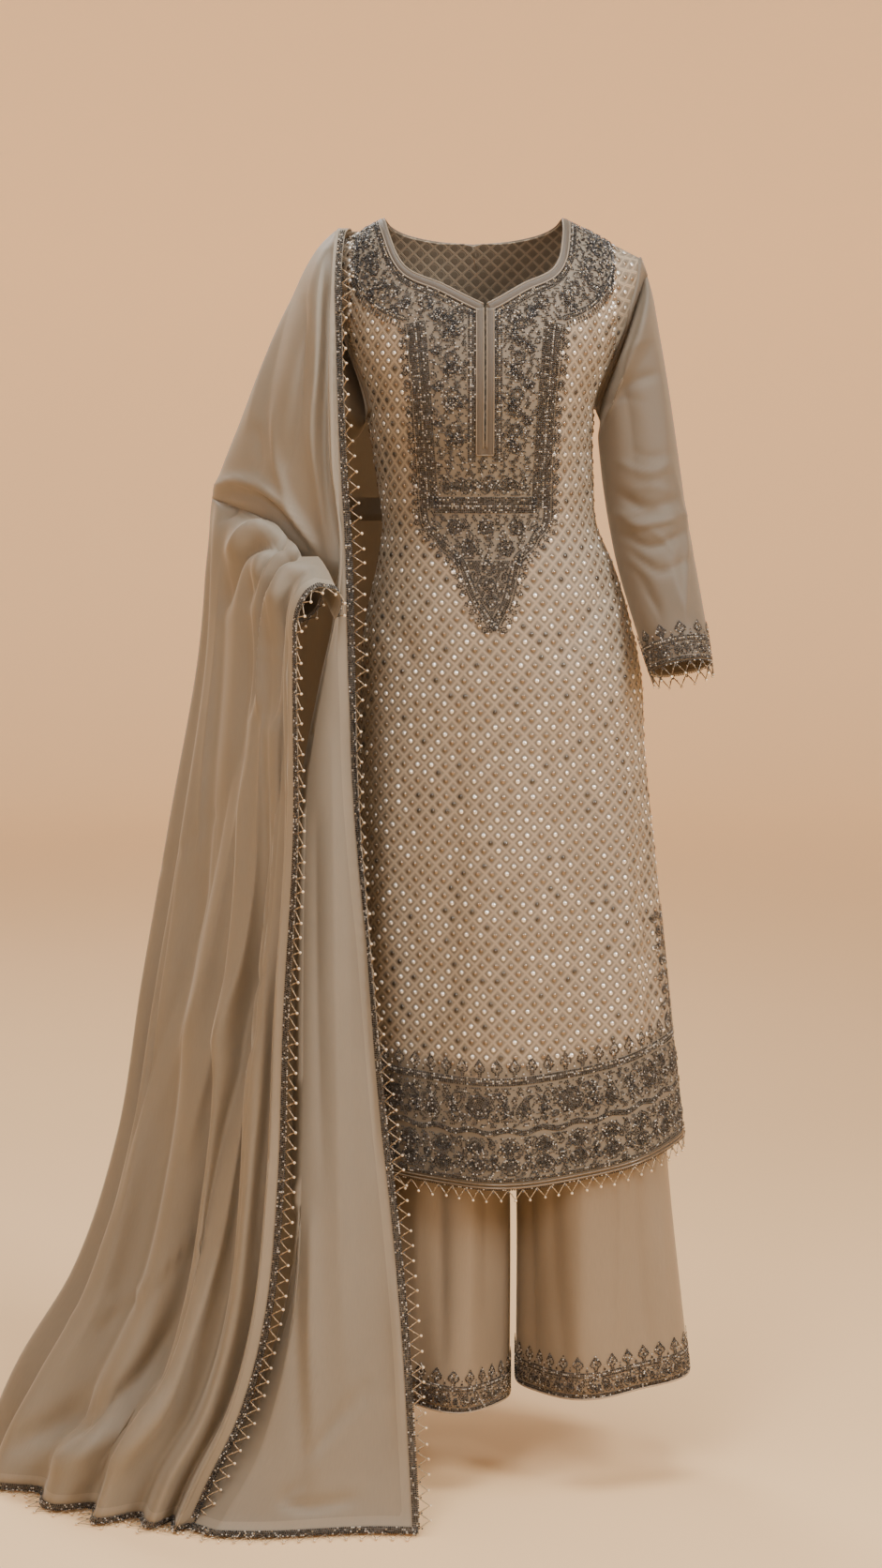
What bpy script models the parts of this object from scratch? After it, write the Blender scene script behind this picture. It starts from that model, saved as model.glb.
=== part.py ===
"""Salwar kameez suit: kameez, palazzo trousers and dupatta, hollow and set in their worn shape.

Units are metres. Tables give heights above the floor, and place() turns them into the part's own
frame, whose origin is where the wearer's shoulders hold the suit. +X is the wearer's left and -Y
the front.
"""

import math
from collections import namedtuple

import bmesh
import bpy
import numpy as np
from mathutils import Vector

# Driving dimensions
SHOULDER_MOUNT = 1.48
CLOTH = 0.0014
SATIN = 0.0016
SHEER = 0.0012
SEAM = 0.0005
PANEL_GAP = 0.0004
SHOULDER_GAP = 0.0009
ARMHOLE_GAP = 0.0022
APPLIQUE = 0.0011
LIFT = 0.0010

NECK_POINT_HEIGHT = 1.507
NECK_X = -0.0175
NECK_HALF_WIDTH = 0.1045
NECK_NOTCH = 1.405
SHOULDER_SLOPE = 0.5
SHOULDER_ROLL = 0.14
ARMPIT = 1.285
SHOULDER_X = -0.0065
SLIT_X = -0.005
SLIT_BOTTOM = 1.241
SLIT_WIDTH = 0.004
BINDING_WIDTH = 0.009
SIDE_SLIT = 0.82
SIDE_SLIT_ANGLE = 9.0
HEM_CURVE = 0.72
KAMEEZ_FOLD = 0.006

WAISTBAND_TOP = 1.065
WAISTBAND_BOTTOM = 1.035
CROTCH = 0.79
RISE_BLEND = 0.11
TROUSER_FOLD = 0.009

LACE_STRIP = 0.007
LACE_DROP = 0.014
LACE_PITCH = 0.0175
LACE_THICK = 0.0016
LOWEST_LACE = 0.002
WELD = 0.0001

# The kameez by height: the centre of its oval, half its width, and its depth to front and back
Body = namedtuple("Body", "height centre half_width front back")
BODY = (
    Body(0.36, 0.041, 0.202, 0.120, 0.132),
    Body(0.56, 0.030, 0.191, 0.115, 0.131),
    Body(0.75, 0.021, 0.181, 0.110, 0.130),
    Body(0.88, 0.016, 0.172, 0.107, 0.127),
    Body(0.97, 0.016, 0.167, 0.105, 0.121),
    Body(1.03, 0.012, 0.159, 0.102, 0.106),
    Body(1.10, 0.009, 0.141, 0.098, 0.088),
    Body(1.15, 0.002, 0.127, 0.096, 0.080),
    Body(1.20, -0.003, 0.128, 0.103, 0.082),
    Body(1.26, -0.008, 0.132, 0.119, 0.089),
    Body(1.30, -0.009, 0.138, 0.126, 0.094),
    Body(1.34, -0.008, 0.155, 0.125, 0.096),
    Body(1.40, -0.007, 0.178, 0.115, 0.092),
    Body(1.47, -0.006, 0.191, 0.110, 0.085),
    Body(1.51, -0.006, 0.194, 0.110, 0.085),
)

# The armhole seam: how far it lies from the shoulders' middle at each height
Armhole = namedtuple("Armhole", "height reach")
ARMHOLE = (
    Armhole(1.285, 0.1300),
    Armhole(1.313, 0.1385),
    Armhole(1.345, 0.1525),
    Armhole(1.375, 0.1650),
    Armhole(1.404, 0.1715),
    Armhole(1.430, 0.1790),
    Armhole(1.462, 0.1835),
)

# The front neckline, from the notch over the slit up to the neck point
Neckline = namedtuple("Neckline", "height half_width")
NECKLINE = (
    Neckline(1.405, 0.0020),
    Neckline(1.414, 0.0200),
    Neckline(1.429, 0.0480),
    Neckline(1.442, 0.0785),
    Neckline(1.458, 0.0925),
    Neckline(1.484, 0.1003),
    Neckline(1.507, 0.1045),
)
BACK_NECKLINE = (
    Neckline(1.478, 0.0000),
    Neckline(1.481, 0.0400),
    Neckline(1.488, 0.0760),
    Neckline(1.497, 0.0960),
    Neckline(1.507, 0.1045),
)

# The yoke's embroidery between its stepped tip and the neck: how far it reaches each side of the slit
Yoke = namedtuple("Yoke", "height reach")
YOKE = (
    Yoke(1.165, 0.075),
    Yoke(1.200, 0.077),
    Yoke(1.230, 0.079),
    Yoke(1.270, 0.081),
    Yoke(1.320, 0.084),
    Yoke(1.375, 0.086),
    Yoke(1.396, 0.088),
)

# A sleeve's rings below its armhole: its outer and inner edge, and half its size across them
Ring = namedtuple("Ring", "outer inner half_depth")
SLEEVE_LEFT = (
    Ring((0.192, 0.002, 1.425), (0.1320, 0.000, 1.270), 0.053),
    Ring((0.202, 0.001, 1.372), (0.1300, 0.000, 1.253), 0.052),
    Ring((0.212, -0.001, 1.312), (0.1320, -0.002, 1.229), 0.051),
    Ring((0.223, -0.004, 1.243), (0.1360, -0.006, 1.193), 0.050),
    Ring((0.234, -0.010, 1.168), (0.1440, -0.014, 1.143), 0.048),
    Ring((0.244, -0.022, 1.108), (0.1545, -0.025, 1.094), 0.046),
    Ring((0.256, -0.042, 1.036), (0.1745, -0.044, 1.026), 0.042),
    Ring((0.262, -0.056, 0.990), (0.1900, -0.058, 0.978), 0.039),
)
SLEEVE_RIGHT = (
    Ring((-0.206, 0.003, 1.425), (-0.1460, 0.001, 1.268), 0.052),
    Ring((-0.225, 0.008, 1.372), (-0.1510, 0.006, 1.256), 0.050),
    Ring((-0.247, 0.018, 1.315), (-0.1640, 0.014, 1.240), 0.048),
    Ring((-0.270, 0.032, 1.250), (-0.1860, 0.026, 1.200), 0.046),
    Ring((-0.293, 0.047, 1.190), (-0.2080, 0.032, 1.158), 0.045),
    Ring((-0.306, 0.043, 1.135), (-0.2220, 0.018, 1.125), 0.044),
    Ring((-0.299, 0.000, 1.100), (-0.2180, -0.010, 1.102), 0.042),
    Ring((-0.284, -0.048, 1.084), (-0.2070, -0.042, 1.086), 0.040),
    Ring((-0.270, -0.090, 1.070), (-0.1960, -0.076, 1.072), 0.038),
)

# The trousers by height: the seat as one oval, and each leg as its own
Seat = namedtuple("Seat", "height centre half_width front back")
SEAT = (
    Seat(0.78, 0.017, 0.158, 0.092, 0.112),
    Seat(0.88, 0.016, 0.156, 0.091, 0.112),
    Seat(0.96, 0.015, 0.150, 0.089, 0.104),
    Seat(1.035, 0.012, 0.137, 0.084, 0.084),
    Seat(1.07, 0.011, 0.131, 0.082, 0.079),
)
Leg = namedtuple("Leg", "height inner outer front back")
LEG_LEFT = (
    Leg(0.11, 0.0360, 0.252, 0.108, 0.112),
    Leg(0.36, 0.0350, 0.224, 0.088, 0.098),
    Leg(0.56, 0.0250, 0.204, 0.086, 0.098),
    Leg(0.76, 0.0175, 0.172, 0.084, 0.100),
    Leg(1.07, 0.0175, 0.150, 0.084, 0.095),
)
LEG_RIGHT = (
    Leg(0.10, 0.0280, -0.150, 0.106, 0.110),
    Leg(0.36, 0.0280, -0.130, 0.080, 0.088),
    Leg(0.56, 0.0200, -0.130, 0.080, 0.090),
    Leg(0.76, 0.0165, -0.130, 0.080, 0.096),
    Leg(1.07, 0.0165, -0.120, 0.082, 0.092),
)
TROUSER_HEM_LEFT = 0.113
TROUSER_HEM_RIGHT = 0.096
TROUSER_HEM_RISE = 0.024

# The dupatta's fall in front, from the floor up and over the shoulder: its free edge, its fold,
# how far it stands forward, and how wide the layer is that its fold turns back behind it
Fall = namedtuple("Fall", "along height edge fold forward turned")
FRONT_FALL = (
    Fall(0, 0.004, -0.081, -0.318, 0.262, 0.110),
    Fall(1, 0.030, -0.082, -0.300, 0.252, 0.110),
    Fall(2, 0.100, -0.086, -0.262, 0.236, 0.105),
    Fall(3, 0.215, -0.093, -0.232, 0.216, 0.100),
    Fall(4, 0.340, -0.104, -0.221, 0.196, 0.094),
    Fall(5, 0.480, -0.120, -0.217, 0.176, 0.086),
    Fall(6, 0.620, -0.134, -0.216, 0.160, 0.076),
    Fall(7, 0.770, -0.147, -0.214, 0.144, 0.062),
    Fall(8, 0.870, -0.153, -0.209, 0.134, 0.050),
    Fall(9, 0.965, -0.155, -0.193, 0.126, 0.034),
    Fall(10, 1.050, -0.157, -0.177, 0.120, 0.016),
    Fall(11, 1.130, -0.159, -0.172, 0.115, 0.004),
    Fall(12, 1.215, -0.164, -0.180, 0.110, 0.003),
    Fall(13, 1.300, -0.168, -0.184, 0.103, 0.003),
    Fall(14, 1.370, -0.170, -0.184, 0.090, 0.003),
    Fall(15, 1.430, -0.171, -0.182, 0.076, 0.003),
    Fall(16, 1.472, -0.169, -0.180, 0.054, 0.002),
    Fall(17, 1.497, -0.165, -0.177, 0.030, 0.001),
    Fall(18, 1.505, -0.162, -0.175, 0.004, 0.000),
    Fall(19, 1.499, -0.160, -0.174, -0.016, 0.000),
)

# The wrap over shoulder and upper arm: points round it at each height. It starts behind the fall's fold
Wrap = namedtuple("Wrap", "height bulge outer rear back")
WRAP = (
    Wrap(1.100, (-0.246, -0.052), (-0.336, 0.056), (-0.289, 0.134), (-0.118, 0.138)),
    Wrap(1.178, (-0.252, -0.058), (-0.328, 0.053), (-0.277, 0.129), (-0.118, 0.134)),
    Wrap(1.214, (-0.250, -0.062), (-0.314, 0.045), (-0.265, 0.124), (-0.118, 0.131)),
    Wrap(1.270, (-0.244, -0.069), (-0.290, 0.033), (-0.248, 0.113), (-0.120, 0.126)),
    Wrap(1.336, (-0.232, -0.072), (-0.264, 0.019), (-0.230, 0.100), (-0.124, 0.118)),
    Wrap(1.403, (-0.216, -0.062), (-0.241, 0.009), (-0.212, 0.078), (-0.130, 0.104)),
    Wrap(1.450, (-0.201, -0.042), (-0.219, 0.004), (-0.200, 0.050), (-0.138, 0.078)),
    Wrap(1.478, (-0.187, -0.022), (-0.197, 0.002), (-0.184, 0.026), (-0.144, 0.042)),
    Wrap(1.493, (-0.177, -0.006), (-0.180, 0.000), (-0.176, 0.006), (-0.153, 0.010)),
)

# The fall over the forearm: seven points round it at each height, from its free edge to the back
Skirt = namedtuple("Skirt", "height edge first second outer third fourth back")
SKIRT = (
    Skirt(0.000, (-0.345, -0.238), (-0.425, -0.214), (-0.545, -0.128), (-0.608, 0.040),
          (-0.490, 0.192), (-0.290, 0.214), (-0.132, 0.196)),
    Skirt(0.060, (-0.318, -0.236), (-0.402, -0.210), (-0.524, -0.124), (-0.592, 0.040),
          (-0.478, 0.188), (-0.284, 0.210), (-0.130, 0.192)),
    Skirt(0.130, (-0.284, -0.232), (-0.360, -0.200), (-0.484, -0.112), (-0.562, 0.040),
          (-0.456, 0.180), (-0.272, 0.204), (-0.126, 0.186)),
    Skirt(0.240, (-0.253, -0.228), (-0.324, -0.186), (-0.430, -0.092), (-0.497, 0.042),
          (-0.420, 0.168), (-0.254, 0.194), (-0.122, 0.178)),
    Skirt(0.400, (-0.236, -0.226), (-0.300, -0.176), (-0.390, -0.074), (-0.445, 0.045),
          (-0.390, 0.156), (-0.240, 0.182), (-0.119, 0.170)),
    Skirt(0.600, (-0.229, -0.224), (-0.284, -0.166), (-0.362, -0.064), (-0.414, 0.048),
          (-0.364, 0.148), (-0.230, 0.172), (-0.118, 0.162)),
    Skirt(0.800, (-0.218, -0.222), (-0.268, -0.156), (-0.334, -0.052), (-0.380, 0.050),
          (-0.336, 0.142), (-0.220, 0.164), (-0.117, 0.156)),
    Skirt(1.000, (-0.219, -0.216), (-0.261, -0.142), (-0.314, -0.036), (-0.345, 0.052),
          (-0.308, 0.136), (-0.208, 0.156), (-0.117, 0.148)),
    Skirt(1.178, (-0.216, -0.212), (-0.258, -0.130), (-0.312, -0.024), (-0.330, 0.053),
          (-0.279, 0.129), (-0.200, 0.148), (-0.117, 0.140)),
)
# The ridge that the forearm makes, from the wrist back to the elbow and then round the arm
Ridge = namedtuple("Ridge", "along x y height")
RIDGE = (
    Ridge(0.00, -0.188, -0.204, 1.088),
    Ridge(0.14, -0.214, -0.134, 1.128),
    Ridge(0.28, -0.262, -0.046, 1.160),
    Ridge(0.42, -0.322, 0.036, 1.178),
    Ridge(0.55, -0.330, 0.080, 1.178),
    Ridge(0.70, -0.279, 0.129, 1.178),
    Ridge(1.00, -0.117, 0.140, 1.178),
)

# The kameez's rows of points, by height up to the armpit and by share of the armhole above it
HEM_LOW_X = 0.0
HEM_FRONT = 0.375
HEM_LIFT_REACH = 0.35
LOWER_ROWS = (0.375, 0.455, 0.540, 0.605, 0.670, 0.745, 0.820, 0.900, 0.970, 1.033, 1.080, 1.120,
              1.165, 1.200, 1.231, 1.241, 1.285)
PLACKET_ROW = LOWER_ROWS.index(1.231)
SLIT_ROW = LOWER_ROWS.index(1.241)
SLIT_HEIGHTS = (1.325, 1.365)
FRONT_SHARES = (0.17, 0.34, 0.50, 0.57, 0.64, 0.71, 0.79, 0.89, 1.0)
NOTCH_ROW = len(LOWER_ROWS) + len(SLIT_HEIGHTS)
TOP_ROW = len(LOWER_ROWS) + len(FRONT_SHARES) - 1
BACK_HEIGHTS = (1.345, 1.405, 1.450)
BACK_SHARES = (0.26, 0.52, 0.70, 0.78, 0.86, 0.93, 0.97, 1.0)
# Columns out from the middle: the placket's or binding's edge, two more, and the yoke's edge
YOKE_COLUMNS = (0.0125, 0.034, 0.057)
NECK_SHARES = (0.28, 0.45, 0.62)
SIDE_COLUMNS = (0.30, 0.56, 0.80, 1.0)
BACK_COLUMNS = (0.09, 0.24, 0.42, 0.60, 0.80, 1.0)
# The yoke steps out to its full width: how many columns it takes from each height up
YOKE_STEPS = {1.033: 1, 1.080: 2, 1.120: 3, 1.165: 4}
BORDER_ROWS = 2
EDGE_BORDER_ROWS = 4
BODY_FOLDS = 7
FOLD_START = 0.8

# Rows, columns and folds of the sleeves and trousers
SLEEVE_SIDES = 14
LEG_SIDES = 20
LEG_ROWS = (0.0, 0.050, 0.14, 0.25, 0.38, 0.50, 0.60)
HIP_ROWS = (0.79, 0.83, 0.87, 0.92, 0.98, 1.034)
LEG_FOLDS = 5
LEG_FOLD_REACH = 0.45
LEG_HEM_REACH = 0.4

# Rows, columns and folds of the dupatta
FALL_ROWS = 26
FALL_FRONT_COLUMNS = 6
FALL_TURNED_COLUMNS = 3
WRAP_ROWS = 12
WRAP_COLUMNS = 20
SKIRT_DROPS = (0.0, 0.012, 0.035, 0.075, 0.14, 0.23, 0.34, 0.46, 0.58, 0.69, 0.79, 0.87, 0.93, 0.97,
               1.0)
INNER_DROPS = (0.075, 0.040, 0.015)
INNER_REACH = 0.035
INNER_DRIFT = (-0.5, 0.45)
FALL_CREST = 18
FALL_PLEAT = 0.007
FALL_PLEAT_TURN = 5.5
FALL_PLEAT_START = 0.4
FALL_FULL_WIDTH = 0.14
FALL_POCKET = 0.018
FALL_POCKET_FULL = 0.05
FALL_LAYER_GAP = 0.004
FALL_LAYER_OVERHANG = 0.2
WRAP_TOP = 1.493
WRAP_FRONT_BOTTOM = 1.105
WRAP_FRONT_SHARE = 0.42
WRAP_FOLD = 0.005
WRAP_FOLD_ROUND = 9.0
WRAP_FOLD_DOWN = 14.0
WRAP_CALM = 0.06
WRAP_BEHIND = 0.012
RIDGE_ROLL = 0.050
ELBOW = 0.42
ELBOW_TURN = 0.06
ELBOW_TURN_OVER = 0.10
JOIN_HEIGHT = 1.08
JOIN_START = 0.04
INNER_LEG = 0.12
SKIRT_HEM = 0.004
BACK_FALL_FROM = 0.64
SKIRT_FOLD_TOP = 0.004
SKIRT_FOLD_HEM = 0.024
SKIRT_FOLD_HEIGHT = 1.1
SKIRT_EDGE = 0.05
SKIRT_UNEVEN = 0.25
SKIRT_UNEVEN_TURN = 3.1
# Where each fold of the skirt crests along it
SKIRT_CRESTS = (0.03, 0.10, 0.20, 0.28, 0.39, 0.48, 0.56, 0.66, 0.75, 0.86, 0.95, 1.06)


def hermite(keys, values):
    """A smooth curve through the values at the keys, which rise. Values may be points."""
    keys = np.array(keys, float)
    values = np.array(values, float)
    steps = np.diff(keys)
    slopes = np.diff(values, axis=0) / (steps[:, None] if values.ndim > 1 else steps)
    tangents = np.concatenate([slopes[:1], (slopes[:-1] + slopes[1:]) / 2, slopes[-1:]])

    def at(key):
        key = min(max(key, keys[0]), keys[-1])
        i = min(int(np.searchsorted(keys, key, "right")) - 1, len(steps) - 1)
        t = (key - keys[i]) / steps[i]
        low = (1 + 2 * t) * (1 - t) ** 2 * values[i] + t * (1 - t) ** 2 * steps[i] * tangents[i]
        high = t * t * (3 - 2 * t) * values[i + 1] - t * t * (1 - t) * steps[i] * tangents[i + 1]
        return low + high

    return at


def column(table, name, key="height"):
    """One named column of a table, as a smooth curve over its key."""
    return hermite([getattr(row, key) for row in table], [getattr(row, name) for row in table])


def smooth(value):
    value = min(max(value, 0.0), 1.0)
    return value * value * (3 - 2 * value)


def blend(first, second, share):
    return first + (second - first) * share


def place(x, y, height):
    """A point of the part's frame from its height above the floor."""
    return np.array((x, y, height - SHOULDER_MOUNT))


def material(name, colour, roughness):
    made = bpy.data.materials.new(name)
    made.use_nodes = True
    shader = made.node_tree.nodes["Principled BSDF"]
    shader.inputs["Base Color"].default_value = (*colour, 1)
    shader.inputs["Roughness"].default_value = roughness
    shader.inputs["Metallic"].default_value = 0
    made.diffuse_color = (*colour, 1)
    return made


def finish_sheet(name, shape, look, wall, offset):
    """Turns a sheet into a named piece with its wall, on its inner side where offset is -1."""
    mesh = bpy.data.meshes.new(name)
    shape.to_mesh(mesh)
    shape.free()
    mesh.shade_smooth()
    mesh.materials.append(look)
    piece = bpy.data.objects.new(name, mesh)
    bpy.context.scene.collection.objects.link(piece)
    solid = piece.modifiers.new("Wall", "SOLIDIFY")
    solid.thickness = wall
    solid.offset = offset
    return piece


def draw_in(shape, distance):
    """Moves a sheet's edge in along the sheet, so that it stays clear of what it would touch."""
    moves = {}
    for corner in shape.verts:
        if not corner.is_boundary:
            continue
        middle_of_faces = sum((face.calc_center_median() for face in corner.link_faces), Vector())
        toward = middle_of_faces / len(corner.link_faces) - corner.co
        moves[corner] = toward.normalized() * distance
    for corner, move in moves.items():
        corner.co += move


def cloth(name, points, look, wall, away_from, skip=(), inset=0.0):
    """A closed wall whose outer side is a grid of points. away_from is a point inside the hollow."""
    shape = bmesh.new()
    rows = [[shape.verts.new(point) for point in row] for row in points]
    for i in range(len(rows) - 1):
        for j in range(len(rows[i]) - 1):
            if (i, j) not in skip:
                shape.faces.new((rows[i][j], rows[i][j + 1], rows[i + 1][j + 1], rows[i + 1][j]))
    loose = [corner for corner in shape.verts if not corner.link_faces]
    bmesh.ops.delete(shape, geom=loose, context="VERTS")
    bmesh.ops.remove_doubles(shape, verts=shape.verts, dist=WELD)
    shape.normal_update()
    inside = Vector(away_from)
    facing = sum(face.calc_area() * face.normal.dot(face.calc_center_median() - inside)
                 for face in shape.faces)
    if facing < 0:
        bmesh.ops.reverse_faces(shape, faces=shape.faces)
    if inset:
        draw_in(shape, inset)
    return finish_sheet(name, shape, look, wall, -1)


def normals(points):
    """The unit normal at each point of a grid. Points that lie on each other share one."""
    grid = np.array(points)
    found = np.cross(np.gradient(grid, axis=1), np.gradient(grid, axis=0))
    for i, row in enumerate(grid):
        _, group = np.unique(np.round(row, 6), axis=0, return_inverse=True)
        group = group.reshape(-1)
        for member in np.unique(group[np.bincount(group)[group] > 1]):
            found[i, group == member] = found[i, group == member].mean(axis=0)
    return found / np.maximum(np.linalg.norm(found, axis=2, keepdims=True), 1e-12)


def moved_out(points, distance, away_from):
    """A grid moved along its normals, away from a point inside the hollow."""
    grid = np.array(points)
    found = normals(grid)
    outward = np.sum(found * (grid - np.array(away_from)))
    return grid + found * distance * (1 if outward > 0 else -1)


def curves(table, key="height"):
    return {name: column(table, name, key) for name in table[0]._fields if name != key}


BODY_AT = curves(BODY)
SEAT_AT = curves(SEAT)
LEG_AT = {1: curves(LEG_LEFT), -1: curves(LEG_RIGHT)}
ARMHOLE_AT = column(ARMHOLE, "reach")
YOKE_AT = column(YOKE, "reach")
FALL_AT = curves(FRONT_FALL, "along")
WRAP_AT = curves(WRAP)
SKIRT_AT = curves(SKIRT)
RIDGE_AT = curves(RIDGE, "along")

INSIDE_KAMEEZ = place(0.0, 0.0, 1.10)


def shoulder_line(x):
    return NECK_POINT_HEIGHT - SHOULDER_SLOPE * max(abs(x - NECK_X) - NECK_HALF_WIDTH, 0)


def kameez_point(x, height, side, top_gap=0.0):
    """A point of the kameez's outer face. side is "front" or "back"."""
    across = (x - BODY_AT["centre"](height)) / BODY_AT["half_width"](height)
    across = min(max(across, -1), 1)
    oval = math.sqrt(1 - across**2)
    drop = min(max(shoulder_line(x) - height, 0) / SHOULDER_ROLL, 1)
    depth = BODY_AT[side](height) * oval * math.sqrt(1 - (1 - drop) ** 2)
    loose = 1 - smooth((height - HEM_FRONT) / (1.0 - HEM_FRONT))
    depth += KAMEEZ_FOLD * loose * oval * math.cos(BODY_FOLDS * math.asin(across) + FOLD_START)
    depth += PANEL_GAP + top_gap
    return place(x, -depth if side == "front" else depth, height)


def armhole(hand, share):
    """A point of the armhole seam, as x and height. hand is 1 on the wearer's left, -1 on the right."""
    tip = SHOULDER_X + hand * ARMHOLE[-1].reach
    reach = ARMHOLE_AT(blend(ARMPIT, ARMHOLE[-1].height, share))
    return SHOULDER_X + hand * reach, blend(ARMPIT, shoulder_line(tip), share)


def neck_edge(hand, line):
    """A point of a neckline. It leans from the slit over to the neck's own middle."""
    lean = (line.height - NECK_NOTCH) / (NECK_POINT_HEIGHT - NECK_NOTCH)
    return blend(SLIT_X, NECK_X, lean) + hand * line.half_width, line.height


def side_edge(hand, height):
    """The kameez's side: its seam, and below the side slit an edge that stands off it."""
    opened = max(SIDE_SLIT - height, 0) / (SIDE_SLIT - HEM_FRONT)
    turn = math.radians(90 - SIDE_SLIT_ANGLE * opened)
    return BODY_AT["centre"](height) + hand * BODY_AT["half_width"](height) * math.sin(turn)


def middle(height):
    """The front's middle: the body's own, and above the waist the slit's line."""
    share = smooth((height - 0.90) / (SLIT_BOTTOM - 0.90))
    return blend(BODY_AT["centre"](height), SLIT_X, share)


def lifted(x, height):
    """The height at x of a row: the rows near the hem follow its curve."""
    near_hem = 1 - smooth((height - HEM_FRONT) / HEM_LIFT_REACH)
    return height + HEM_CURVE * (x - HEM_LOW_X) ** 2 * near_hem


def spaced(start, end, reaches, parts):
    """Points from start to end: at these reaches from the start, then at these parts of the rest."""
    start = np.array(start)
    span = np.array(end) - start
    length = np.linalg.norm(span)
    rest = length - reaches[-1]
    reaches = [0, *reaches, *(reaches[-1] + rest * part for part in parts)]
    return [start + span * reach / length for reach in reaches]


def front_row(hand, row):
    """Half a row of the front as (x, height), from the middle out."""
    parts = SIDE_COLUMNS
    if row < len(LOWER_ROWS):
        height = LOWER_ROWS[row]
        start = (middle(height) + hand * SLIT_WIDTH / 2 * (row > SLIT_ROW), height)
        end = (side_edge(hand, height), height)
        parts = [math.sin(part * math.pi / 2) for part in parts]
    elif row < NOTCH_ROW:
        start = (SLIT_X + hand * SLIT_WIDTH / 2, SLIT_HEIGHTS[row - len(LOWER_ROWS)])
        end = armhole(hand, FRONT_SHARES[row - len(LOWER_ROWS)])
    else:
        start = neck_edge(hand, NECKLINE[row - NOTCH_ROW])
        end = armhole(hand, FRONT_SHARES[row - len(LOWER_ROWS)])
    if row > NOTCH_ROW:
        length = math.hypot(end[0] - start[0], end[1] - start[1])
        return spaced(start, end, [BINDING_WIDTH] + [length * share for share in NECK_SHARES], parts)
    return spaced(start, end, [*YOKE_COLUMNS, YOKE_AT(start[1])], parts)


def back_row(hand, row):
    """Half a row of the back as (x, height), from the middle out."""
    parts = BACK_COLUMNS
    step = row - len(LOWER_ROWS)
    if step < 0:
        height = LOWER_ROWS[row]
        start = (middle(height), height)
        end = (side_edge(hand, height), height)
        parts = [math.sin(part * math.pi / 2) for part in parts]
    elif step < len(BACK_HEIGHTS):
        start = (blend(SLIT_X, NECK_X, step / len(BACK_HEIGHTS)), BACK_HEIGHTS[step])
        end = armhole(hand, BACK_SHARES[step])
    else:
        line = BACK_NECKLINE[step - len(BACK_HEIGHTS)]
        start = (NECK_X + hand * line.half_width, line.height)
        end = armhole(hand, BACK_SHARES[step])
    return spaced(start, end, [BINDING_WIDTH], parts)


def panel_grid(side):
    """The front or back as rows of points, from the wearer's right to left. The two middle columns
    part above the front slit's bottom, and lie on each other elsewhere."""
    half_row = front_row if side == "front" else back_row
    shares = FRONT_SHARES if side == "front" else BACK_SHARES
    top = len(LOWER_ROWS) + len(shares) - 1
    grid = []
    for row in range(top + 1):
        top_gap = SHOULDER_GAP * smooth((row - top + 3) / 3)
        line = half_row(-1, row)[::-1] + half_row(1, row)
        grid.append([kameez_point(x, lifted(x, height), side, top_gap) for x, height in line])
    return np.array(grid)


def all_but(grid, kept):
    """The faces of a grid that a patch leaves out."""
    faces = {(i, j) for i in range(len(grid) - 1) for j in range(len(grid[0]) - 1)}
    return faces - set(kept)


def middle_strip(grid):
    centre = len(grid[0]) // 2 - 1
    return {(row, centre) for row in range(len(grid) - 1)}


def patch(name, grid, kept, look, inset=SEAM):
    """Applied work on a panel: some of its faces, moved out, as a closed piece of its own."""
    raised = moved_out(grid, LIFT + APPLIQUE, INSIDE_KAMEEZ)
    return cloth(name, raised, look, APPLIQUE, INSIDE_KAMEEZ, all_but(grid, kept), inset=inset)


def columns_out(grid, first, last):
    """The face columns from first to last out from the middle, on both halves."""
    centre = len(grid[0]) // 2 - 1
    right = range(centre + 1 + first, centre + 1 + last)
    return [*right, *(centre - 1 - offset for offset in range(first, last))]


def make_kameez(looks):
    front = panel_grid("front")
    back = panel_grid("back")
    cloth("kameez_front", front, looks["mirror_cloth"], CLOTH, INSIDE_KAMEEZ, middle_strip(front))
    cloth("kameez_back", back, looks["mirror_cloth"], CLOTH, INSIDE_KAMEEZ, middle_strip(back))
    placket = [(row, j) for row in range(PLACKET_ROW, NOTCH_ROW) for j in columns_out(front, 0, 1)]
    patch("placket_band", front, placket, looks["plain"])
    yoke = []
    for row in range(LOWER_ROWS.index(min(YOKE_STEPS)), TOP_ROW):
        width = len(YOKE_COLUMNS) + 1
        if row < len(LOWER_ROWS):
            steps = [count for height, count in YOKE_STEPS.items() if height <= LOWER_ROWS[row]]
            width = max(steps)
        if row >= NOTCH_ROW:
            width += 1
        inner = 0 if row < PLACKET_ROW else 1
        yoke += [(row, j) for j in columns_out(front, inner, width)]
    patch("yoke_embroidery", front, yoke, looks["beadwork"], inset=2 * SEAM)
    for side, grid in (("front", front), ("back", back)):
        last = len(grid[0]) - 2
        border = [(row, j) for row in range(BORDER_ROWS) for j in range(last + 1)]
        border += [(row, j) for row in range(BORDER_ROWS, EDGE_BORDER_ROWS) for j in (0, last)]
        border = set(border) - middle_strip(grid)
        patch("hem_border_" + side, grid, border, looks["beadwork"])
        down = np.tile((0.0, 0.0, -1.0), (len(grid[0]), 1))
        lace("hem_lace_" + side, grid[0], down, looks["lace"])
    make_neck_binding(front, back, looks["plain"])
    return front, back


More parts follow.
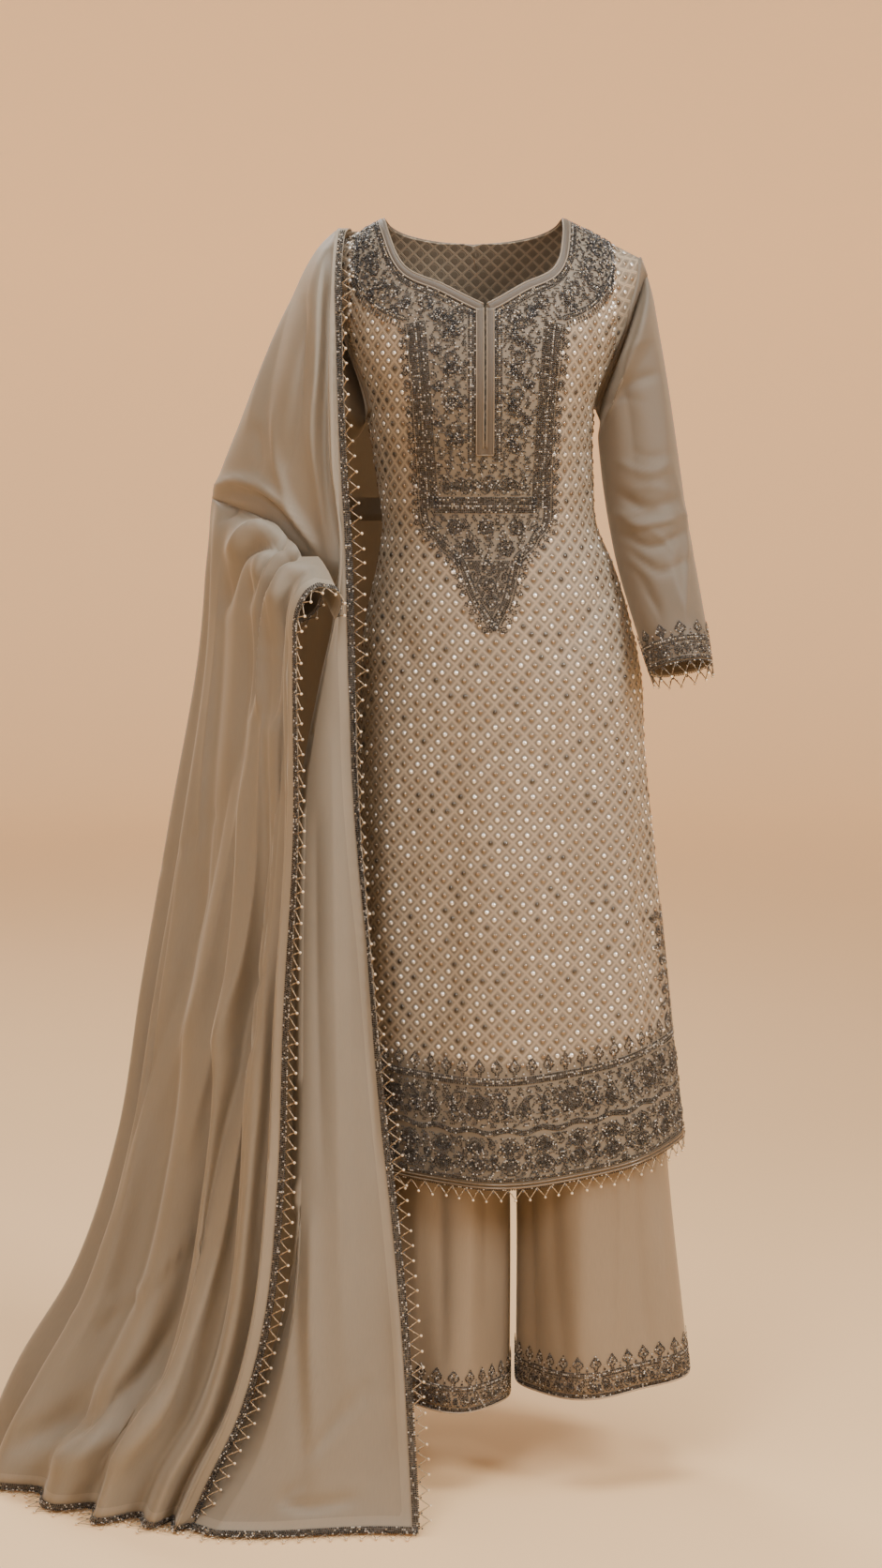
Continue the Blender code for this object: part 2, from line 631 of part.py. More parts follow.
def make_neck_binding(front, back, look):
    """The binding round the neck, as one strip from one side of the slit to the other."""
    front = moved_out(front, LIFT + APPLIQUE, INSIDE_KAMEEZ)
    back = moved_out(back, LIFT + APPLIQUE, INSIDE_KAMEEZ)
    centre = len(front[0]) // 2 - 1
    middle_back = len(back[0]) // 2 - 1
    first_back = len(LOWER_ROWS) + len(BACK_HEIGHTS)
    strip = [(front[row][centre], front[row][centre - 1]) for row in range(NOTCH_ROW, TOP_ROW + 1)]
    strip += [(row[middle_back], row[middle_back - 1]) for row in back[first_back:][::-1]]
    strip += [(row[middle_back + 1], row[middle_back + 2]) for row in back[first_back + 1:]]
    strip += [(front[row][centre + 1], front[row][centre + 2])
              for row in range(TOP_ROW, NOTCH_ROW - 1, -1)]
    cloth("neck_binding", np.array(strip), look, APPLIQUE, INSIDE_KAMEEZ, inset=SEAM)


def sleeve_grid(hand, rings):
    """A sleeve's rings of points. Each starts at its outer side and goes round by the front."""
    half = SLEEVE_SIDES // 2
    first = []
    for i in range(SLEEVE_SIDES + 1):
        share = 1 - i / half if i <= half else i / half - 1
        x, height = armhole(hand, share)
        point = kameez_point(x, height, "front" if i <= half else "back")
        first.append(point + np.array((hand * ARMHOLE_GAP, 0, 0)))
    grid = [first]
    centres = [(np.array(ring.outer) + np.array(ring.inner)) / 2 for ring in rings]
    for i, ring in enumerate(rings):
        path = centres[min(i + 1, len(rings) - 1)] - centres[max(i - 1, 0)]
        across = (np.array(ring.outer) - np.array(ring.inner)) / 2
        forward = np.cross(across, path) * hand
        forward *= ring.half_depth / np.linalg.norm(forward)
        line = []
        for j in range(SLEEVE_SIDES + 1):
            turn = 2 * math.pi * j / SLEEVE_SIDES
            x, y, height = centres[i] + across * math.cos(turn) + forward * math.sin(turn)
            line.append(place(x, y, height))
        grid.append(line)
    return np.array(grid)


def make_sleeve(name, hand, rings, looks):
    grid = sleeve_grid(hand, rings)
    inside = grid[len(grid) // 2].mean(axis=0)
    cloth("sleeve_" + name, grid, looks["sheer"], SHEER, inside)
    cuff = moved_out(grid, LIFT + APPLIQUE, inside)[-2:]
    cloth("cuff_border_" + name, cuff, looks["beadwork"], APPLIQUE, inside)
    down = grid[-1] - grid[-2]
    lace("cuff_lace_" + name, grid[-1], down, looks["lace"])


def leg_point(hand, height, turn, hem):
    """A point of a leg. turn goes round from the inseam by the front, from 0 to 1."""
    leg = LEG_AT[hand]
    inner = leg["inner"](height)
    outer = leg["outer"](height)
    angle = 2 * math.pi * turn
    depth = leg["front"](height) if turn < 0.5 else leg["back"](height)
    deep = TROUSER_FOLD * (1 - smooth((height - hem) / LEG_FOLD_REACH)) * math.sin(angle / 2)
    fold = 1 + deep / depth * math.cos(LEG_FOLDS * angle)
    x = blend(inner, outer, 0.5 - 0.5 * math.cos(angle) * fold)
    return np.array((x, -depth * math.sin(angle) * fold, height))


def seat_point(hand, height, turn):
    """A point of the seat's half on one side, from the front's middle round to the back's."""
    depth = SEAT_AT["front"](height) if turn < 0.5 else SEAT_AT["back"](height)
    x = SEAT_AT["centre"](height) + hand * SEAT_AT["half_width"](height) * math.sin(math.pi * turn)
    return np.array((x + hand * SEAM / 2, -depth * math.cos(math.pi * turn), height))


def leg_grid(hand, hem):
    grid = []
    for row in [hem + rise for rise in LEG_ROWS] + list(HIP_ROWS):
        share = smooth((row - CROTCH) / RISE_BLEND)
        near_hem = 1 - smooth((row - hem) / LEG_HEM_REACH)
        line = []
        for j in range(LEG_SIDES + 1):
            turn = j / LEG_SIDES
            height = row + TROUSER_HEM_RISE * near_hem * math.sin(math.pi * turn) ** 4
            point = blend(leg_point(hand, height, turn, hem), seat_point(hand, height, turn), share)
            line.append(place(*point))
        grid.append(line)
    return np.array(grid)


def make_trousers(looks):
    for name, hand, hem in (("left", 1, TROUSER_HEM_LEFT), ("right", -1, TROUSER_HEM_RIGHT)):
        grid = leg_grid(hand, hem)
        inside = grid[2].mean(axis=0)
        cloth("trouser_leg_" + name, grid, looks["satin"], SATIN, inside)
        border = moved_out(grid, LIFT + APPLIQUE, inside)[:2]
        cloth("trouser_border_" + name, border, looks["beadwork"], APPLIQUE, inside)
    band = []
    for height in (WAISTBAND_BOTTOM, WAISTBAND_TOP):
        right = [seat_point(-1, height, 1 - j / LEG_SIDES) for j in range(LEG_SIDES)]
        left = [seat_point(1, height, j / LEG_SIDES) for j in range(LEG_SIDES)]
        ring = [place(*point) for point in right + left]
        band.append(ring + ring[:1])
    cloth("trouser_waistband", np.array(band), looks["satin"], SATIN, place(0, 0, 1.05))


def fall_grid():
    """The front fall's rows: its front layer from the free edge to the fold, then the layer behind."""
    grid = []
    for i in range(FALL_ROWS + 1):
        along = FRONT_FALL[-1].along * i / FALL_ROWS
        edge, fold, forward, turned, height = (
            FALL_AT[name](along) for name in ("edge", "fold", "forward", "turned", "height"))
        line = []
        for j in range(FALL_FRONT_COLUMNS + 1):
            share = j / FALL_FRONT_COLUMNS
            wave = math.sin(FALL_PLEAT_TURN * share + FALL_PLEAT_START)
            pleat = FALL_PLEAT * min(abs(fold - edge) / FALL_FULL_WIDTH, 1) * wave
            line.append(place(blend(edge, fold, share), -forward + pleat, height))
        pocket = FALL_POCKET * min(max(turned, 0) / FALL_POCKET_FULL, 1) + FALL_LAYER_GAP
        for j in range(1, FALL_TURNED_COLUMNS + 1):
            share = j / FALL_TURNED_COLUMNS
            x = fold + turned * (share - FALL_LAYER_OVERHANG)
            line.append(place(x, -forward + pocket * math.sqrt(share), height))
        grid.append(line)
    return np.array(grid)


def wrap_point(share, height):
    """A point of the wrap: share goes round from the fall's fold, by the outer side, to the back."""
    rising = [row.height for row in FRONT_FALL[:FALL_CREST + 1]]
    along = np.interp(height, rising, range(len(rising)))
    front = (FALL_AT["fold"](along), -FALL_AT["forward"](along) + WRAP_BEHIND)
    around = [front] + [tuple(WRAP_AT[name](height)) for name in ("bulge", "outer", "rear", "back")]
    section = hermite((0, 0.25, 0.5, 0.75, 1), around)
    here = section(share)
    ahead = section(min(share + 0.01, 1)) - section(max(share - 0.01, 0))
    outward = np.array((ahead[1], -ahead[0])) / np.linalg.norm(ahead)
    lean = WRAP_FOLD_ROUND * share + WRAP_FOLD_DOWN * (WRAP_TOP - height)
    calm = math.sin(math.pi * share) * smooth((WRAP_TOP - height) / WRAP_CALM)
    return here - outward * WRAP_FOLD * calm * math.sin(lean)


def wrap_grid():
    grid = []
    for i in range(WRAP_ROWS + 1):
        line = []
        for j in range(WRAP_COLUMNS + 1):
            share = j / WRAP_COLUMNS
            behind = smooth(share / WRAP_FRONT_SHARE)
            bottom = blend(WRAP_FRONT_BOTTOM, RIDGE[-1].height + 2 * SEAM, behind)
            height = blend(bottom, WRAP_TOP, i / WRAP_ROWS)
            line.append(place(*wrap_point(share, height), height))
        grid.append(line)
    return np.array(grid)


def skirt_fold(along, height):
    """How far the skirt's fold stands out, as a wave whose crests are unevenly spaced."""
    phase = np.interp(along, SKIRT_CRESTS, range(len(SKIRT_CRESTS)))
    deep = blend(SKIRT_FOLD_HEM, SKIRT_FOLD_TOP, smooth(height / SKIRT_FOLD_HEIGHT))
    uneven = 1 - SKIRT_UNEVEN + SKIRT_UNEVEN * math.cos(SKIRT_UNEVEN_TURN * phase)
    return deep * smooth(along / SKIRT_EDGE) * math.cos(2 * math.pi * phase) * uneven


def skirt_point(along, height):
    """A point of the fall over the forearm. along goes from its free edge round to the back."""
    top = RIDGE_AT["height"](along)
    names = ("edge", "first", "second", "outer", "third", "fourth", "back")
    section = hermite(np.linspace(0, 1, len(names)), [SKIRT_AT[name](height) for name in names])
    ahead = section(min(along + 0.01, 1)) - section(max(along - 0.01, 0))
    outward = np.array((ahead[1], -ahead[0])) / np.linalg.norm(ahead)
    here = section(along) - outward * skirt_fold(along, height)
    around = smooth((along - ELBOW + ELBOW_TURN) / ELBOW_TURN_OVER)
    joined = around * smooth((height - JOIN_HEIGHT) / (top - JOIN_HEIGHT))
    if joined > 0:
        wrap_share = 0.5 + 0.5 * (along - ELBOW - JOIN_START) / (1 - JOIN_START - ELBOW)
        here = blend(here, wrap_point(min(max(wrap_share, 0), 1), height), joined)
    rolled = math.sqrt(1 - (1 - min((top - height) / RIDGE_ROLL, 1)) ** 2)
    ridge = np.array((RIDGE_AT["x"](along), RIDGE_AT["y"](along)))
    return blend(ridge, here, blend(rolled, 1, around))


def skirt_columns():
    """Four columns to each fold, so that each crest and trough has one."""
    phases = np.interp((0, 1), SKIRT_CRESTS, range(len(SKIRT_CRESTS)))
    quarters = np.arange(math.ceil(phases[0] * 4 + 0.5), math.floor(phases[1] * 4)) / 4
    inner = np.interp(quarters, range(len(SKIRT_CRESTS)), SKIRT_CRESTS)
    return [0.0, 0.012, *inner, 1.0]


def inner_point(along, drop):
    """A point of the short layer that hangs from the ridge on its inner side, by the wrist."""
    ridge = np.array([RIDGE_AT[name](along) for name in ("x", "y", "height")])
    away = ridge[:2] - skirt_point(along, 1.0)
    away /= np.linalg.norm(away)
    rolled = math.sqrt(1 - (1 - min(drop / INNER_REACH, 1)) ** 2)
    x, y = ridge[:2] + away * INNER_REACH * rolled + np.array(INNER_DRIFT) * drop
    return place(x, y, ridge[2] - drop)


def skirt_grid(columns):
    grid = [[inner_point(along, drop) for along in columns] for drop in INNER_DROPS]
    for share in SKIRT_DROPS:
        line = []
        for along in columns:
            height = blend(RIDGE_AT["height"](along) - SEAM, SKIRT_HEM, share)
            line.append(place(*skirt_point(along, height), height))
        grid.append(line)
    return np.array(grid)


def make_dupatta(looks):
    fall = fall_grid()
    cloth("dupatta_front_fall", fall, looks["dupatta"], SHEER, place(-0.15, 0.1, 0.8))
    wrap = wrap_grid()
    cloth("dupatta_shoulder_wrap", wrap, looks["dupatta"], SHEER, place(-0.2, 0.03, 1.3))
    columns = skirt_columns()
    skirt = skirt_grid(columns)
    split = int(np.searchsorted(columns, BACK_FALL_FROM))
    inner_rows = len(INNER_DROPS)
    past_wrist = [j for j, along in enumerate(columns) if along > INNER_LEG]
    no_inner = {(i, j) for i in range(inner_rows) for j in past_wrist}
    inside = place(-0.2, 0.0, 0.6)
    side = skirt[:, :split + 1]
    back = skirt[inner_rows:, split:]
    cloth("dupatta_side_fall", side, looks["dupatta"], SHEER, inside, no_inner, inset=2 * SEAM)
    cloth("dupatta_back_fall", back, looks["dupatta"], SHEER, inside, inset=2 * SEAM)
    edge = fall[:-3, 0]
    lace("dupatta_lace_front", edge, np.tile((1.0, 0.0, 0.0), (len(edge), 1)), looks["lace"])
    free = skirt[inner_rows:, 0]
    lace("dupatta_lace_side", free, free - skirt[inner_rows:, 2], looks["lace"])


def lace(name, edge, outward, look):
    """A narrow strip parted from a cloth's edge, with a tooth at each pitch of it."""
    edge = np.array(edge)
    outward = np.array(outward)
    steps = np.linalg.norm(np.diff(edge, axis=0), axis=1)
    far = np.concatenate([[0], np.cumsum(steps)])
    teeth = max(int(far[-1] / LACE_PITCH), 2)
    marks = np.linspace(0, far[-1], 2 * teeth + 1)
    points = np.stack([np.interp(marks, far, edge[:, axis]) for axis in range(3)], axis=1)
    ways = np.stack([np.interp(marks, far, outward[:, axis]) for axis in range(3)], axis=1)
    ways /= np.linalg.norm(ways, axis=1, keepdims=True)
    lowest = place(0, 0, LOWEST_LACE)[2]

    def corner(mark, reach):
        point = points[mark] + ways[mark] * reach
        return (point[0], point[1], max(point[2], lowest))

    shape = bmesh.new()
    tops = [shape.verts.new(corner(mark, SEAM * 1.5)) for mark in range(0, 2 * teeth + 1, 2)]
    roots = [shape.verts.new(corner(mark, LACE_STRIP)) for mark in range(0, 2 * teeth + 1, 2)]
    for i in range(teeth):
        shape.faces.new((tops[i], tops[i + 1], roots[i + 1], roots[i]))
        tip = shape.verts.new(corner(2 * i + 1, LACE_STRIP + LACE_DROP))
        shape.faces.new((roots[i], roots[i + 1], tip))
    if np.linalg.norm(edge[0] - edge[-1]) < SEAM:
        bmesh.ops.remove_doubles(shape, verts=shape.verts, dist=WELD)
    finish_sheet(name, shape, look, LACE_THICK, 0)


def main():
    for old in list(bpy.data.objects):
        bpy.data.objects.remove(old, do_unlink=True)
    looks = {
        "mirror_cloth": material("mirror_cloth", (0.38, 0.29, 0.20), 0.6),
        "plain": material("plain_binding", (0.36, 0.28, 0.20), 0.6),
        "beadwork": material("beadwork", (0.10, 0.09, 0.08), 0.4),
        "lace": material("bead_lace", (0.20, 0.16, 0.11), 0.4),
        "sheer": material("sheer_cloth", (0.33, 0.26, 0.19), 0.7),
        "dupatta": material("dupatta_cloth", (0.33, 0.27, 0.20), 0.7),
        "satin": material("satin_cloth", (0.34, 0.26, 0.18), 0.5),
    }
    make_kameez(looks)
    make_sleeve("left", 1, SLEEVE_LEFT, looks)
    make_sleeve("right", -1, SLEEVE_RIGHT, looks)
    make_trousers(looks)
    make_dupatta(looks)


main()
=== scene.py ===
"""A salwar kameez suit: kameez, palazzo trousers and dupatta, hollow and set in their worn shape.

Units are metres. Tables give heights above the floor, and place() turns them into the frame of the
CAD model, whose origin is where the wearer's shoulders hold the suit. +X is the wearer's left and
-Y the front. Each piece of cloth is a thin shell on the form of its CAD solid.
"""

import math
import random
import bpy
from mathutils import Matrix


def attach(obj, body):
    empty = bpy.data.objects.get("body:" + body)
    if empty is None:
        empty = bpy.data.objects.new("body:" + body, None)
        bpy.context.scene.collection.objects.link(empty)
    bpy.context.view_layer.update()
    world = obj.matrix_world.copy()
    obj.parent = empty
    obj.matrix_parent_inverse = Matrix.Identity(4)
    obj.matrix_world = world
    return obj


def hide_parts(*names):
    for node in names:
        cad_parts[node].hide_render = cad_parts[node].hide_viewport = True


bl_info = {
    "name": "Salwar Kameez Suit",
    "version": (1, 0, 0),
    "blender": (4, 5, 0),
    "location": "View3D > Sidebar > Suit",
    "description": "Builds a beaded kameez, palazzo trousers and a sheer dupatta",
    "category": "Object",
}

from collections import namedtuple
from functools import partial

import bmesh
import bpy
import numpy as np
from mathutils.kdtree import KDTree

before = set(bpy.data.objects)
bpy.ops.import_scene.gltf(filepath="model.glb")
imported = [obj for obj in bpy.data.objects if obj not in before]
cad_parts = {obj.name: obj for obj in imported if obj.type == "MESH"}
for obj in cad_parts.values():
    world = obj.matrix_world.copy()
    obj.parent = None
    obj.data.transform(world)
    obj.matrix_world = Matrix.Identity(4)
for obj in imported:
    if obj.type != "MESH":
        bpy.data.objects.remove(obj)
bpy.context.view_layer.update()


# Driving dimensions
SHOULDER_MOUNT = 1.48
CLOTH = 0.0014
SATIN = 0.0016
SHEER = 0.0012
SEAM = 0.0005
PANEL_GAP = 0.0004
SHOULDER_GAP = 0.0009
ARMHOLE_GAP = 0.0022

NECK_POINT_HEIGHT = 1.507
NECK_X = -0.0175
NECK_HALF_WIDTH = 0.1045
NECK_NOTCH = 1.405
SHOULDER_SLOPE = 0.5
SHOULDER_ROLL = 0.14
ARMPIT = 1.285
SHOULDER_X = -0.0065
SLIT_X = -0.005
SLIT_BOTTOM = 1.241
SLIT_WIDTH = 0.004
BINDING_WIDTH = 0.009
SIDE_SLIT = 0.82
SIDE_SLIT_ANGLE = 9.0
HEM_CURVE = 0.72
KAMEEZ_FOLD = 0.006

WAISTBAND_TOP = 1.065
WAISTBAND_BOTTOM = 1.035
CROTCH = 0.79
RISE_BLEND = 0.11
TROUSER_FOLD = 0.009

LACE_PITCH = 0.0175

def metres(value):
    """Thousandths as units, in a number or in tuples of them."""
    return tuple(metres(part) for part in value) if isinstance(value, tuple) else value / 1000


def table(names, *rows):
    """A table's rows, which are given in millimetres and thousandths, with names for their columns."""
    kind = namedtuple("Row", names)
    return tuple(kind(*metres(row)) for row in rows)


# The kameez by height: the centre of its oval, half its width, and its depth to front and back
BODY = table("height centre half_width front back",
    (360, 41, 202, 120, 132), (560, 30, 191, 115, 131), (750, 21, 181, 110, 130), (880, 16, 172, 107, 127),
    (970, 16, 167, 105, 121), (1030, 12, 159, 102, 106), (1100, 9, 141, 98, 88), (1150, 2, 127, 96, 80),
    (1200, -3, 128, 103, 82), (1260, -8, 132, 119, 89), (1300, -9, 138, 126, 94), (1340, -8, 155, 125, 96),
    (1400, -7, 178, 115, 92), (1470, -6, 191, 110, 85), (1510, -6, 194, 110, 85))

# The armhole seam: how far it lies from the shoulders' middle at each height
ARMHOLE = table("height reach",
    (1285, 130), (1313, 138.5), (1345, 152.5), (1375, 165), (1404, 171.5), (1430, 179), (1462, 183.5))

# The front neckline, from the notch over the slit up to the neck point
NECKLINE = table("height half_width",
    (1405, 2), (1414, 20), (1429, 48), (1442, 78.5), (1458, 92.5), (1484, 100.3), (1507, 104.5))
BACK_NECKLINE = table("height half_width",
    (1478, 0), (1481, 40), (1488, 76), (1497, 96), (1507, 104.5))

# The yoke's embroidery between its stepped tip and the neck: how far it reaches each side of the slit
YOKE = table("height reach",
    (1165, 75), (1200, 77), (1230, 79), (1270, 81), (1320, 84), (1375, 86), (1396, 88))

# A sleeve's rings below its armhole: its outer and inner edge, and half its size across them
SLEEVE_LEFT = table("outer inner half_depth",
    ((192, 2, 1425), (132, 0, 1270), 53), ((202, 1, 1372), (130, 0, 1253), 52),
    ((212, -1, 1312), (132, -2, 1229), 51), ((223, -4, 1243), (136, -6, 1193), 50),
    ((234, -10, 1168), (144, -14, 1143), 48), ((244, -22, 1108), (154.5, -25, 1094), 46),
    ((256, -42, 1036), (174.5, -44, 1026), 42), ((262, -56, 990), (190, -58, 978), 39))
SLEEVE_RIGHT = table("outer inner half_depth",
    ((-206, 3, 1425), (-146, 1, 1268), 52), ((-225, 8, 1372), (-151, 6, 1256), 50),
    ((-247, 18, 1315), (-164, 14, 1240), 48), ((-270, 32, 1250), (-186, 26, 1200), 46),
    ((-293, 47, 1190), (-208, 32, 1158), 45), ((-306, 43, 1135), (-222, 18, 1125), 44),
    ((-299, 0, 1100), (-218, -10, 1102), 42), ((-284, -48, 1084), (-207, -42, 1086), 40),
    ((-270, -90, 1070), (-196, -76, 1072), 38))

# The trousers by height: the seat as one oval, and each leg as its own
SEAT = table("height centre half_width front back",
    (780, 17, 158, 92, 112), (880, 16, 156, 91, 112), (960, 15, 150, 89, 104), (1035, 12, 137, 84, 84),
    (1070, 11, 131, 82, 79))
LEG_LEFT = table("height inner outer front back",
    (110, 36, 252, 108, 112), (360, 35, 224, 88, 98), (560, 25, 204, 86, 98), (760, 17.5, 172, 84, 100),
    (1070, 17.5, 150, 84, 95))
LEG_RIGHT = table("height inner outer front back",
    (100, 28, -150, 106, 110), (360, 28, -130, 80, 88), (560, 20, -130, 80, 90), (760, 16.5, -130, 80, 96),
    (1070, 16.5, -120, 82, 92))
TROUSER_HEM_LEFT = 0.113
TROUSER_HEM_RIGHT = 0.096
TROUSER_HEM_RISE = 0.024

# The dupatta's fall in front, from the floor up and over the shoulder: its free edge, its fold,
# how far it stands forward, and how wide the layer is that its fold turns back behind it
Fall = namedtuple("Fall", "along height edge fold forward turned")
FRONT_FALL = tuple(Fall(along, *metres(row)) for along, row in enumerate((
    (4, -81, -318, 262, 110), (30, -82, -300, 252, 110), (100, -86, -262, 236, 105),
    (215, -93, -232, 216, 100), (340, -104, -221, 196, 94), (480, -120, -217, 176, 86),
    (620, -134, -216, 160, 76), (770, -147, -214, 144, 62), (870, -153, -209, 134, 50),
    (965, -155, -193, 126, 34), (1050, -157, -177, 120, 16), (1130, -159, -172, 115, 4),
    (1215, -164, -180, 110, 3), (1300, -168, -184, 103, 3), (1370, -170, -184, 90, 3),
    (1430, -171, -182, 76, 3), (1472, -169, -180, 54, 2), (1497, -165, -177, 30, 1),
    (1505, -162, -175, 4, 0), (1499, -160, -174, -16, 0))))

# The wrap over shoulder and upper arm: points round it at each height. It starts behind the fall's fold
WRAP = table("height bulge outer rear back",
    (1100, (-246, -52), (-336, 56), (-289, 134), (-118, 138)),
    (1178, (-252, -58), (-328, 53), (-277, 129), (-118, 134)),
    (1214, (-250, -62), (-314, 45), (-265, 124), (-118, 131)),
    (1270, (-244, -69), (-290, 33), (-248, 113), (-120, 126)),
    (1336, (-232, -72), (-264, 19), (-230, 100), (-124, 118)),
    (1403, (-216, -62), (-241, 9), (-212, 78), (-130, 104)),
    (1450, (-201, -42), (-219, 4), (-200, 50), (-138, 78)),
    (1478, (-187, -22), (-197, 2), (-184, 26), (-144, 42)),
    (1493, (-177, -6), (-180, 0), (-176, 6), (-153, 10)))

# The fall over the forearm: seven points round it at each height, from its free edge to the back
SKIRT = table("height edge first second outer third fourth back",
    (0, (-345, -238), (-425, -214), (-545, -128), (-608, 40), (-490, 192), (-290, 214), (-132, 196)),
    (60, (-318, -236), (-402, -210), (-524, -124), (-592, 40), (-478, 188), (-284, 210), (-130, 192)),
    (130, (-284, -232), (-360, -200), (-484, -112), (-562, 40), (-456, 180), (-272, 204), (-126, 186)),
    (240, (-253, -228), (-324, -186), (-430, -92), (-497, 42), (-420, 168), (-254, 194), (-122, 178)),
    (400, (-236, -226), (-300, -176), (-390, -74), (-445, 45), (-390, 156), (-240, 182), (-119, 170)),
    (600, (-229, -224), (-284, -166), (-362, -64), (-414, 48), (-364, 148), (-230, 172), (-118, 162)),
    (800, (-218, -222), (-268, -156), (-334, -52), (-380, 50), (-336, 142), (-220, 164), (-117, 156)),
    (1000, (-219, -216), (-261, -142), (-314, -36), (-345, 52), (-308, 136), (-208, 156), (-117, 148)),
    (1178, (-216, -212), (-258, -130), (-312, -24), (-330, 53), (-279, 129), (-200, 148), (-117, 140)))
# The ridge that the forearm makes, from the wrist back to the elbow and then round the arm
RIDGE = table("along x y height",
    (0, -188, -204, 1088), (140, -214, -134, 1128), (280, -262, -46, 1160), (420, -322, 36, 1178),
    (550, -330, 80, 1178), (700, -279, 129, 1178), (1000, -117, 140, 1178))

# The kameez's rows of points, by height up to the armpit and by share of the armhole above it
HEM_LOW_X = 0.0
HEM_FRONT = 0.375
HEM_LIFT_REACH = 0.35
LOWER_ROWS = (0.375, 0.455, 0.540, 0.605, 0.670, 0.745, 0.820, 0.900, 0.970, 1.033, 1.080, 1.120,
              1.165, 1.200, 1.231, 1.241, 1.285)
SLIT_ROW = LOWER_ROWS.index(1.241)
SLIT_HEIGHTS = (1.325, 1.365)
FRONT_SHARES = (0.17, 0.34, 0.50, 0.57, 0.64, 0.71, 0.79, 0.89, 1.0)
NOTCH_ROW = len(LOWER_ROWS) + len(SLIT_HEIGHTS)
BACK_HEIGHTS = (1.345, 1.405, 1.450)
BACK_SHARES = (0.26, 0.52, 0.70, 0.78, 0.86, 0.93, 0.97, 1.0)
# Columns out from the middle: the placket's or binding's edge, two more, and the yoke's edge
YOKE_COLUMNS = (0.0125, 0.034, 0.057)
NECK_SHARES = (0.28, 0.45, 0.62)
SIDE_COLUMNS = (0.30, 0.56, 0.80, 1.0)
BACK_COLUMNS = (0.09, 0.24, 0.42, 0.60, 0.80, 1.0)
BODY_FOLDS = 7
FOLD_START = 0.8

# Rows, columns and folds of the sleeves and trousers
SLEEVE_SIDES = 96
LEG_FOLDS = 5
LEG_FOLD_REACH = 0.45
LEG_HEM_REACH = 0.4

INNER_REACH = 0.035
INNER_DRIFT = (-0.5, 0.45)
FALL_CREST = 18
FALL_PLEAT = 0.007
FALL_PLEAT_TURN = 5.5
FALL_PLEAT_START = 0.4
FALL_FULL_WIDTH = 0.14
FALL_POCKET = 0.018
FALL_POCKET_FULL = 0.05
FALL_LAYER_GAP = 0.004
FALL_LAYER_OVERHANG = 0.2
WRAP_TOP = 1.493
WRAP_FRONT_BOTTOM = 1.105
WRAP_FRONT_SHARE = 0.42
WRAP_FOLD = 0.005
WRAP_FOLD_ROUND = 9.0
WRAP_FOLD_DOWN = 14.0
WRAP_CALM = 0.06
WRAP_BEHIND = 0.012
RIDGE_ROLL = 0.050
ELBOW = 0.42
ELBOW_TURN = 0.06
ELBOW_TURN_OVER = 0.10
JOIN_HEIGHT = 1.08
JOIN_START = 0.04
INNER_LEG = 0.12
SKIRT_HEM = 0.004
SKIRT_FOLD_TOP = 0.004
SKIRT_FOLD_HEM = 0.024
SKIRT_FOLD_HEIGHT = 1.1
SKIRT_EDGE = 0.05
SKIRT_UNEVEN = 0.25
SKIRT_UNEVEN_TURN = 3.1
# Where each fold of the skirt crests along it
SKIRT_CRESTS = (0.03, 0.10, 0.20, 0.28, 0.39, 0.48, 0.56, 0.66, 0.75, 0.86, 0.95, 1.06)


def hermite(keys, values):
    """A smooth curve through the values at the keys, which rise. Values may be points."""
    keys = np.array(keys, float)
    values = np.array(values, float)
    steps = np.diff(keys)
    slopes = np.diff(values, axis=0) / (steps[:, None] if values.ndim > 1 else steps)
    tangents = np.concatenate([slopes[:1], (slopes[:-1] + slopes[1:]) / 2, slopes[-1:]])

    def at(key):
        key = min(max(key, keys[0]), keys[-1])
        i = min(int(np.searchsorted(keys, key, "right")) - 1, len(steps) - 1)
        t = (key - keys[i]) / steps[i]
        low = (1 + 2 * t) * (1 - t) ** 2 * values[i] + t * (1 - t) ** 2 * steps[i] * tangents[i]
        high = t * t * (3 - 2 * t) * values[i + 1] - t * t * (1 - t) * steps[i] * tangents[i + 1]
        return low + high

    return at


def column(table, name, key="height"):
    """One named column of a table, as a smooth curve over its key."""
    return hermite([getattr(row, key) for row in table], [getattr(row, name) for row in table])


def smooth(value):
    value = min(max(value, 0.0), 1.0)
    return value * value * (3 - 2 * value)


def blend(first, second, share):
    return first + (second - first) * share


def place(x, y, height):
    """A point of the part's frame from its height above the floor."""
    return np.array((x, y, height - SHOULDER_MOUNT))


def normals(points):
    """The unit normal at each point of a grid. Points that lie on each other share one."""
    grid = np.array(points)
    found = np.cross(np.gradient(grid, axis=1), np.gradient(grid, axis=0))
    for i, row in enumerate(grid):
        _, group = np.unique(np.round(row, 6), axis=0, return_inverse=True)
        group = group.reshape(-1)
        for member in np.unique(group[np.bincount(group)[group] > 1]):
            found[i, group == member] = found[i, group == member].mean(axis=0)
    return found / np.maximum(np.linalg.norm(found, axis=2, keepdims=True), 1e-12)


def curves(table, key="height"):
    return {name: column(table, name, key) for name in table[0]._fields if name != key}


BODY_AT = curves(BODY)
SEAT_AT = curves(SEAT)
LEG_AT = {1: curves(LEG_LEFT), -1: curves(LEG_RIGHT)}
ARMHOLE_AT = column(ARMHOLE, "reach")
YOKE_AT = column(YOKE, "reach")
FALL_AT = curves(FRONT_FALL, "along")
WRAP_AT = curves(WRAP)
SKIRT_AT = curves(SKIRT)
RIDGE_AT = curves(RIDGE, "along")

INSIDE_KAMEEZ = place(0.0, 0.0, 1.10)


def shoulder_line(x):
    return NECK_POINT_HEIGHT - SHOULDER_SLOPE * max(abs(x - NECK_X) - NECK_HALF_WIDTH, 0)


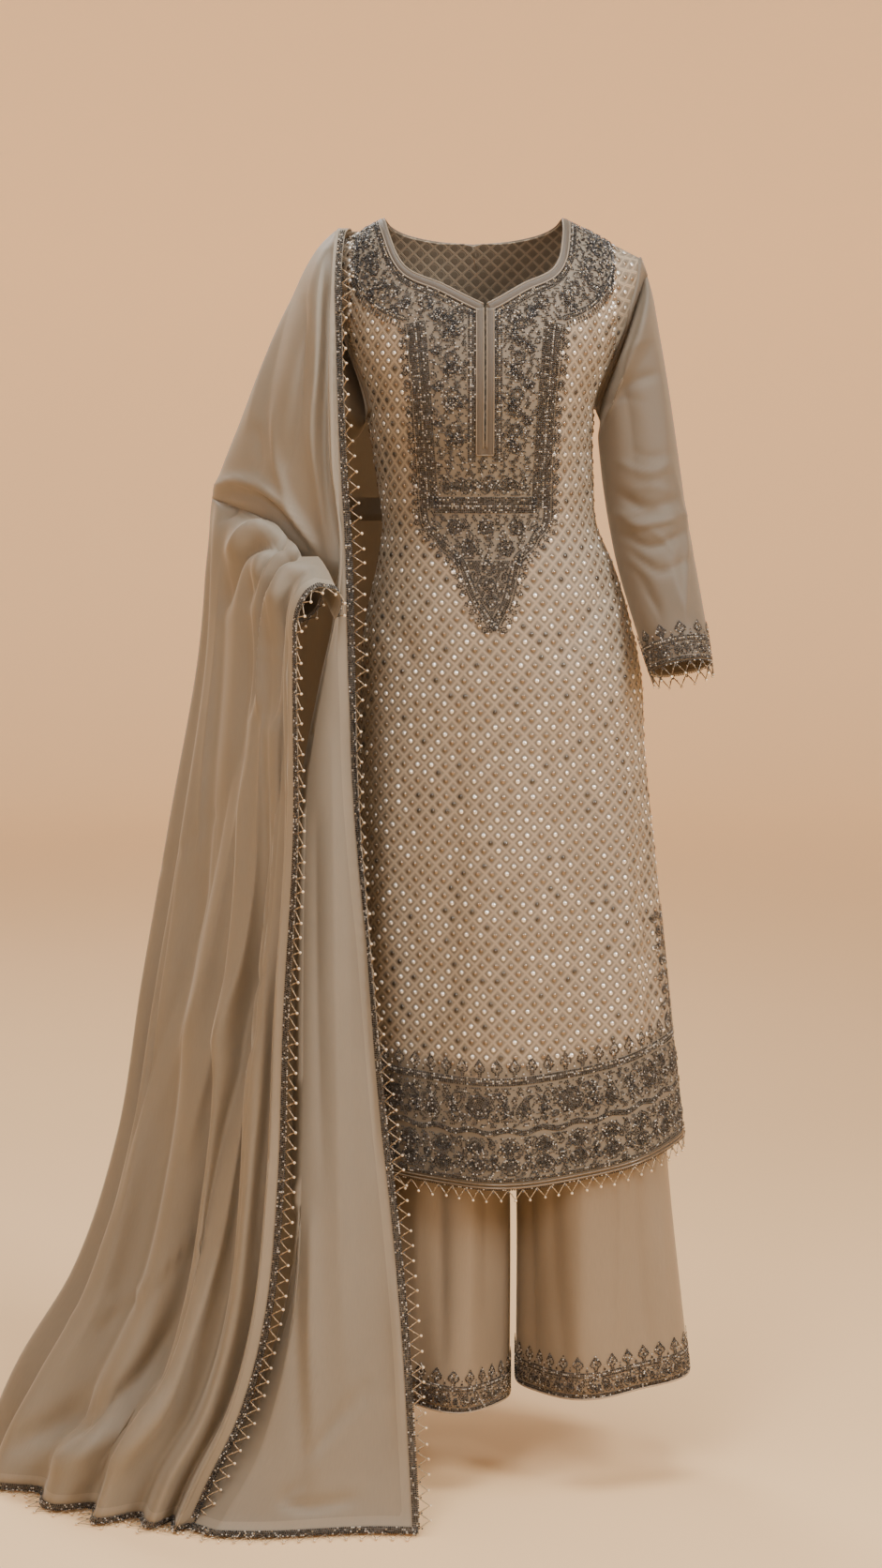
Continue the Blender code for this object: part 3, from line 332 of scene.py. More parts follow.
def kameez_point(x, height, side, top_gap=0.0):
    """A point of the kameez's outer face. side is "front" or "back"."""
    across = (x - BODY_AT["centre"](height)) / BODY_AT["half_width"](height)
    across = min(max(across, -1), 1)
    oval = math.sqrt(1 - across**2)
    drop = min(max(shoulder_line(x) - height, 0) / SHOULDER_ROLL, 1)
    depth = BODY_AT[side](height) * oval * math.sqrt(1 - (1 - drop) ** 2)
    loose = 1 - smooth((height - HEM_FRONT) / (1.0 - HEM_FRONT))
    depth += KAMEEZ_FOLD * loose * oval * math.cos(BODY_FOLDS * math.asin(across) + FOLD_START)
    depth += PANEL_GAP + top_gap
    return place(x, -depth if side == "front" else depth, height)


def armhole(hand, share):
    """A point of the armhole seam, as x and height. hand is 1 on the wearer's left, -1 on the right."""
    tip = SHOULDER_X + hand * ARMHOLE[-1].reach
    reach = ARMHOLE_AT(blend(ARMPIT, ARMHOLE[-1].height, share))
    return SHOULDER_X + hand * reach, blend(ARMPIT, shoulder_line(tip), share)


def neck_edge(hand, line):
    """A point of a neckline. It leans from the slit over to the neck's own middle."""
    lean = (line.height - NECK_NOTCH) / (NECK_POINT_HEIGHT - NECK_NOTCH)
    return blend(SLIT_X, NECK_X, lean) + hand * line.half_width, line.height


def side_edge(hand, height):
    """The kameez's side: its seam, and below the side slit an edge that stands off it."""
    opened = max(SIDE_SLIT - height, 0) / (SIDE_SLIT - HEM_FRONT)
    turn = math.radians(90 - SIDE_SLIT_ANGLE * opened)
    return BODY_AT["centre"](height) + hand * BODY_AT["half_width"](height) * math.sin(turn)


def middle(height):
    """The front's middle: the body's own, and above the waist the slit's line."""
    share = smooth((height - 0.90) / (SLIT_BOTTOM - 0.90))
    return blend(BODY_AT["centre"](height), SLIT_X, share)


def lifted(x, height):
    """The height at x of a row: the rows near the hem follow its curve."""
    near_hem = 1 - smooth((height - HEM_FRONT) / HEM_LIFT_REACH)
    return height + HEM_CURVE * (x - HEM_LOW_X) ** 2 * near_hem


def spaced(start, end, reaches, parts):
    """Points from start to end: at these reaches from the start, then at these parts of the rest."""
    start = np.array(start)
    span = np.array(end) - start
    length = np.linalg.norm(span)
    rest = length - reaches[-1]
    reaches = [0, *reaches, *(reaches[-1] + rest * part for part in parts)]
    return [start + span * reach / length for reach in reaches]


def front_row(hand, row):
    """Half a row of the front as (x, height), from the middle out."""
    parts = SIDE_COLUMNS
    if row < len(LOWER_ROWS):
        height = LOWER_ROWS[row]
        start = (middle(height) + hand * SLIT_WIDTH / 2 * (row > SLIT_ROW), height)
        end = (side_edge(hand, height), height)
        parts = [math.sin(part * math.pi / 2) for part in parts]
    elif row < NOTCH_ROW:
        start = (SLIT_X + hand * SLIT_WIDTH / 2, SLIT_HEIGHTS[row - len(LOWER_ROWS)])
        end = armhole(hand, FRONT_SHARES[row - len(LOWER_ROWS)])
    else:
        start = neck_edge(hand, NECKLINE[row - NOTCH_ROW])
        end = armhole(hand, FRONT_SHARES[row - len(LOWER_ROWS)])
    if row > NOTCH_ROW:
        length = math.hypot(end[0] - start[0], end[1] - start[1])
        return spaced(start, end, [BINDING_WIDTH] + [length * share for share in NECK_SHARES], parts)
    return spaced(start, end, [*YOKE_COLUMNS, YOKE_AT(start[1])], parts)


def back_row(hand, row):
    """Half a row of the back as (x, height), from the middle out."""
    parts = BACK_COLUMNS
    step = row - len(LOWER_ROWS)
    if step < 0:
        height = LOWER_ROWS[row]
        start = (middle(height), height)
        end = (side_edge(hand, height), height)
        parts = [math.sin(part * math.pi / 2) for part in parts]
    elif step < len(BACK_HEIGHTS):
        start = (blend(SLIT_X, NECK_X, step / len(BACK_HEIGHTS)), BACK_HEIGHTS[step])
        end = armhole(hand, BACK_SHARES[step])
    else:
        line = BACK_NECKLINE[step - len(BACK_HEIGHTS)]
        start = (NECK_X + hand * line.half_width, line.height)
        end = armhole(hand, BACK_SHARES[step])
    return spaced(start, end, [BINDING_WIDTH], parts)


def sleeve_grid(hand, rings, sides):
    """A sleeve's rings of points. Each starts at its outer side and goes round by the front."""
    half = sides // 2
    first = []
    for i in range(sides + 1):
        share = 1 - i / half if i <= half else i / half - 1
        x, height = armhole(hand, share)
        point = kameez_point(x, height, "front" if i <= half else "back")
        first.append(point + np.array((hand * ARMHOLE_GAP, 0, 0)))
    grid = [first]
    centres = [(np.array(ring.outer) + np.array(ring.inner)) / 2 for ring in rings]
    for i, ring in enumerate(rings):
        path = centres[min(i + 1, len(rings) - 1)] - centres[max(i - 1, 0)]
        across = (np.array(ring.outer) - np.array(ring.inner)) / 2
        forward = np.cross(across, path) * hand
        forward *= ring.half_depth / np.linalg.norm(forward)
        line = []
        for j in range(sides + 1):
            turn = 2 * math.pi * j / sides
            x, y, height = centres[i] + across * math.cos(turn) + forward * math.sin(turn)
            line.append(place(x, y, height))
        grid.append(line)
    return np.array(grid)


def leg_point(hand, height, turn, hem):
    """A point of a leg. turn goes round from the inseam by the front, from 0 to 1."""
    leg = LEG_AT[hand]
    inner = leg["inner"](height)
    outer = leg["outer"](height)
    angle = 2 * math.pi * turn
    depth = leg["front"](height) if turn < 0.5 else leg["back"](height)
    deep = TROUSER_FOLD * (1 - smooth((height - hem) / LEG_FOLD_REACH)) * math.sin(angle / 2)
    fold = 1 + deep / depth * math.cos(LEG_FOLDS * angle)
    x = blend(inner, outer, 0.5 - 0.5 * math.cos(angle) * fold)
    return np.array((x, -depth * math.sin(angle) * fold, height))


def seat_point(hand, height, turn):
    """A point of the seat's half on one side, from the front's middle round to the back's."""
    depth = SEAT_AT["front"](height) if turn < 0.5 else SEAT_AT["back"](height)
    x = SEAT_AT["centre"](height) + hand * SEAT_AT["half_width"](height) * math.sin(math.pi * turn)
    return np.array((x + hand * SEAM / 2, -depth * math.cos(math.pi * turn), height))


def wrap_point(share, height):
    """A point of the wrap: share goes round from the fall's fold, by the outer side, to the back."""
    rising = [row.height for row in FRONT_FALL[:FALL_CREST + 1]]
    along = np.interp(height, rising, range(len(rising)))
    front = (FALL_AT["fold"](along), -FALL_AT["forward"](along) + WRAP_BEHIND)
    around = [front] + [tuple(WRAP_AT[name](height)) for name in ("bulge", "outer", "rear", "back")]
    section = hermite((0, 0.25, 0.5, 0.75, 1), around)
    here = section(share)
    ahead = section(min(share + 0.01, 1)) - section(max(share - 0.01, 0))
    outward = np.array((ahead[1], -ahead[0])) / np.linalg.norm(ahead)
    lean = WRAP_FOLD_ROUND * share + WRAP_FOLD_DOWN * (WRAP_TOP - height)
    calm = math.sin(math.pi * share) * smooth((WRAP_TOP - height) / WRAP_CALM)
    return here - outward * WRAP_FOLD * calm * math.sin(lean)


def skirt_fold(along, height):
    """How far the skirt's fold stands out, as a wave whose crests are unevenly spaced."""
    phase = np.interp(along, SKIRT_CRESTS, range(len(SKIRT_CRESTS)))
    deep = blend(SKIRT_FOLD_HEM, SKIRT_FOLD_TOP, smooth(height / SKIRT_FOLD_HEIGHT))
    uneven = 1 - SKIRT_UNEVEN + SKIRT_UNEVEN * math.cos(SKIRT_UNEVEN_TURN * phase)
    return deep * smooth(along / SKIRT_EDGE) * math.cos(2 * math.pi * phase) * uneven


def skirt_point(along, height):
    """A point of the fall over the forearm. along goes from its free edge round to the back."""
    top = RIDGE_AT["height"](along)
    names = ("edge", "first", "second", "outer", "third", "fourth", "back")
    section = hermite(np.linspace(0, 1, len(names)), [SKIRT_AT[name](height) for name in names])
    ahead = section(min(along + 0.01, 1)) - section(max(along - 0.01, 0))
    outward = np.array((ahead[1], -ahead[0])) / np.linalg.norm(ahead)
    here = section(along) - outward * skirt_fold(along, height)
    around = smooth((along - ELBOW + ELBOW_TURN) / ELBOW_TURN_OVER)
    joined = around * smooth((height - JOIN_HEIGHT) / (top - JOIN_HEIGHT))
    if joined > 0:
        wrap_share = 0.5 + 0.5 * (along - ELBOW - JOIN_START) / (1 - JOIN_START - ELBOW)
        here = blend(here, wrap_point(min(max(wrap_share, 0), 1), height), joined)
    rolled = math.sqrt(1 - (1 - min((top - height) / RIDGE_ROLL, 1)) ** 2)
    ridge = np.array((RIDGE_AT["x"](along), RIDGE_AT["y"](along)))
    return blend(ridge, here, blend(rolled, 1, around))


def inner_point(along, drop):
    """A point of the short layer that hangs from the ridge on its inner side, by the wrist."""
    ridge = np.array([RIDGE_AT[name](along) for name in ("x", "y", "height")])
    away = ridge[:2] - skirt_point(along, 1.0)
    away /= np.linalg.norm(away)
    rolled = math.sqrt(1 - (1 - min(drop / INNER_REACH, 1)) ** 2)
    x, y = ridge[:2] + away * INNER_REACH * rolled + np.array(INNER_DRIFT) * drop
    return place(x, y, ridge[2] - drop)


# Finer sizes of the visual cloth
PANEL_ROW_STEP = 0.009
PANEL_PARTS = 4
PLACKET_HALF = 0.0098
PLACKET_END = 1.2335
SLEEVE_ROW_PARTS = {1: 14, -1: 8}
LEG_COLUMNS = 120
LEG_ROW_STEP = 0.016
FALL_LINES = 165
FALL_LINE_COLUMNS = 40
FALL_LINE_TURNED = 14
WRAP_LINES = 60
WRAP_LINE_COLUMNS = 110
SKIRT_LINES = 66
WELD = 0.00002
LATTICE_WIDE = 0.0170
LATTICE_HIGH = 0.0180


def refined(grid, parts, curved=True):
    """A grid with more rows: each gap between rows gets this many parts."""
    grid = np.array(grid, float)
    keys = np.arange(len(grid))
    fine = np.linspace(0, len(grid) - 1, (len(grid) - 1) * parts + 1)
    if curved:
        at = hermite(keys, grid.reshape(len(grid), -1))
        return np.array([at(key) for key in fine]).reshape(len(fine), *grid.shape[1:])
    flat = grid.reshape(len(grid), -1)
    made = np.stack([np.interp(fine, keys, flat[:, k]) for k in range(flat.shape[1])], axis=1)
    return made.reshape(len(fine), *grid.shape[1:])


def between(field, i, j, s, t):
    """A value of a field s of the way on from row i, and t of the way on from column j."""
    low = field[i, j] * (1 - t) + field[i, j + 1] * t
    high = field[i + 1, j] * (1 - t) + field[i + 1, j + 1] * t
    return low * (1 - s) + high * s


class Chart:
    """A cloth's flat coordinates, in metres, and where they lie on the worn cloth."""

    def __init__(self, across, along, points, away_from):
        self.across = np.asarray(across, float)
        self.along = np.asarray(along, float)
        self.points = np.asarray(points, float)
        found = normals(self.points)
        outward = np.sum(found * (self.points - np.array(away_from)))
        self.outward = found * (1 if outward > 0 else -1)

    def at(self, u, v, lift=0.0):
        """Points and outward directions at flat coordinates u and v, lifted off the cloth."""
        u = np.clip(np.asarray(u, float), self.across[0], self.across[-1])
        v = np.clip(np.asarray(v, float), self.along[0], self.along[-1])
        j = np.clip(np.searchsorted(self.across, u, "right") - 1, 0, len(self.across) - 2)
        i = np.clip(np.searchsorted(self.along, v, "right") - 1, 0, len(self.along) - 2)
        s = ((u - self.across[j]) / (self.across[j + 1] - self.across[j]))[..., None]
        t = ((v - self.along[i]) / (self.along[i + 1] - self.along[i]))[..., None]

        out = between(self.outward, i, j, t, s)
        out /= np.maximum(np.linalg.norm(out, axis=-1, keepdims=True), 1e-9)
        return between(self.points, i, j, t, s) + out * np.asarray(lift)[..., None], out


LOOKS = {}


def new_piece(name, points, faces, look, flat=None, smooth_faces=True):
    """A named mesh at the origin. flat gives each point's UV in metres."""
    mesh = bpy.data.meshes.new(name)
    points = np.asarray(points, float)
    faces = np.asarray(faces, np.int32)
    corners = faces.shape[1]
    mesh.vertices.add(len(points))
    mesh.vertices.foreach_set("co", points.ravel())
    mesh.loops.add(faces.size)
    mesh.loops.foreach_set("vertex_index", faces.ravel())
    mesh.polygons.add(len(faces))
    mesh.polygons.foreach_set("loop_start", np.arange(0, faces.size, corners, dtype=np.int32))
    mesh.update(calc_edges=True)
    mesh.validate()
    if flat is not None:
        layer = mesh.uv_layers.new(name="Flat")
        order = np.empty(len(mesh.loops), np.int32)
        mesh.loops.foreach_get("vertex_index", order)
        layer.data.foreach_set("uv", np.asarray(flat, float)[order].ravel())
    if smooth_faces:
        mesh.shade_smooth()
    mesh.materials.append(look)
    piece = bpy.data.objects.new(name, mesh)
    bpy.context.scene.collection.objects.link(piece)
    return piece


def faced_out(points, faces, away_from):
    """Quads turned so that they face away from a point inside the hollow."""
    corner = points[faces]
    turn = np.cross(corner[:, 2] - corner[:, 0], corner[:, 3] - corner[:, 1])
    inwards = np.sum(turn * (corner.mean(axis=1) - np.array(away_from))) < 0
    return faces[:, ::-1] if inwards else faces


def cloth_piece(name, nodes, look, slot, wall, grid, uv, inside, keep=None, ground=None, **sheet):
    """A cloth's shell: the grid is its outer face and its wall goes in. keep marks the cells it has.
    """
    rows, columns = grid.shape[:2]
    index = np.arange(rows * columns).reshape(rows, columns)
    cells = np.stack([index[:-1, :-1], index[:-1, 1:], index[1:, 1:], index[1:, :-1]], axis=-1)
    cells = cells if keep is None else cells[keep]
    points = grid.reshape(-1, 3)
    used, faces = np.unique(faced_out(points, cells.reshape(-1, 4), inside), return_inverse=True)
    piece = new_piece(name, points[used], faces.reshape(-1, 4), LOOKS[look], uv.reshape(-1, 2)[used])
    if ground is not None:
        layer = piece.data.attributes.new("Ground", "FLOAT", "POINT")
        layer.data.foreach_set("value", np.asarray(ground, np.float32).ravel()[used])
    shape = bmesh.new()
    shape.from_mesh(piece.data)
    bmesh.ops.remove_doubles(shape, verts=shape.verts, dist=WELD)
    shape.to_mesh(piece.data)
    shape.free()
    solid = piece.modifiers.new("Wall", "SOLIDIFY")
    solid.thickness = wall
    solid.offset = -1
    bpy.ops.object.select_all(action="DESELECT")
    bpy.context.view_layer.objects.active = piece
    piece.select_set(True)
    bpy.ops.object.modifier_apply(modifier=solid.name)
    piece.select_set(False)
    worn(piece, slot, *nodes)


def worn(piece, slot, *nodes):
    """The piece is attached to the suit's root and hides the CAD nodes that it stands for. slot is not used.
    """
    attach(piece, "root")
    if nodes:
        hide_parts(*nodes)


def frames_on(out, ahead):
    """Three unit directions for each point: along, across and out."""
    along = ahead - out * np.sum(ahead * out, axis=-1, keepdims=True)
    size = np.linalg.norm(along, axis=-1, keepdims=True)
    fallback = np.cross(out, np.array((0.0, 1.0, 0.0)))
    along = np.where(size > 1e-6, along / np.maximum(size, 1e-9), fallback)
    return along, np.cross(out, along), out


# One bead, low on its cloth: five sides, a top and a flat underside. x runs along it
BEAD_SIDES = 5
BEAD_POINTS = np.array(
    [(0.0, 0.0, 1.0)]
    + [(math.cos(2 * math.pi * k / BEAD_SIDES), math.sin(2 * math.pi * k / BEAD_SIDES), 0.05)
       for k in range(BEAD_SIDES)])
BEAD_FACES = np.array(
    [(0, 1 + k, 1 + (k + 1) % BEAD_SIDES) for k in range(BEAD_SIDES)]
    + [(1, 2 + k, 1 + k) for k in range(1, BEAD_SIDES - 1)])
DISC_SIDES = 7
DISC_TURNS = 2 * math.pi * (np.arange(DISC_SIDES) + 0.5) / DISC_SIDES
DISC_RIM = np.stack([np.cos(DISC_TURNS), np.sin(DISC_TURNS)], axis=1)


def repeated(shape, faces, centres, directions, sizes):
    """Points and faces of one small shape set at many places, with its size along, across and out."""
    along, across, out = directions
    scaled = shape[None, :, :] * sizes[:, None, :]
    points = (centres[:, None, :] + scaled[..., 0:1] * along[:, None, :]
              + scaled[..., 1:2] * across[:, None, :] + scaled[..., 2:3] * out[:, None, :])
    offsets = np.arange(len(centres)) * len(shape)
    return points.reshape(-1, 3), (faces[None] + offsets[:, None, None]).reshape(-1, faces.shape[1])


def tint(piece, tones):
    """Gives each point its own colour, as an attribute that its material reads."""
    layer = piece.data.color_attributes.new("Tone", "FLOAT_COLOR", "POINT")
    layer.data.foreach_set("color", np.concatenate([tones, np.ones((len(tones), 1))], axis=1).ravel())


# Beading. Flat coordinates are metres across and along the cloth
BEAD = 0.0024
BEAD_TALL = 0.0010
BUGLE_LONG = 0.0046
BEAD_LIFT = 0.0011
AHEAD = 0.0008
DARK = (0.018, 0.019, 0.022)
SMOKE = (0.085, 0.087, 0.090)
EARTH = (0.150, 0.140, 0.125)
GOLD = (0.44, 0.36, 0.25)
SILVER = (0.62, 0.60, 0.56)
PEARL = (0.72, 0.60, 0.44)
# How often a bead of each tone comes up in dark work, and in the bright lines round it
DARK_WORK = ((DARK, 0.57), (SMOKE, 0.31), (GOLD, 0.03), (SILVER, 0.09))
BRIGHT_LINE = ((SILVER, 0.10), (GOLD, 0.06), (SMOKE, 0.38), (DARK, 0.46))
GOLD_LINE = ((GOLD, 0.24), (SILVER, 0.32), (SMOKE, 0.44))
GROUND_WORK = ((DARK, 0.42), (SMOKE, 0.40), (EARTH, 0.14), (SILVER, 0.04))

Bead = namedtuple("Bead", "u v turn long wide tall tone")


def oval_shape(long, wide, count=20):
    turns = np.linspace(0, 2 * math.pi, count, endpoint=False)
    return np.stack([long / 2 * np.cos(turns), wide / 2 * np.sin(turns)], axis=1)


def leaf_shape(long, wide, bend=0.0, count=22):
    """A pointed leaf from its stalk at the origin, along +x, bending to one side."""
    share = np.linspace(0, 1, count // 2)
    half = wide / 2 * np.sin(math.pi * share ** 0.8) ** 0.9
    spine = bend * long * share ** 2
    top = np.stack([long * share, spine + half], axis=1)
    low = np.stack([long * share, spine - half], axis=1)[1:-1][::-1]
    return np.concatenate([top, low])


def flower_shape(radius, petals, depth=0.26, count=48):
    turns = np.linspace(0, 2 * math.pi, count, endpoint=False)
    reach = radius * (1 - depth + depth * np.abs(np.cos(petals * turns / 2)))
    return np.stack([reach * np.cos(turns), reach * np.sin(turns)], axis=1)


def drop_shape(long, wide):
    """A spade-shaped bud on a short stalk, standing along +x."""
    return np.array([(0.0, 0.10), (0.22, 0.14), (0.30, 0.42), (0.42, 0.50), (0.56, 0.44), (0.74, 0.24),
                     (1.0, 0.0), (0.74, -0.24), (0.56, -0.44), (0.42, -0.50), (0.30, -0.42),
                     (0.22, -0.14), (0.0, -0.10)]) * (long, wide)


def vase_shape(long, wide):
    """Two buds joined at a narrow waist, standing along +x."""
    half = np.array([(0.0, 0.16), (0.08, 0.38), (0.20, 0.50), (0.32, 0.40), (0.43, 0.16), (0.50, 0.09),
                     (0.58, 0.18), (0.70, 0.42), (0.82, 0.46), (0.92, 0.30), (1.0, 0.02)])
    return np.concatenate([half, (half * (1, -1))[::-1]]) * (long, wide)


def comma_shape(long, wide):
    """A curled bud, as on a shawl, from its round end to a tip that bends over."""
    half = [(0.0, 0.0), (0.06, 0.30), (0.22, 0.47), (0.42, 0.47), (0.60, 0.34), (0.78, 0.30), (0.94, 0.42),
            (1.0, 0.62), (1.02, 0.34), (0.92, 0.06), (0.72, -0.16), (0.50, -0.36), (0.28, -0.46),
            (0.10, -0.30)]
    return np.array(half) * (long, wide)


def scroll_line(radius, turns=1.25, count=16):
    share = np.linspace(0, 1, count)
    angle = 2 * math.pi * turns * share
    reach = radius * (1 - 0.78 * share)
    return np.stack([reach * np.cos(angle), reach * np.sin(angle)], axis=1)


def turned(shape, u, v, degrees, flip=1):
    """A shape moved to u and v, after it is mirrored and turned."""
    shape = np.asarray(shape) * (1, flip)
    c, s = math.cos(math.radians(degrees)), math.sin(math.radians(degrees))
    return shape @ np.array(((c, s), (-s, c))) + (u, v)


def inside_shape(points, shape):
    """Which points lie in a closed outline."""
    x, y = points[:, 0:1], points[:, 1:2]
    ax, ay = shape[:, 0], shape[:, 1]
    bx, by = np.roll(ax, -1), np.roll(ay, -1)
    over = (ay > y) != (by > y)
    cut = ax + (y - ay) * (bx - ax) / np.where(by == ay, 1e-12, by - ay)
    return (np.sum(over & (x < cut), axis=1) % 2).astype(bool)


class Beading:
    """Beads sewn in lines and fills, kept in flat coordinates until they are set on their cloth."""

    def __init__(self, seed):
        self.random = random.Random(seed)
        self.beads = []

    def tone(self, mix):
        pick = self.random.random() * sum(part for _, part in mix)
        for colour, part in mix:
            pick -= part
            if pick <= 0:
                break
        shade = self.random.uniform(0.75, 1.25)
        return tuple(channel * shade for channel in colour)

    def add(self, u, v, turn, mix, size=BEAD, long=None, tall=BEAD_TALL):
        shake = size * 0.07
        u += self.random.uniform(-shake, shake)
        v += self.random.uniform(-shake, shake)
        size *= self.random.uniform(0.88, 1.08)
        self.beads.append(Bead(u, v, turn, (long or size) / 2, size / 2, tall, self.tone(mix)))

    def line(self, points, mix, pitch=BEAD, size=BEAD, closed=False):
        """Beads threaded along a line."""
        points = np.asarray(points, float)
        if closed:
            points = np.concatenate([points, points[:1]])
        steps = np.linalg.norm(np.diff(points, axis=0), axis=1)
        far = np.concatenate([[0], np.cumsum(steps)])
        count = max(int(round(far[-1] / pitch)), 1)
        for k in range(count if closed else count + 1):
            mark = far[-1] * k / count
            i = min(int(np.searchsorted(far, mark, "right")) - 1, len(steps) - 1)
            way = points[i + 1] - points[i]
            u, v = points[i] + way * (mark - far[i]) / max(steps[i], 1e-9)
            self.add(u, v, math.atan2(way[1], way[0]), mix, size)

    def fill(self, shape, degrees):
        """Rows of beads side by side inside an outline."""
        low, high = shape.min(axis=0), shape.max(axis=0)
        count = int((np.linalg.norm(high - low) / 2 + BEAD) / BEAD)
        marks = np.arange(-count, count + 1)
        rows, places = np.meshgrid(marks, marks, indexing="ij")
        u = (places + 0.5 * (rows % 2)) * BEAD
        v = rows * BEAD * 0.92
        points = turned(np.stack([u.ravel(), v.ravel()], axis=1), *(low + high) / 2, degrees)
        for u, v in points[inside_shape(points, shape)]:
            self.add(u, v, math.radians(degrees), DARK_WORK)

    def worked(self, shape, degrees=0.0):
        """A filled form inside a bright outline."""
        middle = shape.mean(axis=0)
        self.line(shape, BRIGHT_LINE, closed=True)
        reach = np.linalg.norm(shape - middle, axis=1)
        inner = middle + (shape - middle) * (1 - 0.85 * BEAD / np.maximum(reach, 2 * BEAD))[:, None]
        self.fill(inner, degrees)

    def rosette(self, u, v, radius, petals=6):
        outline = turned(flower_shape(radius, petals), u, v, self.random.uniform(0, 60))
        self.line(outline, BRIGHT_LINE, closed=True)
        ring = radius - 1.15 * BEAD
        while ring > 0.9 * BEAD:
            self.line(turned(oval_shape(2 * ring, 2 * ring), u, v, 0), DARK_WORK, closed=True)
            ring -= 1.05 * BEAD
        self.add(u, v, 0, GOLD_LINE, 1.25 * BEAD, tall=1.4 * BEAD_TALL)

    def sprig(self, u, v, degrees, long, leaves):
        """A curved stem with pairs of small leaves and a bud."""
        share = np.linspace(0, 1, 9)
        stem = np.stack([long * share, 0.16 * long * np.sin(math.pi * share)], axis=1)
        self.line(turned(stem, u, v, degrees), DARK_WORK, size=0.8 * BEAD, pitch=0.9 * BEAD)
        for k in range(leaves):
            base = stem[2 + 2 * k]
            for side in (1, -1):
                leaf = turned(leaf_shape(0.0085, 0.0044), *base, side * 52)
                self.worked(turned(leaf, u, v, degrees), degrees + side * 52)
        bud = turned(leaf_shape(0.0095, 0.0062), *stem[-1], -8)
        self.worked(turned(bud, u, v, degrees), degrees)

    def finial(self, u, v, long, wide):
        self.line(turned(drop_shape(long, wide), u, v, 90), DARK_WORK, closed=True)
        inner = turned(leaf_shape(long * 0.50, wide * 0.46), u, v, 90)
        self.line(inner + (0, long * 0.30), GOLD_LINE, closed=True, size=0.9 * BEAD)
        self.add(u, v + long * 0.45, 0, DARK_WORK, 1.2 * BEAD)

    def ground(self, low, high, inside=lambda u, v: True, scale=0.0125, open_at=-0.02):
        """Works small curled clusters into the ground between what is already there."""
        tree = KDTree(len(self.beads))
        for k, bead in enumerate(self.beads):
            tree.insert((bead.u, bead.v, 0), k)
        tree.balance()
        marks = [(u, v) for row, v in enumerate(np.arange(low[1], high[1], BEAD * 0.90))
                 for u in np.arange(low[0] + BEAD / 2 * (row % 2), high[0], BEAD)]
        for u, v in marks:
            wave = math.sin(2 * math.pi * (u / scale + 0.35 * math.sin(2.7 * v / scale))) * math.sin(
                5.0 * v / scale + 0.9 * math.sin(2.0 * u / scale))
            if wave > open_at and inside(u, v) and tree.find((u, v, 0))[2] > 0.92 * BEAD:
                self.add(u, v, 0, DARK_WORK if wave > open_at + 0.12 else GROUND_WORK, 0.94 * BEAD)

    def set_on(self, name, chart, *nodes):
        """Sews the beads to their cloth as one piece."""
        table = np.array([bead[:6] for bead in self.beads])
        u, v, turn = table[:, :3].T
        centres, out = chart.at(u, v, BEAD_LIFT)
        step_u, step_v = AHEAD * np.cos(turn), AHEAD * np.sin(turn)
        way = chart.at(u + step_u, v + step_v, BEAD_LIFT)[0] - chart.at(u - step_u, v - step_v, BEAD_LIFT)[0]
        points, faces = repeated(BEAD_POINTS, BEAD_FACES, centres, frames_on(out, way), table[:, 3:])
        piece = new_piece(name, points, faces, LOOKS["bead"])
        tint(piece, np.repeat([bead.tone for bead in self.beads], len(BEAD_POINTS), axis=0))
        worn(piece, "beadwork", *nodes)


# Flat charts of the worn cloth
CHART_STEP = 0.006
GIRTH_SAMPLES = 121
ROLL_START = 1.34
ROLL_SAMPLES = 60


def gone(points):
    """The way gone along a line of points, from its start."""
    return np.concatenate([[0], np.cumsum(np.linalg.norm(np.diff(points, axis=0), axis=1))])


def extended(marks, far, values):
    """np.interp that goes straight on past its ends."""
    found = np.interp(marks, far, values)
    first = (values[1] - values[0]) / (far[1] - far[0])
    last = (values[-1] - values[-2]) / (far[-1] - far[-2])
    found = np.where(marks < far[0], values[0] + (marks - far[0]) * first, found)
    return np.where(marks > far[-1], values[-1] + (marks - far[-1]) * last, found)


def looked_up(table, i, j):
    """A value between the entries of a table."""
    i = np.clip(i, 0, table.shape[0] - 1.001)
    j = np.clip(j, 0, table.shape[1] - 1.001)
    a, b = i.astype(int), j.astype(int)
    return between(table, a, b, i - a, j - b)


def panel_edge(hand, height):
    """How far out a panel reaches: to its side seam, and above that to its armhole."""
    if height < ARMPIT:
        return side_edge(hand, height)
    top = shoulder_line(SHOULDER_X + hand * ARMHOLE[-1].reach)
    return armhole(hand, min((height - ARMPIT) / (top - ARMPIT), 1))[0]


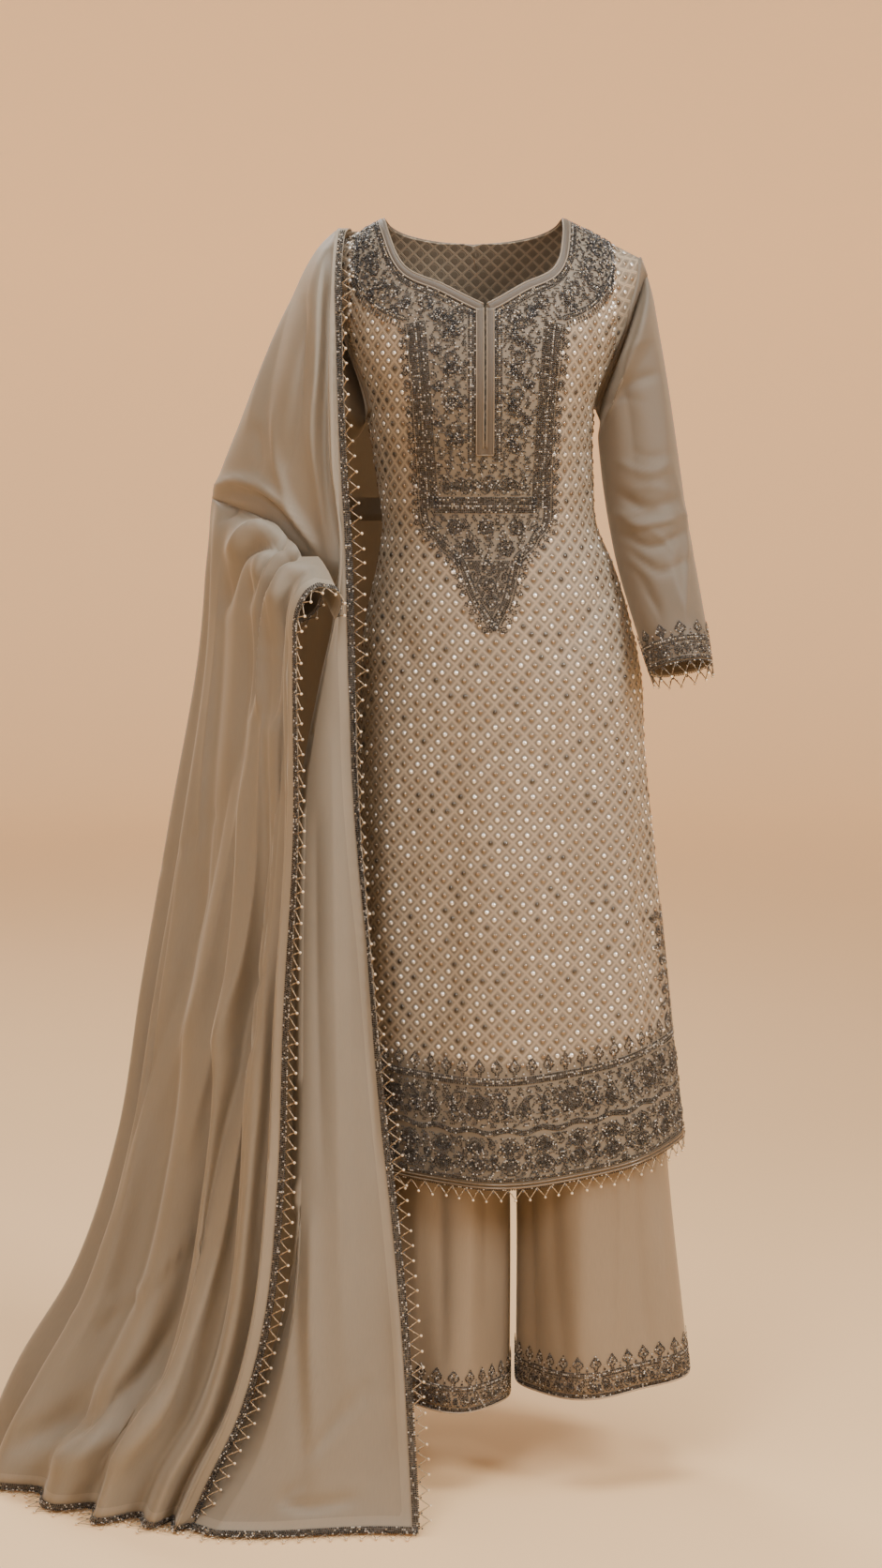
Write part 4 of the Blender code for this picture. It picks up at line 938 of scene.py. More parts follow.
class Panel:
    """The front or back of the kameez: its flat coordinates and its chart.

    Across is the way round from the middle. Along is the height up to where the shoulder starts to
    roll over, and from there the way gone up the cloth.
    """

    def __init__(self, side):
        self.side = side
        self.heights = np.arange(0.350, ROLL_START + 1e-6, CHART_STEP)
        self.turns = np.linspace(-math.pi / 2, math.pi / 2, GIRTH_SAMPLES)
        reach = np.arange(-0.30, 0.3001, CHART_STEP)
        rows = []
        far_rows = []
        for height in self.heights:
            line = np.array([kameez_point(self.x_at(turn, height), height, side) for turn in self.turns])
            far = gone(line)
            far -= np.interp(middle(height), line[:, 0], far)
            far_rows.append(far)
            rows.append(np.stack([extended(reach, far, line[:, axis]) for axis in range(3)], axis=1))
        self.far = np.array(far_rows)
        far = self.far[-1]
        xs = np.interp(reach, far, line[:, 0]) + reach - np.clip(reach, far[0], far[-1])
        self.columns = np.linspace(xs[0], xs[-1], 80)
        self.rises = np.linspace(0, 1, ROLL_SAMPLES)
        lines = [self.roll_line(x) for x in self.columns]
        self.climbs = np.array([gone(line) for line in lines])
        ups = np.arange(CHART_STEP, 0.270, CHART_STEP)
        for up in ups:
            row = np.array([[extended(np.array([up]), climb, line[:, axis])[0] for axis in range(3)]
                            for climb, line in zip(self.climbs, lines)])
            rows.append(np.stack([np.interp(xs, self.columns, row[:, axis]) for axis in range(3)], axis=1))
        along = np.concatenate([self.heights, ROLL_START + ups])
        self.chart = Chart(reach, along, self.pressed(np.array(rows)), INSIDE_KAMEEZ)

    def pressed(self, grid):
        """A grid of the panel with its soft folds, which leave the side seams alone."""
        seen = seen_from_front(grid)
        marks = np.linspace(self.heights[0], ROLL_START, 60)
        centre = np.interp(seen[..., 1], marks, [float(BODY_AT["centre"](h)) for h in marks])
        half = np.interp(seen[..., 1], marks, [float(BODY_AT["half_width"](h)) for h in marks])
        calm = np.clip((1 - np.abs(seen[..., 0] - centre) / half) / 0.10, 0, 1)
        seen = seen * (1 if self.side == "front" else -0.92, 1)
        return creased(grid, seen, KAMEEZ_CREASES, INSIDE_KAMEEZ, calm)

    def x_at(self, turn, height):
        return float(BODY_AT["centre"](height) + BODY_AT["half_width"](height) * math.sin(turn))

    def roll_line(self, x):
        top = shoulder_line(x)
        return np.array([kameez_point(x, blend(ROLL_START, top, rise), self.side) for rise in self.rises])

    def flat(self, x, height):
        """The flat coordinates of a point of the worn panel."""
        x, height = np.atleast_1d(np.asarray(x, float)), np.atleast_1d(np.asarray(height, float))
        level = np.minimum(height, ROLL_START)
        centre = np.array([float(BODY_AT["centre"](h)) for h in level])
        half = np.array([float(BODY_AT["half_width"](h)) for h in level])
        turn = np.arcsin(np.clip((x - centre) / half, -1, 1))
        over = x - centre - np.clip(x - centre, -half, half)
        step = self.turns[1] - self.turns[0]
        u = looked_up(self.far, (level - self.heights[0]) / CHART_STEP, (turn - self.turns[0]) / step) + over
        tops = NECK_POINT_HEIGHT - SHOULDER_SLOPE * np.maximum(np.abs(x - NECK_X) - NECK_HALF_WIDTH, 0)
        rise = np.clip((height - ROLL_START) / (tops - ROLL_START), 0, 1)
        place_in = (x - self.columns[0]) / (self.columns[1] - self.columns[0])
        climb = looked_up(self.climbs, place_in, rise * (ROLL_SAMPLES - 1))
        return u, np.where(height > ROLL_START, ROLL_START + climb, height)

    def lines(self):
        """The panel as fine rows of (x, height), from the wearer's right to left, and its open cells."""
        half_row = front_row if self.side == "front" else back_row
        shares = FRONT_SHARES if self.side == "front" else BACK_SHARES
        top = len(LOWER_ROWS) + len(shares) - 1
        breaks = (0, SLIT_ROW, NOTCH_ROW, top) if self.side == "front" else (0, len(LOWER_ROWS) - 1, top)
        halves = []
        for hand in (-1, 1):
            rows = np.array([half_row(hand, row) for row in range(top + 1)])
            fine = []
            for start, end in zip(breaks[:-1], breaks[1:]):
                height = rows[end, 0, 1] - rows[start, 0, 1]
                parts = max(int(height / (end - start) / PANEL_ROW_STEP), 3)
                made = refined(rows[start:end + 1], parts)
                fine.append(made if start == 0 else made[1:])
            fine = np.concatenate(fine)
            for row in fine:
                start, end = row[0, 0], row[-1, 0]
                share = (row[:, 0] - start) / (end - start)
                row[:, 0] = start + share * (panel_edge(hand, row[-1, 1]) - start)
            fine = fine.transpose(1, 0, 2)
            halves.append(refined(fine, PANEL_PARTS, curved=False).transpose(1, 0, 2))
        lines = np.concatenate([halves[0][:, ::-1], halves[1]], axis=1)
        keep = np.ones((lines.shape[0] - 1, lines.shape[1] - 1), bool)
        keep[:, halves[0].shape[1] - 1] = False
        return lines, keep

    def cloth(self):
        """The worn points of the panel, their flat coordinates, and which cells it keeps."""
        lines, keep = self.lines()
        grid = np.empty((*lines.shape[:2], 3))
        heights = np.empty(lines.shape[:2])
        for i, row in enumerate(lines):
            top_gap = SHOULDER_GAP * smooth((i - len(lines) + 10) / 10)
            for j, (x, height) in enumerate(row):
                heights[i, j] = lifted(x, height)
                grid[i, j] = kameez_point(x, heights[i, j], self.side, top_gap)
        u, v = self.flat(lines[..., 0].ravel(), heights.ravel())
        return self.pressed(grid), np.stack([u, v], axis=1).reshape(*lines.shape[:2], 2), keep


def even_border(grid, rows_along, away_from):
    """A chart that starts at a grid's first row and goes the same way up each column of it."""
    grid = np.asarray(grid)
    marks = np.asarray(rows_along)
    points = np.empty((len(marks), grid.shape[1], 3))
    for j in range(grid.shape[1]):
        far = gone(grid[:, j])
        for axis in range(3):
            points[:, j, axis] = extended(marks, far, grid[:, j, axis])
    return Chart(gone(grid[0]), marks, points, away_from)


# The yoke's beaded field in flat coordinates: how far it reaches each side of the slit
YOKE_FIELD = metres((
    (1030, 2), (1042, 9.5), (1056, 18), (1072, 24.5), (1092, 31), (1108, 36), (1117, 44), (1127, 56),
    (1137, 62), (1146, 72), (1156, 77), (1172, 79), (1200, 80), (1260, 84.5), (1320, 88), (1372, 92),
    (1388, 95)))
# The bib's outer edge, from the side of the yoke round to the shoulder, as x and height
BIB_EDGE = metres(((93, 1386), (108, 1392), (126, 1402), (142, 1420), (150, 1442), (150, 1470), (140, 1490)))
BIB_TOP = 1.75
BAND = 0.024
INNER_BAND = 0.010
NECK_BAND = 0.0095
CROSS_BAND = (1.166, 1.184)
PIPING = 0.0011


def point_at(line, far, mark):
    """The point of a line after this much of its way. far is the way gone at each of its points."""
    return np.array([np.interp(mark, far, line[:, axis]) for axis in (0, 1)])


def bib_line(panel, hand, count):
    """The bib's outer edge on one side, in flat coordinates."""
    edge = curve_through(BIB_EDGE, count)
    u, v = panel.flat(SHOULDER_X + hand * edge[:, 0], edge[:, 1])
    return np.stack([u, v], axis=1)


def curve_through(points, count):
    """A smooth line through a few points."""
    points = np.asarray(points, float)
    at = hermite(np.arange(len(points)), points)
    return np.array([at(key) for key in np.linspace(0, len(points) - 1, count)])


def offset_line(line, distance):
    """A line moved to its left."""
    way = np.gradient(np.asarray(line), axis=0)
    way /= np.maximum(np.linalg.norm(way, axis=1, keepdims=True), 1e-9)
    return line + np.stack([-way[:, 1], way[:, 0]], axis=1) * distance


def neck_line(hand, panel, reach=0.0):
    """The front neckline in flat coordinates, from the notch up, moved off the neck by reach."""
    points = np.array([neck_edge(hand, line) for line in NECKLINE])
    points = curve_through(points, 60)
    u, v = panel.flat(points[:, 0], np.minimum(points[:, 1], 1.5065))
    return offset_line(np.stack([u, v], axis=1), -hand * reach)


def banded(beading, line, width, hand, mix=DARK_WORK, gold_at=(), scallop=0.0):
    """Close rows of beads along a line, to its right for hand 1. Some rows are gold."""
    rows = max(int(round(width / BEAD)), 1)
    for row in range(rows):
        beading.line(offset_line(line, -hand * (row + 0.5) * BEAD), GOLD_LINE if row in gold_at else mix)
    if scallop:
        edge = offset_line(line, -hand * (rows + 0.2) * BEAD)
        far = gone(edge)
        for mark in np.arange(scallop / 2, far[-1], scallop):
            i = min(int(np.searchsorted(far, mark)), len(edge) - 2)
            way = edge[i + 1] - edge[i]
            turn = math.degrees(math.atan2(way[1], way[0])) - 90 * hand
            petal = turned(leaf_shape(0.0072, 0.0064), edge[i][0], edge[i][1], turn)
            beading.line(petal, BRIGHT_LINE, closed=True)
            beading.add(*petal.mean(axis=0), 0, DARK_WORK)


def yoke_beading(panel):
    """All the beading of the yoke and the bib round the neck, in flat coordinates."""
    work = Beading(11)
    field = np.array(YOKE_FIELD)
    slit = float(panel.flat(SLIT_X, 1.30)[0][0])

    def reach(height):
        return float(np.interp(height, field[:, 0], field[:, 1]))

    for hand in (-1, 1):
        side = np.array([(slit + hand * reach(h), h) for h in np.arange(1.172, 1.386, 0.006)])
        banded(work, side, BAND, -hand, gold_at=(4,))
        side = offset_line(side, hand * -0.4 * BEAD)
        banded(work, side, BEAD, hand, scallop=0.0098)
        point = curve_through([(slit + hand * r, h) for h, r in YOKE_FIELD[:12]], 80)
        banded(work, point, 4 * BEAD, -hand, gold_at=(2,))
        banded(work, offset_line(point, hand * -0.4 * BEAD), BEAD, hand, scallop=0.0112)
        placket = slit + hand * (PLACKET_HALF + 0.0006)
        inner = np.array([(placket, h) for h in np.arange(1.226, 1.402, 0.006)])
        banded(work, inner, INNER_BAND, hand, gold_at=(2,))
        neck = neck_line(hand, panel, BINDING_WIDTH + 0.0006)
        banded(work, neck, NECK_BAND, hand, gold_at=(1,))
        outer = bib_line(panel, hand, 50)
        banded(work, outer, 3 * BEAD, -hand, gold_at=(1,))
        far = gone(outer)
        for mark in np.arange(0.003, far[-1], 0.0042):
            at = point_at(outer, far, mark)
            ahead = point_at(outer, far, mark + 0.002) - at
            turn = math.atan2(ahead[1], ahead[0]) - hand * math.pi / 2
            for step, size in ((0.0032, 1.0), (0.0072, 0.85)):
                work.add(at[0] + step * math.cos(turn), at[1] + step * math.sin(turn), turn, DARK_WORK,
                         size * BEAD * 0.9, long=BUGLE_LONG * size)
        bib_motifs(work, panel, hand, neck, outer)
        for k, height in enumerate(np.arange(1.200, 1.395, 0.0205)):
            if height < 1.228:
                continue
            centre = slit + hand * (reach(height) - BAND + PLACKET_HALF + INNER_BAND) / 2
            if k % 2:
                work.rosette(centre - hand * 0.004, height, 0.0092)
                work.sprig(centre + hand * 0.006, height + 0.003, 90 - hand * 35, 0.018, 2)
            else:
                work.sprig(centre + hand * 0.008, height - 0.004, 90 + hand * 55, 0.026, 3)
                leaf = leaf_shape(0.013, 0.0075, 0.15)
                work.worked(turned(leaf, centre - hand * 0.012, height + 0.002, 90 - hand * 20, hand), 60)
    low = np.array([(u, CROSS_BAND[0]) for u in np.arange(slit - 0.060, slit + 0.0601, 0.004)])
    banded(work, low, CROSS_BAND[1] - CROSS_BAND[0], -1, gold_at=(3,))
    for k, u in enumerate(np.linspace(-0.044, 0.044, 5)):
        comma = comma_shape(0.021 - 0.003 * (k % 2), 0.013)
        work.worked(turned(comma, slit + u, CROSS_BAND[1] + 0.0045, 90, 1 if u < 0 else -1), 90)
    for u in np.linspace(-0.033, 0.033, 4):
        work.rosette(slit + u, CROSS_BAND[1] + 0.0150, 0.0058, 5)
    for height, places in ((1.150, (-0.036, 0.0, 0.036)), (1.126, (-0.022, 0.022)), (1.103, (0.0,)),
                           (1.082, (0.0,)), (1.064, (0.0,))):
        for u in places:
            work.rosette(slit + u, height, 0.0100 if height > 1.11 else 0.0088, 6)
    for height, places in ((1.140, (-0.018, 0.018)), (1.152, (-0.054, 0.054)), (1.112, (-0.034, 0.034, 0.0)),
                           (1.092, (-0.017, 0.017))):
        for u in places:
            work.worked(turned(leaf_shape(0.0130, 0.0080), slit + u, height - 0.006, 90 - 600 * u), 90)

    def in_field(u, v):
        if abs(u - slit) < PLACKET_HALF and v > PLACKET_END - BEAD:
            return False
        return v < 1.40 and abs(u - slit) < reach(v) - BEAD and v > 1.038

    work.ground((slit - 0.08, 1.035), (slit + 0.08, 1.112), in_field, open_at=-1.1)
    work.ground((slit - 0.10, 1.112), (slit + 0.10, 1.40), in_field)
    shapes = []
    for hand in (-1, 1):
        neck = neck_line(hand, panel, BINDING_WIDTH + NECK_BAND)
        shapes.append(np.concatenate([neck, bib_line(panel, hand, 50)[::-1]]))

    def in_bib(u, v):
        at = np.array([(u, v)])
        return bool(inside_shape(at, shapes[0])[0] or inside_shape(at, shapes[1])[0])

    work.ground((-0.20, 1.36), (0.19, 1.66), in_bib)
    return work


def bib_motifs(work, panel, hand, neck, outer):
    """Rosettes, sprigs and scrolls in the bib, between the neck's band and its outer edge."""
    inner = offset_line(neck, -hand * NECK_BAND)
    inner_far, outer_far = gone(inner), gone(outer)
    for k, share in enumerate(np.linspace(0.10, 0.97, 11)):
        a = point_at(inner, inner_far, share * inner_far[-1])
        b = point_at(outer, outer_far, max(share - 0.28, 0) / 0.72 * outer_far[-1])
        if share < 0.30:
            b = a + np.array((hand * 0.010, -0.026))
        gap = b - a
        turn = math.degrees(math.atan2(gap[1], gap[0]))
        if k % 2 == 0:
            work.rosette(*(a + gap * 0.34), 0.0098, 6)
            if np.linalg.norm(gap) > 0.034:
                work.worked(turned(leaf_shape(0.012, 0.0075), *(a + gap * 0.58), turn + 25 * hand), turn)
        else:
            work.sprig(*(a + gap * 0.12), turn, min(max(np.linalg.norm(gap) * 0.55, 0.016), 0.028), 3)
            if np.linalg.norm(gap) > 0.034:
                work.rosette(*(a + gap * 0.80), 0.0068, 5)


# Borders, in flat coordinates that start at the cloth's edge
HEM_TALL = 0.134
FINIAL_PITCH = 0.0212
VASE_PITCH = 0.043


def hem_beading(work, width):
    """The kameez's hem: vases and leaves, a wavy band, rosettes and sprigs, a band and finials."""
    straight = np.array([(u, 0.0) for u in np.arange(0.002, width - 0.001, 0.003)])
    work.line(straight + (0, 0.0092), DARK_WORK)
    work.line(straight + (0, 0.0118), BRIGHT_LINE)
    count = max(int(round(width / VASE_PITCH)), 1)
    for k in range(count):
        u = (k + 0.5) * width / count
        work.worked(turned(vase_shape(0.044, 0.025), u, 0.0165, 90), 90)
        for hand in (-1, 1):
            work.worked(turned(leaf_shape(0.0105, 0.0062), u + hand * 0.0145, 0.022, 90 - hand * 30), 90)
            work.worked(turned(leaf_shape(0.0100, 0.0056), u + hand * 0.0140, 0.040, 90 + hand * 28), 90)
        edge = k * width / count
        work.rosette(edge + 0.001, 0.0365, 0.0050, 5)
        work.worked(turned(comma_shape(0.0125, 0.0085), edge, 0.0475, 90, 1 if k % 2 else -1), 90)
    wave = np.array([(u, 0.0655 + 0.0022 * math.sin(2 * math.pi * u / VASE_PITCH)) for u, _ in straight])
    for row, mix in enumerate((BRIGHT_LINE, DARK_WORK, DARK_WORK)):
        work.line(wave + (0, row * BEAD), mix)
    count = max(int(round(width / 0.058)), 1)
    for k in range(count):
        u = (k + 0.5) * width / count
        if k % 2:
            work.rosette(u, 0.097, 0.0162, 8)
            for degrees in (35, 145, 215, 325):
                c, s = math.cos(math.radians(degrees)), math.sin(math.radians(degrees))
                leaf = turned(leaf_shape(0.0105, 0.0064), u + 0.0185 * c, 0.097 + 0.0185 * s, degrees)
                work.worked(leaf, degrees)
        else:
            work.worked(turned(comma_shape(0.030, 0.019), u - 0.004, 0.0795, 84, 1 if k % 4 else -1), 70)
            work.sprig(u - 0.012, 0.080, 118, 0.030, 3)
            work.sprig(u + 0.013, 0.112, -70, 0.028, 3)
        edge = k * width / count
        work.line(turned(scroll_line(0.0085), edge, 0.089, 90), DARK_WORK)
        work.line(turned(scroll_line(0.0080), edge, 0.107, -90), BRIGHT_LINE)
        work.add(edge, 0.098, 0, GOLD_LINE, 1.3 * BEAD)
    for row, mix in enumerate((BRIGHT_LINE, DARK_WORK, GOLD_LINE, DARK_WORK)):
        work.line(straight + (0, 0.1235 + row * BEAD), mix)
    work.ground((0.004, 0.0145), (width - 0.003, 0.062))
    work.ground((0.004, 0.0740), (width - 0.003, 0.1215))
    finials(work, width, HEM_TALL, 0.0195, 0.0130)


def finials(work, width, height, long, wide):
    count = max(int(round(width / FINIAL_PITCH)), 1)
    for k in range(count):
        u = (k + 0.5) * width / count
        work.finial(u, height, long, wide)
        work.add(k * width / count, height + 0.001, 0, DARK_WORK, 1.3 * BEAD)
        work.add(k * width / count, height + 0.0045, 0, GOLD_LINE, 0.9 * BEAD)


def narrow_beading(work, width, base, zone, long, wide):
    """A narrow border for trousers and cuffs: curls between two bands, and finials above."""
    straight = np.array([(u, 0.0) for u in np.arange(0.0012, width - 0.001, 0.003)])
    for row, mix in enumerate((DARK_WORK, BRIGHT_LINE)):
        work.line(straight + (0, base + row * BEAD), mix)
    low = base + 2.4 * BEAD
    count = max(int(round(width / 0.023)), 1)
    for k in range(count):
        u = (k + 0.5) * width / count
        hand = 1 if k % 2 else -1
        work.worked(turned(comma_shape(zone * 0.92, zone * 0.66), u - hand * 0.0015, low, 90, hand), 90)
        work.worked(turned(leaf_shape(zone * 0.52, 0.0052), u + 0.0098, low + 0.001, 90), 90)
        work.add(u + 0.0098, low + zone * 0.78, 0, GOLD_LINE, 1.3 * BEAD)
    top = low + zone + 0.001
    work.ground((0.002, low), (width - 0.002, top - 0.001), scale=0.008, open_at=-0.40)
    for row, mix in enumerate((DARK_WORK, GOLD_LINE, DARK_WORK)):
        work.line(straight + (0, top + row * BEAD), mix)
    finials(work, width, top + 3 * BEAD, long, wide)


def slit_beading(work, tall):
    """The border up the kameez's side slit. Across is the height and along the way in from the edge."""
    line = np.array([(u, 0.0) for u in np.arange(0.135, tall, 0.003)])
    work.line(line + (0, 0.0050), DARK_WORK)
    work.line(line + (0, 0.0074), BRIGHT_LINE)
    for k, u in enumerate(np.arange(0.142, tall - 0.01, 0.0175)):
        far = 0.0075 * (k % 2)
        work.worked(turned(leaf_shape(0.0125, 0.0070, 0.1), u, 0.0105, 58), 58)
        work.worked(turned(leaf_shape(0.0095, 0.0058), u + 0.008, 0.0100, 118), 118)
        work.worked(turned(leaf_shape(0.0140, 0.0080, 0.1), u + 0.002, 0.0225 + far, 70), 70)
        work.worked(turned(leaf_shape(0.0110, 0.0066), u + 0.010, 0.0235, 104), 104)
        if k % 2:
            work.add(u + 0.004, 0.0245, 0, GOLD_LINE, 1.2 * BEAD)


# Bead lace: a zigzag cord with a pearl at each tip
CORD = 0.00062
CORD_SIDES = 5
CORD_TONE = (0.33, 0.245, 0.15)
LACE_LIFT = 0.0006
ZIGZAG_REACH = 0.0138
PEARL_SIZE = 0.0019
PEARL_TURNS = [2 * math.pi * k / 8 for k in range(8)]
PEARL_POINTS = np.array(
    [(0, 0, 1.0)] + [(r * math.cos(turn), r * math.sin(turn), z)
                     for r, z in ((0.62, 0.72), (1.0, 0.0), (0.62, -0.72)) for turn in PEARL_TURNS]
    + [(0, 0, -1.0)])
PEARL_FACES = np.array([face for k in range(8) for n in [(k + 1) % 8] for face in (
    (0, 1 + k, 1 + n), (1 + k, 9 + k, 9 + n), (1 + k, 9 + n, 1 + n), (9 + k, 17 + k, 17 + n),
    (9 + k, 17 + n, 9 + n), (25, 17 + n, 17 + k))])


class LaceWork:
    """Cords, beads and pearls of the laces, gathered into one mesh."""

    def __init__(self, seed):
        self.random = random.Random(seed)
        self.points = []
        self.faces = []
        self.tones = []
        self.count = 0

    def take(self, points, faces, tones):
        """Adds a mesh whose points are shared out evenly between these tones."""
        self.points.append(points)
        self.faces.append(faces + self.count)
        tones = np.reshape(tones, (-1, 3))
        self.tones.append(np.repeat(tones, len(points) // len(tones), axis=0))
        self.count += len(points)

    def cord(self, line, outward, radius, tone):
        """A closed cord along a line of points."""
        _, across, out = frames_on(outward, np.gradient(line, axis=0))
        turns = 2 * math.pi * np.arange(CORD_SIDES) / CORD_SIDES
        rings = (line[:, None] + radius * (np.cos(turns)[None, :, None] * across[:, None]
                                           + np.sin(turns)[None, :, None] * out[:, None]))
        points = np.concatenate([rings.reshape(-1, 3), line[:1], line[-1:]])
        faces = []
        last = (len(line) - 1) * CORD_SIDES
        for k in range(CORD_SIDES):
            n = (k + 1) % CORD_SIDES
            faces += [(last + CORD_SIDES, n, k), (last + CORD_SIDES + 1, last + k, last + n)]
            for i in range(0, last, CORD_SIDES):
                faces += [(i + k, i + n, i + n + CORD_SIDES),
                          (i + k, i + n + CORD_SIDES, i + k + CORD_SIDES)]
        self.take(points, np.array(faces)[:, ::-1], tone)

    def beads(self, centres, outward, ahead, size, tones, shape=BEAD_POINTS, faces=BEAD_FACES):
        sizes = np.full((len(centres), 3), size)
        points, made = repeated(shape, faces, centres, frames_on(outward, ahead), sizes)
        self.take(points, made, tones)

    def edge(self, chart, start=0.0, short=0.0, on_floor=False, reach=ZIGZAG_REACH, cord_tone=CORD_TONE):
        """A zigzag lace along a cloth's edge, from its chart, whose along runs in from the edge.

        It goes from start to this much short of the edge's end.
        """
        end = chart.across[-1] - short
        teeth = max(int(round((end - start) / LACE_PITCH)), 1)
        pitch = (end - start) / teeth

        def at(u, v):
            points, out = chart.at(np.asarray(u), np.asarray(v), LACE_LIFT)
            if on_floor:
                level = np.stack([out[:, 0], out[:, 1], np.zeros(len(out))], axis=1)
                level /= np.maximum(np.linalg.norm(level, axis=1, keepdims=True), 1e-9)
                lowest = -SHOULDER_MOUNT + 0.0024
                below = np.maximum(lowest + 0.002 * (1 + np.asarray(v) / reach) - points[:, 2], 0)
                points = points + level * below[:, None] + np.array((0, 0, 1.0)) * below[:, None]
                flat = (below > 0.001)[:, None]
                out = np.where(flat, np.array((0.0, 0.0, 1.0)) * 0.8 + level * 0.2, out)
            return points, out

        marks = np.arange(start, end, 0.0026)
        points, out = at(marks, np.full(len(marks), -0.0008))
        tones = [DARK if self.random.random() < 0.8 else SILVER for _ in marks]
        self.beads(points, out, np.gradient(points, axis=0), 0.0012, tones)
        for k in range(teeth):
            left, tip, right = start + k * pitch, start + (k + 0.5) * pitch, start + (k + 1) * pitch
            deep = reach * self.random.uniform(0.90, 1.04)
            sway = self.random.uniform(-0.0008, 0.0008)
            share = np.linspace(0, 1, 4)[1:]
            share = np.concatenate([[0], share, 1 - share[:-1], [0]])
            near = np.array([left] * 4 + [right] * 3)
            line, out = at(near + (tip + sway - near) * share, -0.001 - (deep - 0.001) * share)
            self.cord(line, out, CORD, cord_tone)
            mid, out_mid = at([(left + tip) / 2, (tip + right) / 2], [-deep / 2, -deep / 2])
            self.beads(mid, out_mid, mid[1:] - mid[:1] + np.zeros((2, 3)), 0.0011, [GOLD, GOLD])
            sideways = np.array([[1.0, 0.1, 0.0]])
            shade = self.random.uniform(0.7, 1.15)
            self.beads(*at([tip + sway], [-deep - PEARL_SIZE * 0.7]), sideways, PEARL_SIZE,
                       np.multiply(PEARL, shade), PEARL_POINTS, PEARL_FACES)
            self.beads(*at([left], [-0.0042]), sideways, 0.0013, SMOKE)

    def make(self, name, look, slot, *nodes):
        piece = new_piece(name, np.concatenate(self.points), np.concatenate(self.faces), LOOKS[look])
        tint(piece, np.concatenate(self.tones))
        worn(piece, slot, *nodes)


# Materials
TAPE = (0.0085, 0.0190)
TAPE_COVER = 0.94
SMOOTH_STEP = "SMOOTHSTEP"


def node_of(tree, kind, inputs=(), **settings):
    """A shader node with these settings. inputs gives each socket's value or the socket that feeds it."""
    node = tree.nodes.new("ShaderNode" + kind)
    for name, value in settings.items():
        setattr(node, name, value)
    for name, value in dict(inputs).items():
        feed(tree, value, node.inputs[name])
    return node


def feed(tree, value, socket):
    if isinstance(value, bpy.types.NodeSocket):
        tree.links.new(value, socket)
    else:
        socket.default_value = value


def sums(tree, operation, *values, clamp=False):
    """A Math node fed by sockets or numbers."""
    return node_of(tree, "Math", enumerate(values), operation=operation, use_clamp=clamp).outputs[0]


def noise(tree, place_in, scale, detail=2.0):
    return node_of(tree, "TexNoise", {"Vector": place_in, "Scale": scale, "Detail": detail}).outputs[0]


def shaded(tree, colour, value):
    return node_of(tree, "HueSaturation", {"Color": colour, "Value": value}).outputs[0]


def mixed(tree, share, first, second):
    node = node_of(tree, "Mix", {"Factor": share, "A": first, "B": second}, data_type="RGBA")
    return node.outputs["Result"]


def stepped(tree, value, low, high):
    return node_of(tree, "MapRange", {"Value": value, "From Min": low, "From Max": high},
                   interpolation_type=SMOOTH_STEP).outputs[0]


def node_group(name, inputs, outputs):
    """A new shader node group, the sockets that it is given and those that it gives."""
    group = bpy.data.node_groups.new(name, "ShaderNodeTree")
    for label, default in inputs.items():
        kind = {float: "Float", tuple: "Color"}.get(type(default), "Vector")
        socket = group.interface.new_socket(label, in_out="INPUT", socket_type="NodeSocket" + kind)
        if default is not None:
            socket.default_value = default
    for label, kind in outputs.items():
        group.interface.new_socket(label, in_out="OUTPUT", socket_type="NodeSocket" + kind)
    return group, group.nodes.new("NodeGroupInput").outputs, group.nodes.new("NodeGroupOutput").inputs


def weave_group():
    """Cloth at its own scale: threads over and under with painted shade in their hollows, slubs, and a slow
    change of colour, which on the organza is raised into painted sheen.
    """
    group, given, made = node_group(
        "Fine weave",
        {"Flat": None, "Colour": (0.4, 0.3, 0.2, 1), "Thread": 0.00042, "Slub": 0.10, "Mottle": 0.08},
        {"Colour": "Color", "Height": "Float"})
    do = partial(sums, group)
    split = node_of(group, "SeparateXYZ", {0: given["Flat"]}).outputs
    turn = do("DIVIDE", math.pi, given["Thread"])
    warp = do("SINE", do("MULTIPLY", split[0], turn))
    weft = do("SINE", do("MULTIPLY", split[1], turn))
    height = do("MULTIPLY_ADD", do("MULTIPLY", warp, weft), 0.5, 0.5)
    stretched = node_of(group, "Mapping", {"Vector": given["Flat"], "Scale": (900, 60, 1)}).outputs[0]
    slub = noise(group, stretched, 1.0, 3.0)
    uneven = do("MULTIPLY", do("SUBTRACT", slub, 0.5), given["Slub"])
    # A slow change of colour at random. With the organza's larger amount it also stands in for its sheen, as
    # painted sheen.
    patchy_tone_and_sheen = do("MULTIPLY", do("SUBTRACT", noise(group, given["Flat"], 9.0, 4.0), 0.5), given["Mottle"])
    # Each thread is lighter on its crossings and darker between them: painted shade in the weave's hollows.
    value = do("ADD", do("ADD", uneven, patchy_tone_and_sheen), do("MULTIPLY_ADD", height, 0.08, 0.96))
    feed(group, shaded(group, given["Colour"], value), made["Colour"])
    feed(group, do("MULTIPLY_ADD", slub, 0.5, height), made["Height"])
    return group


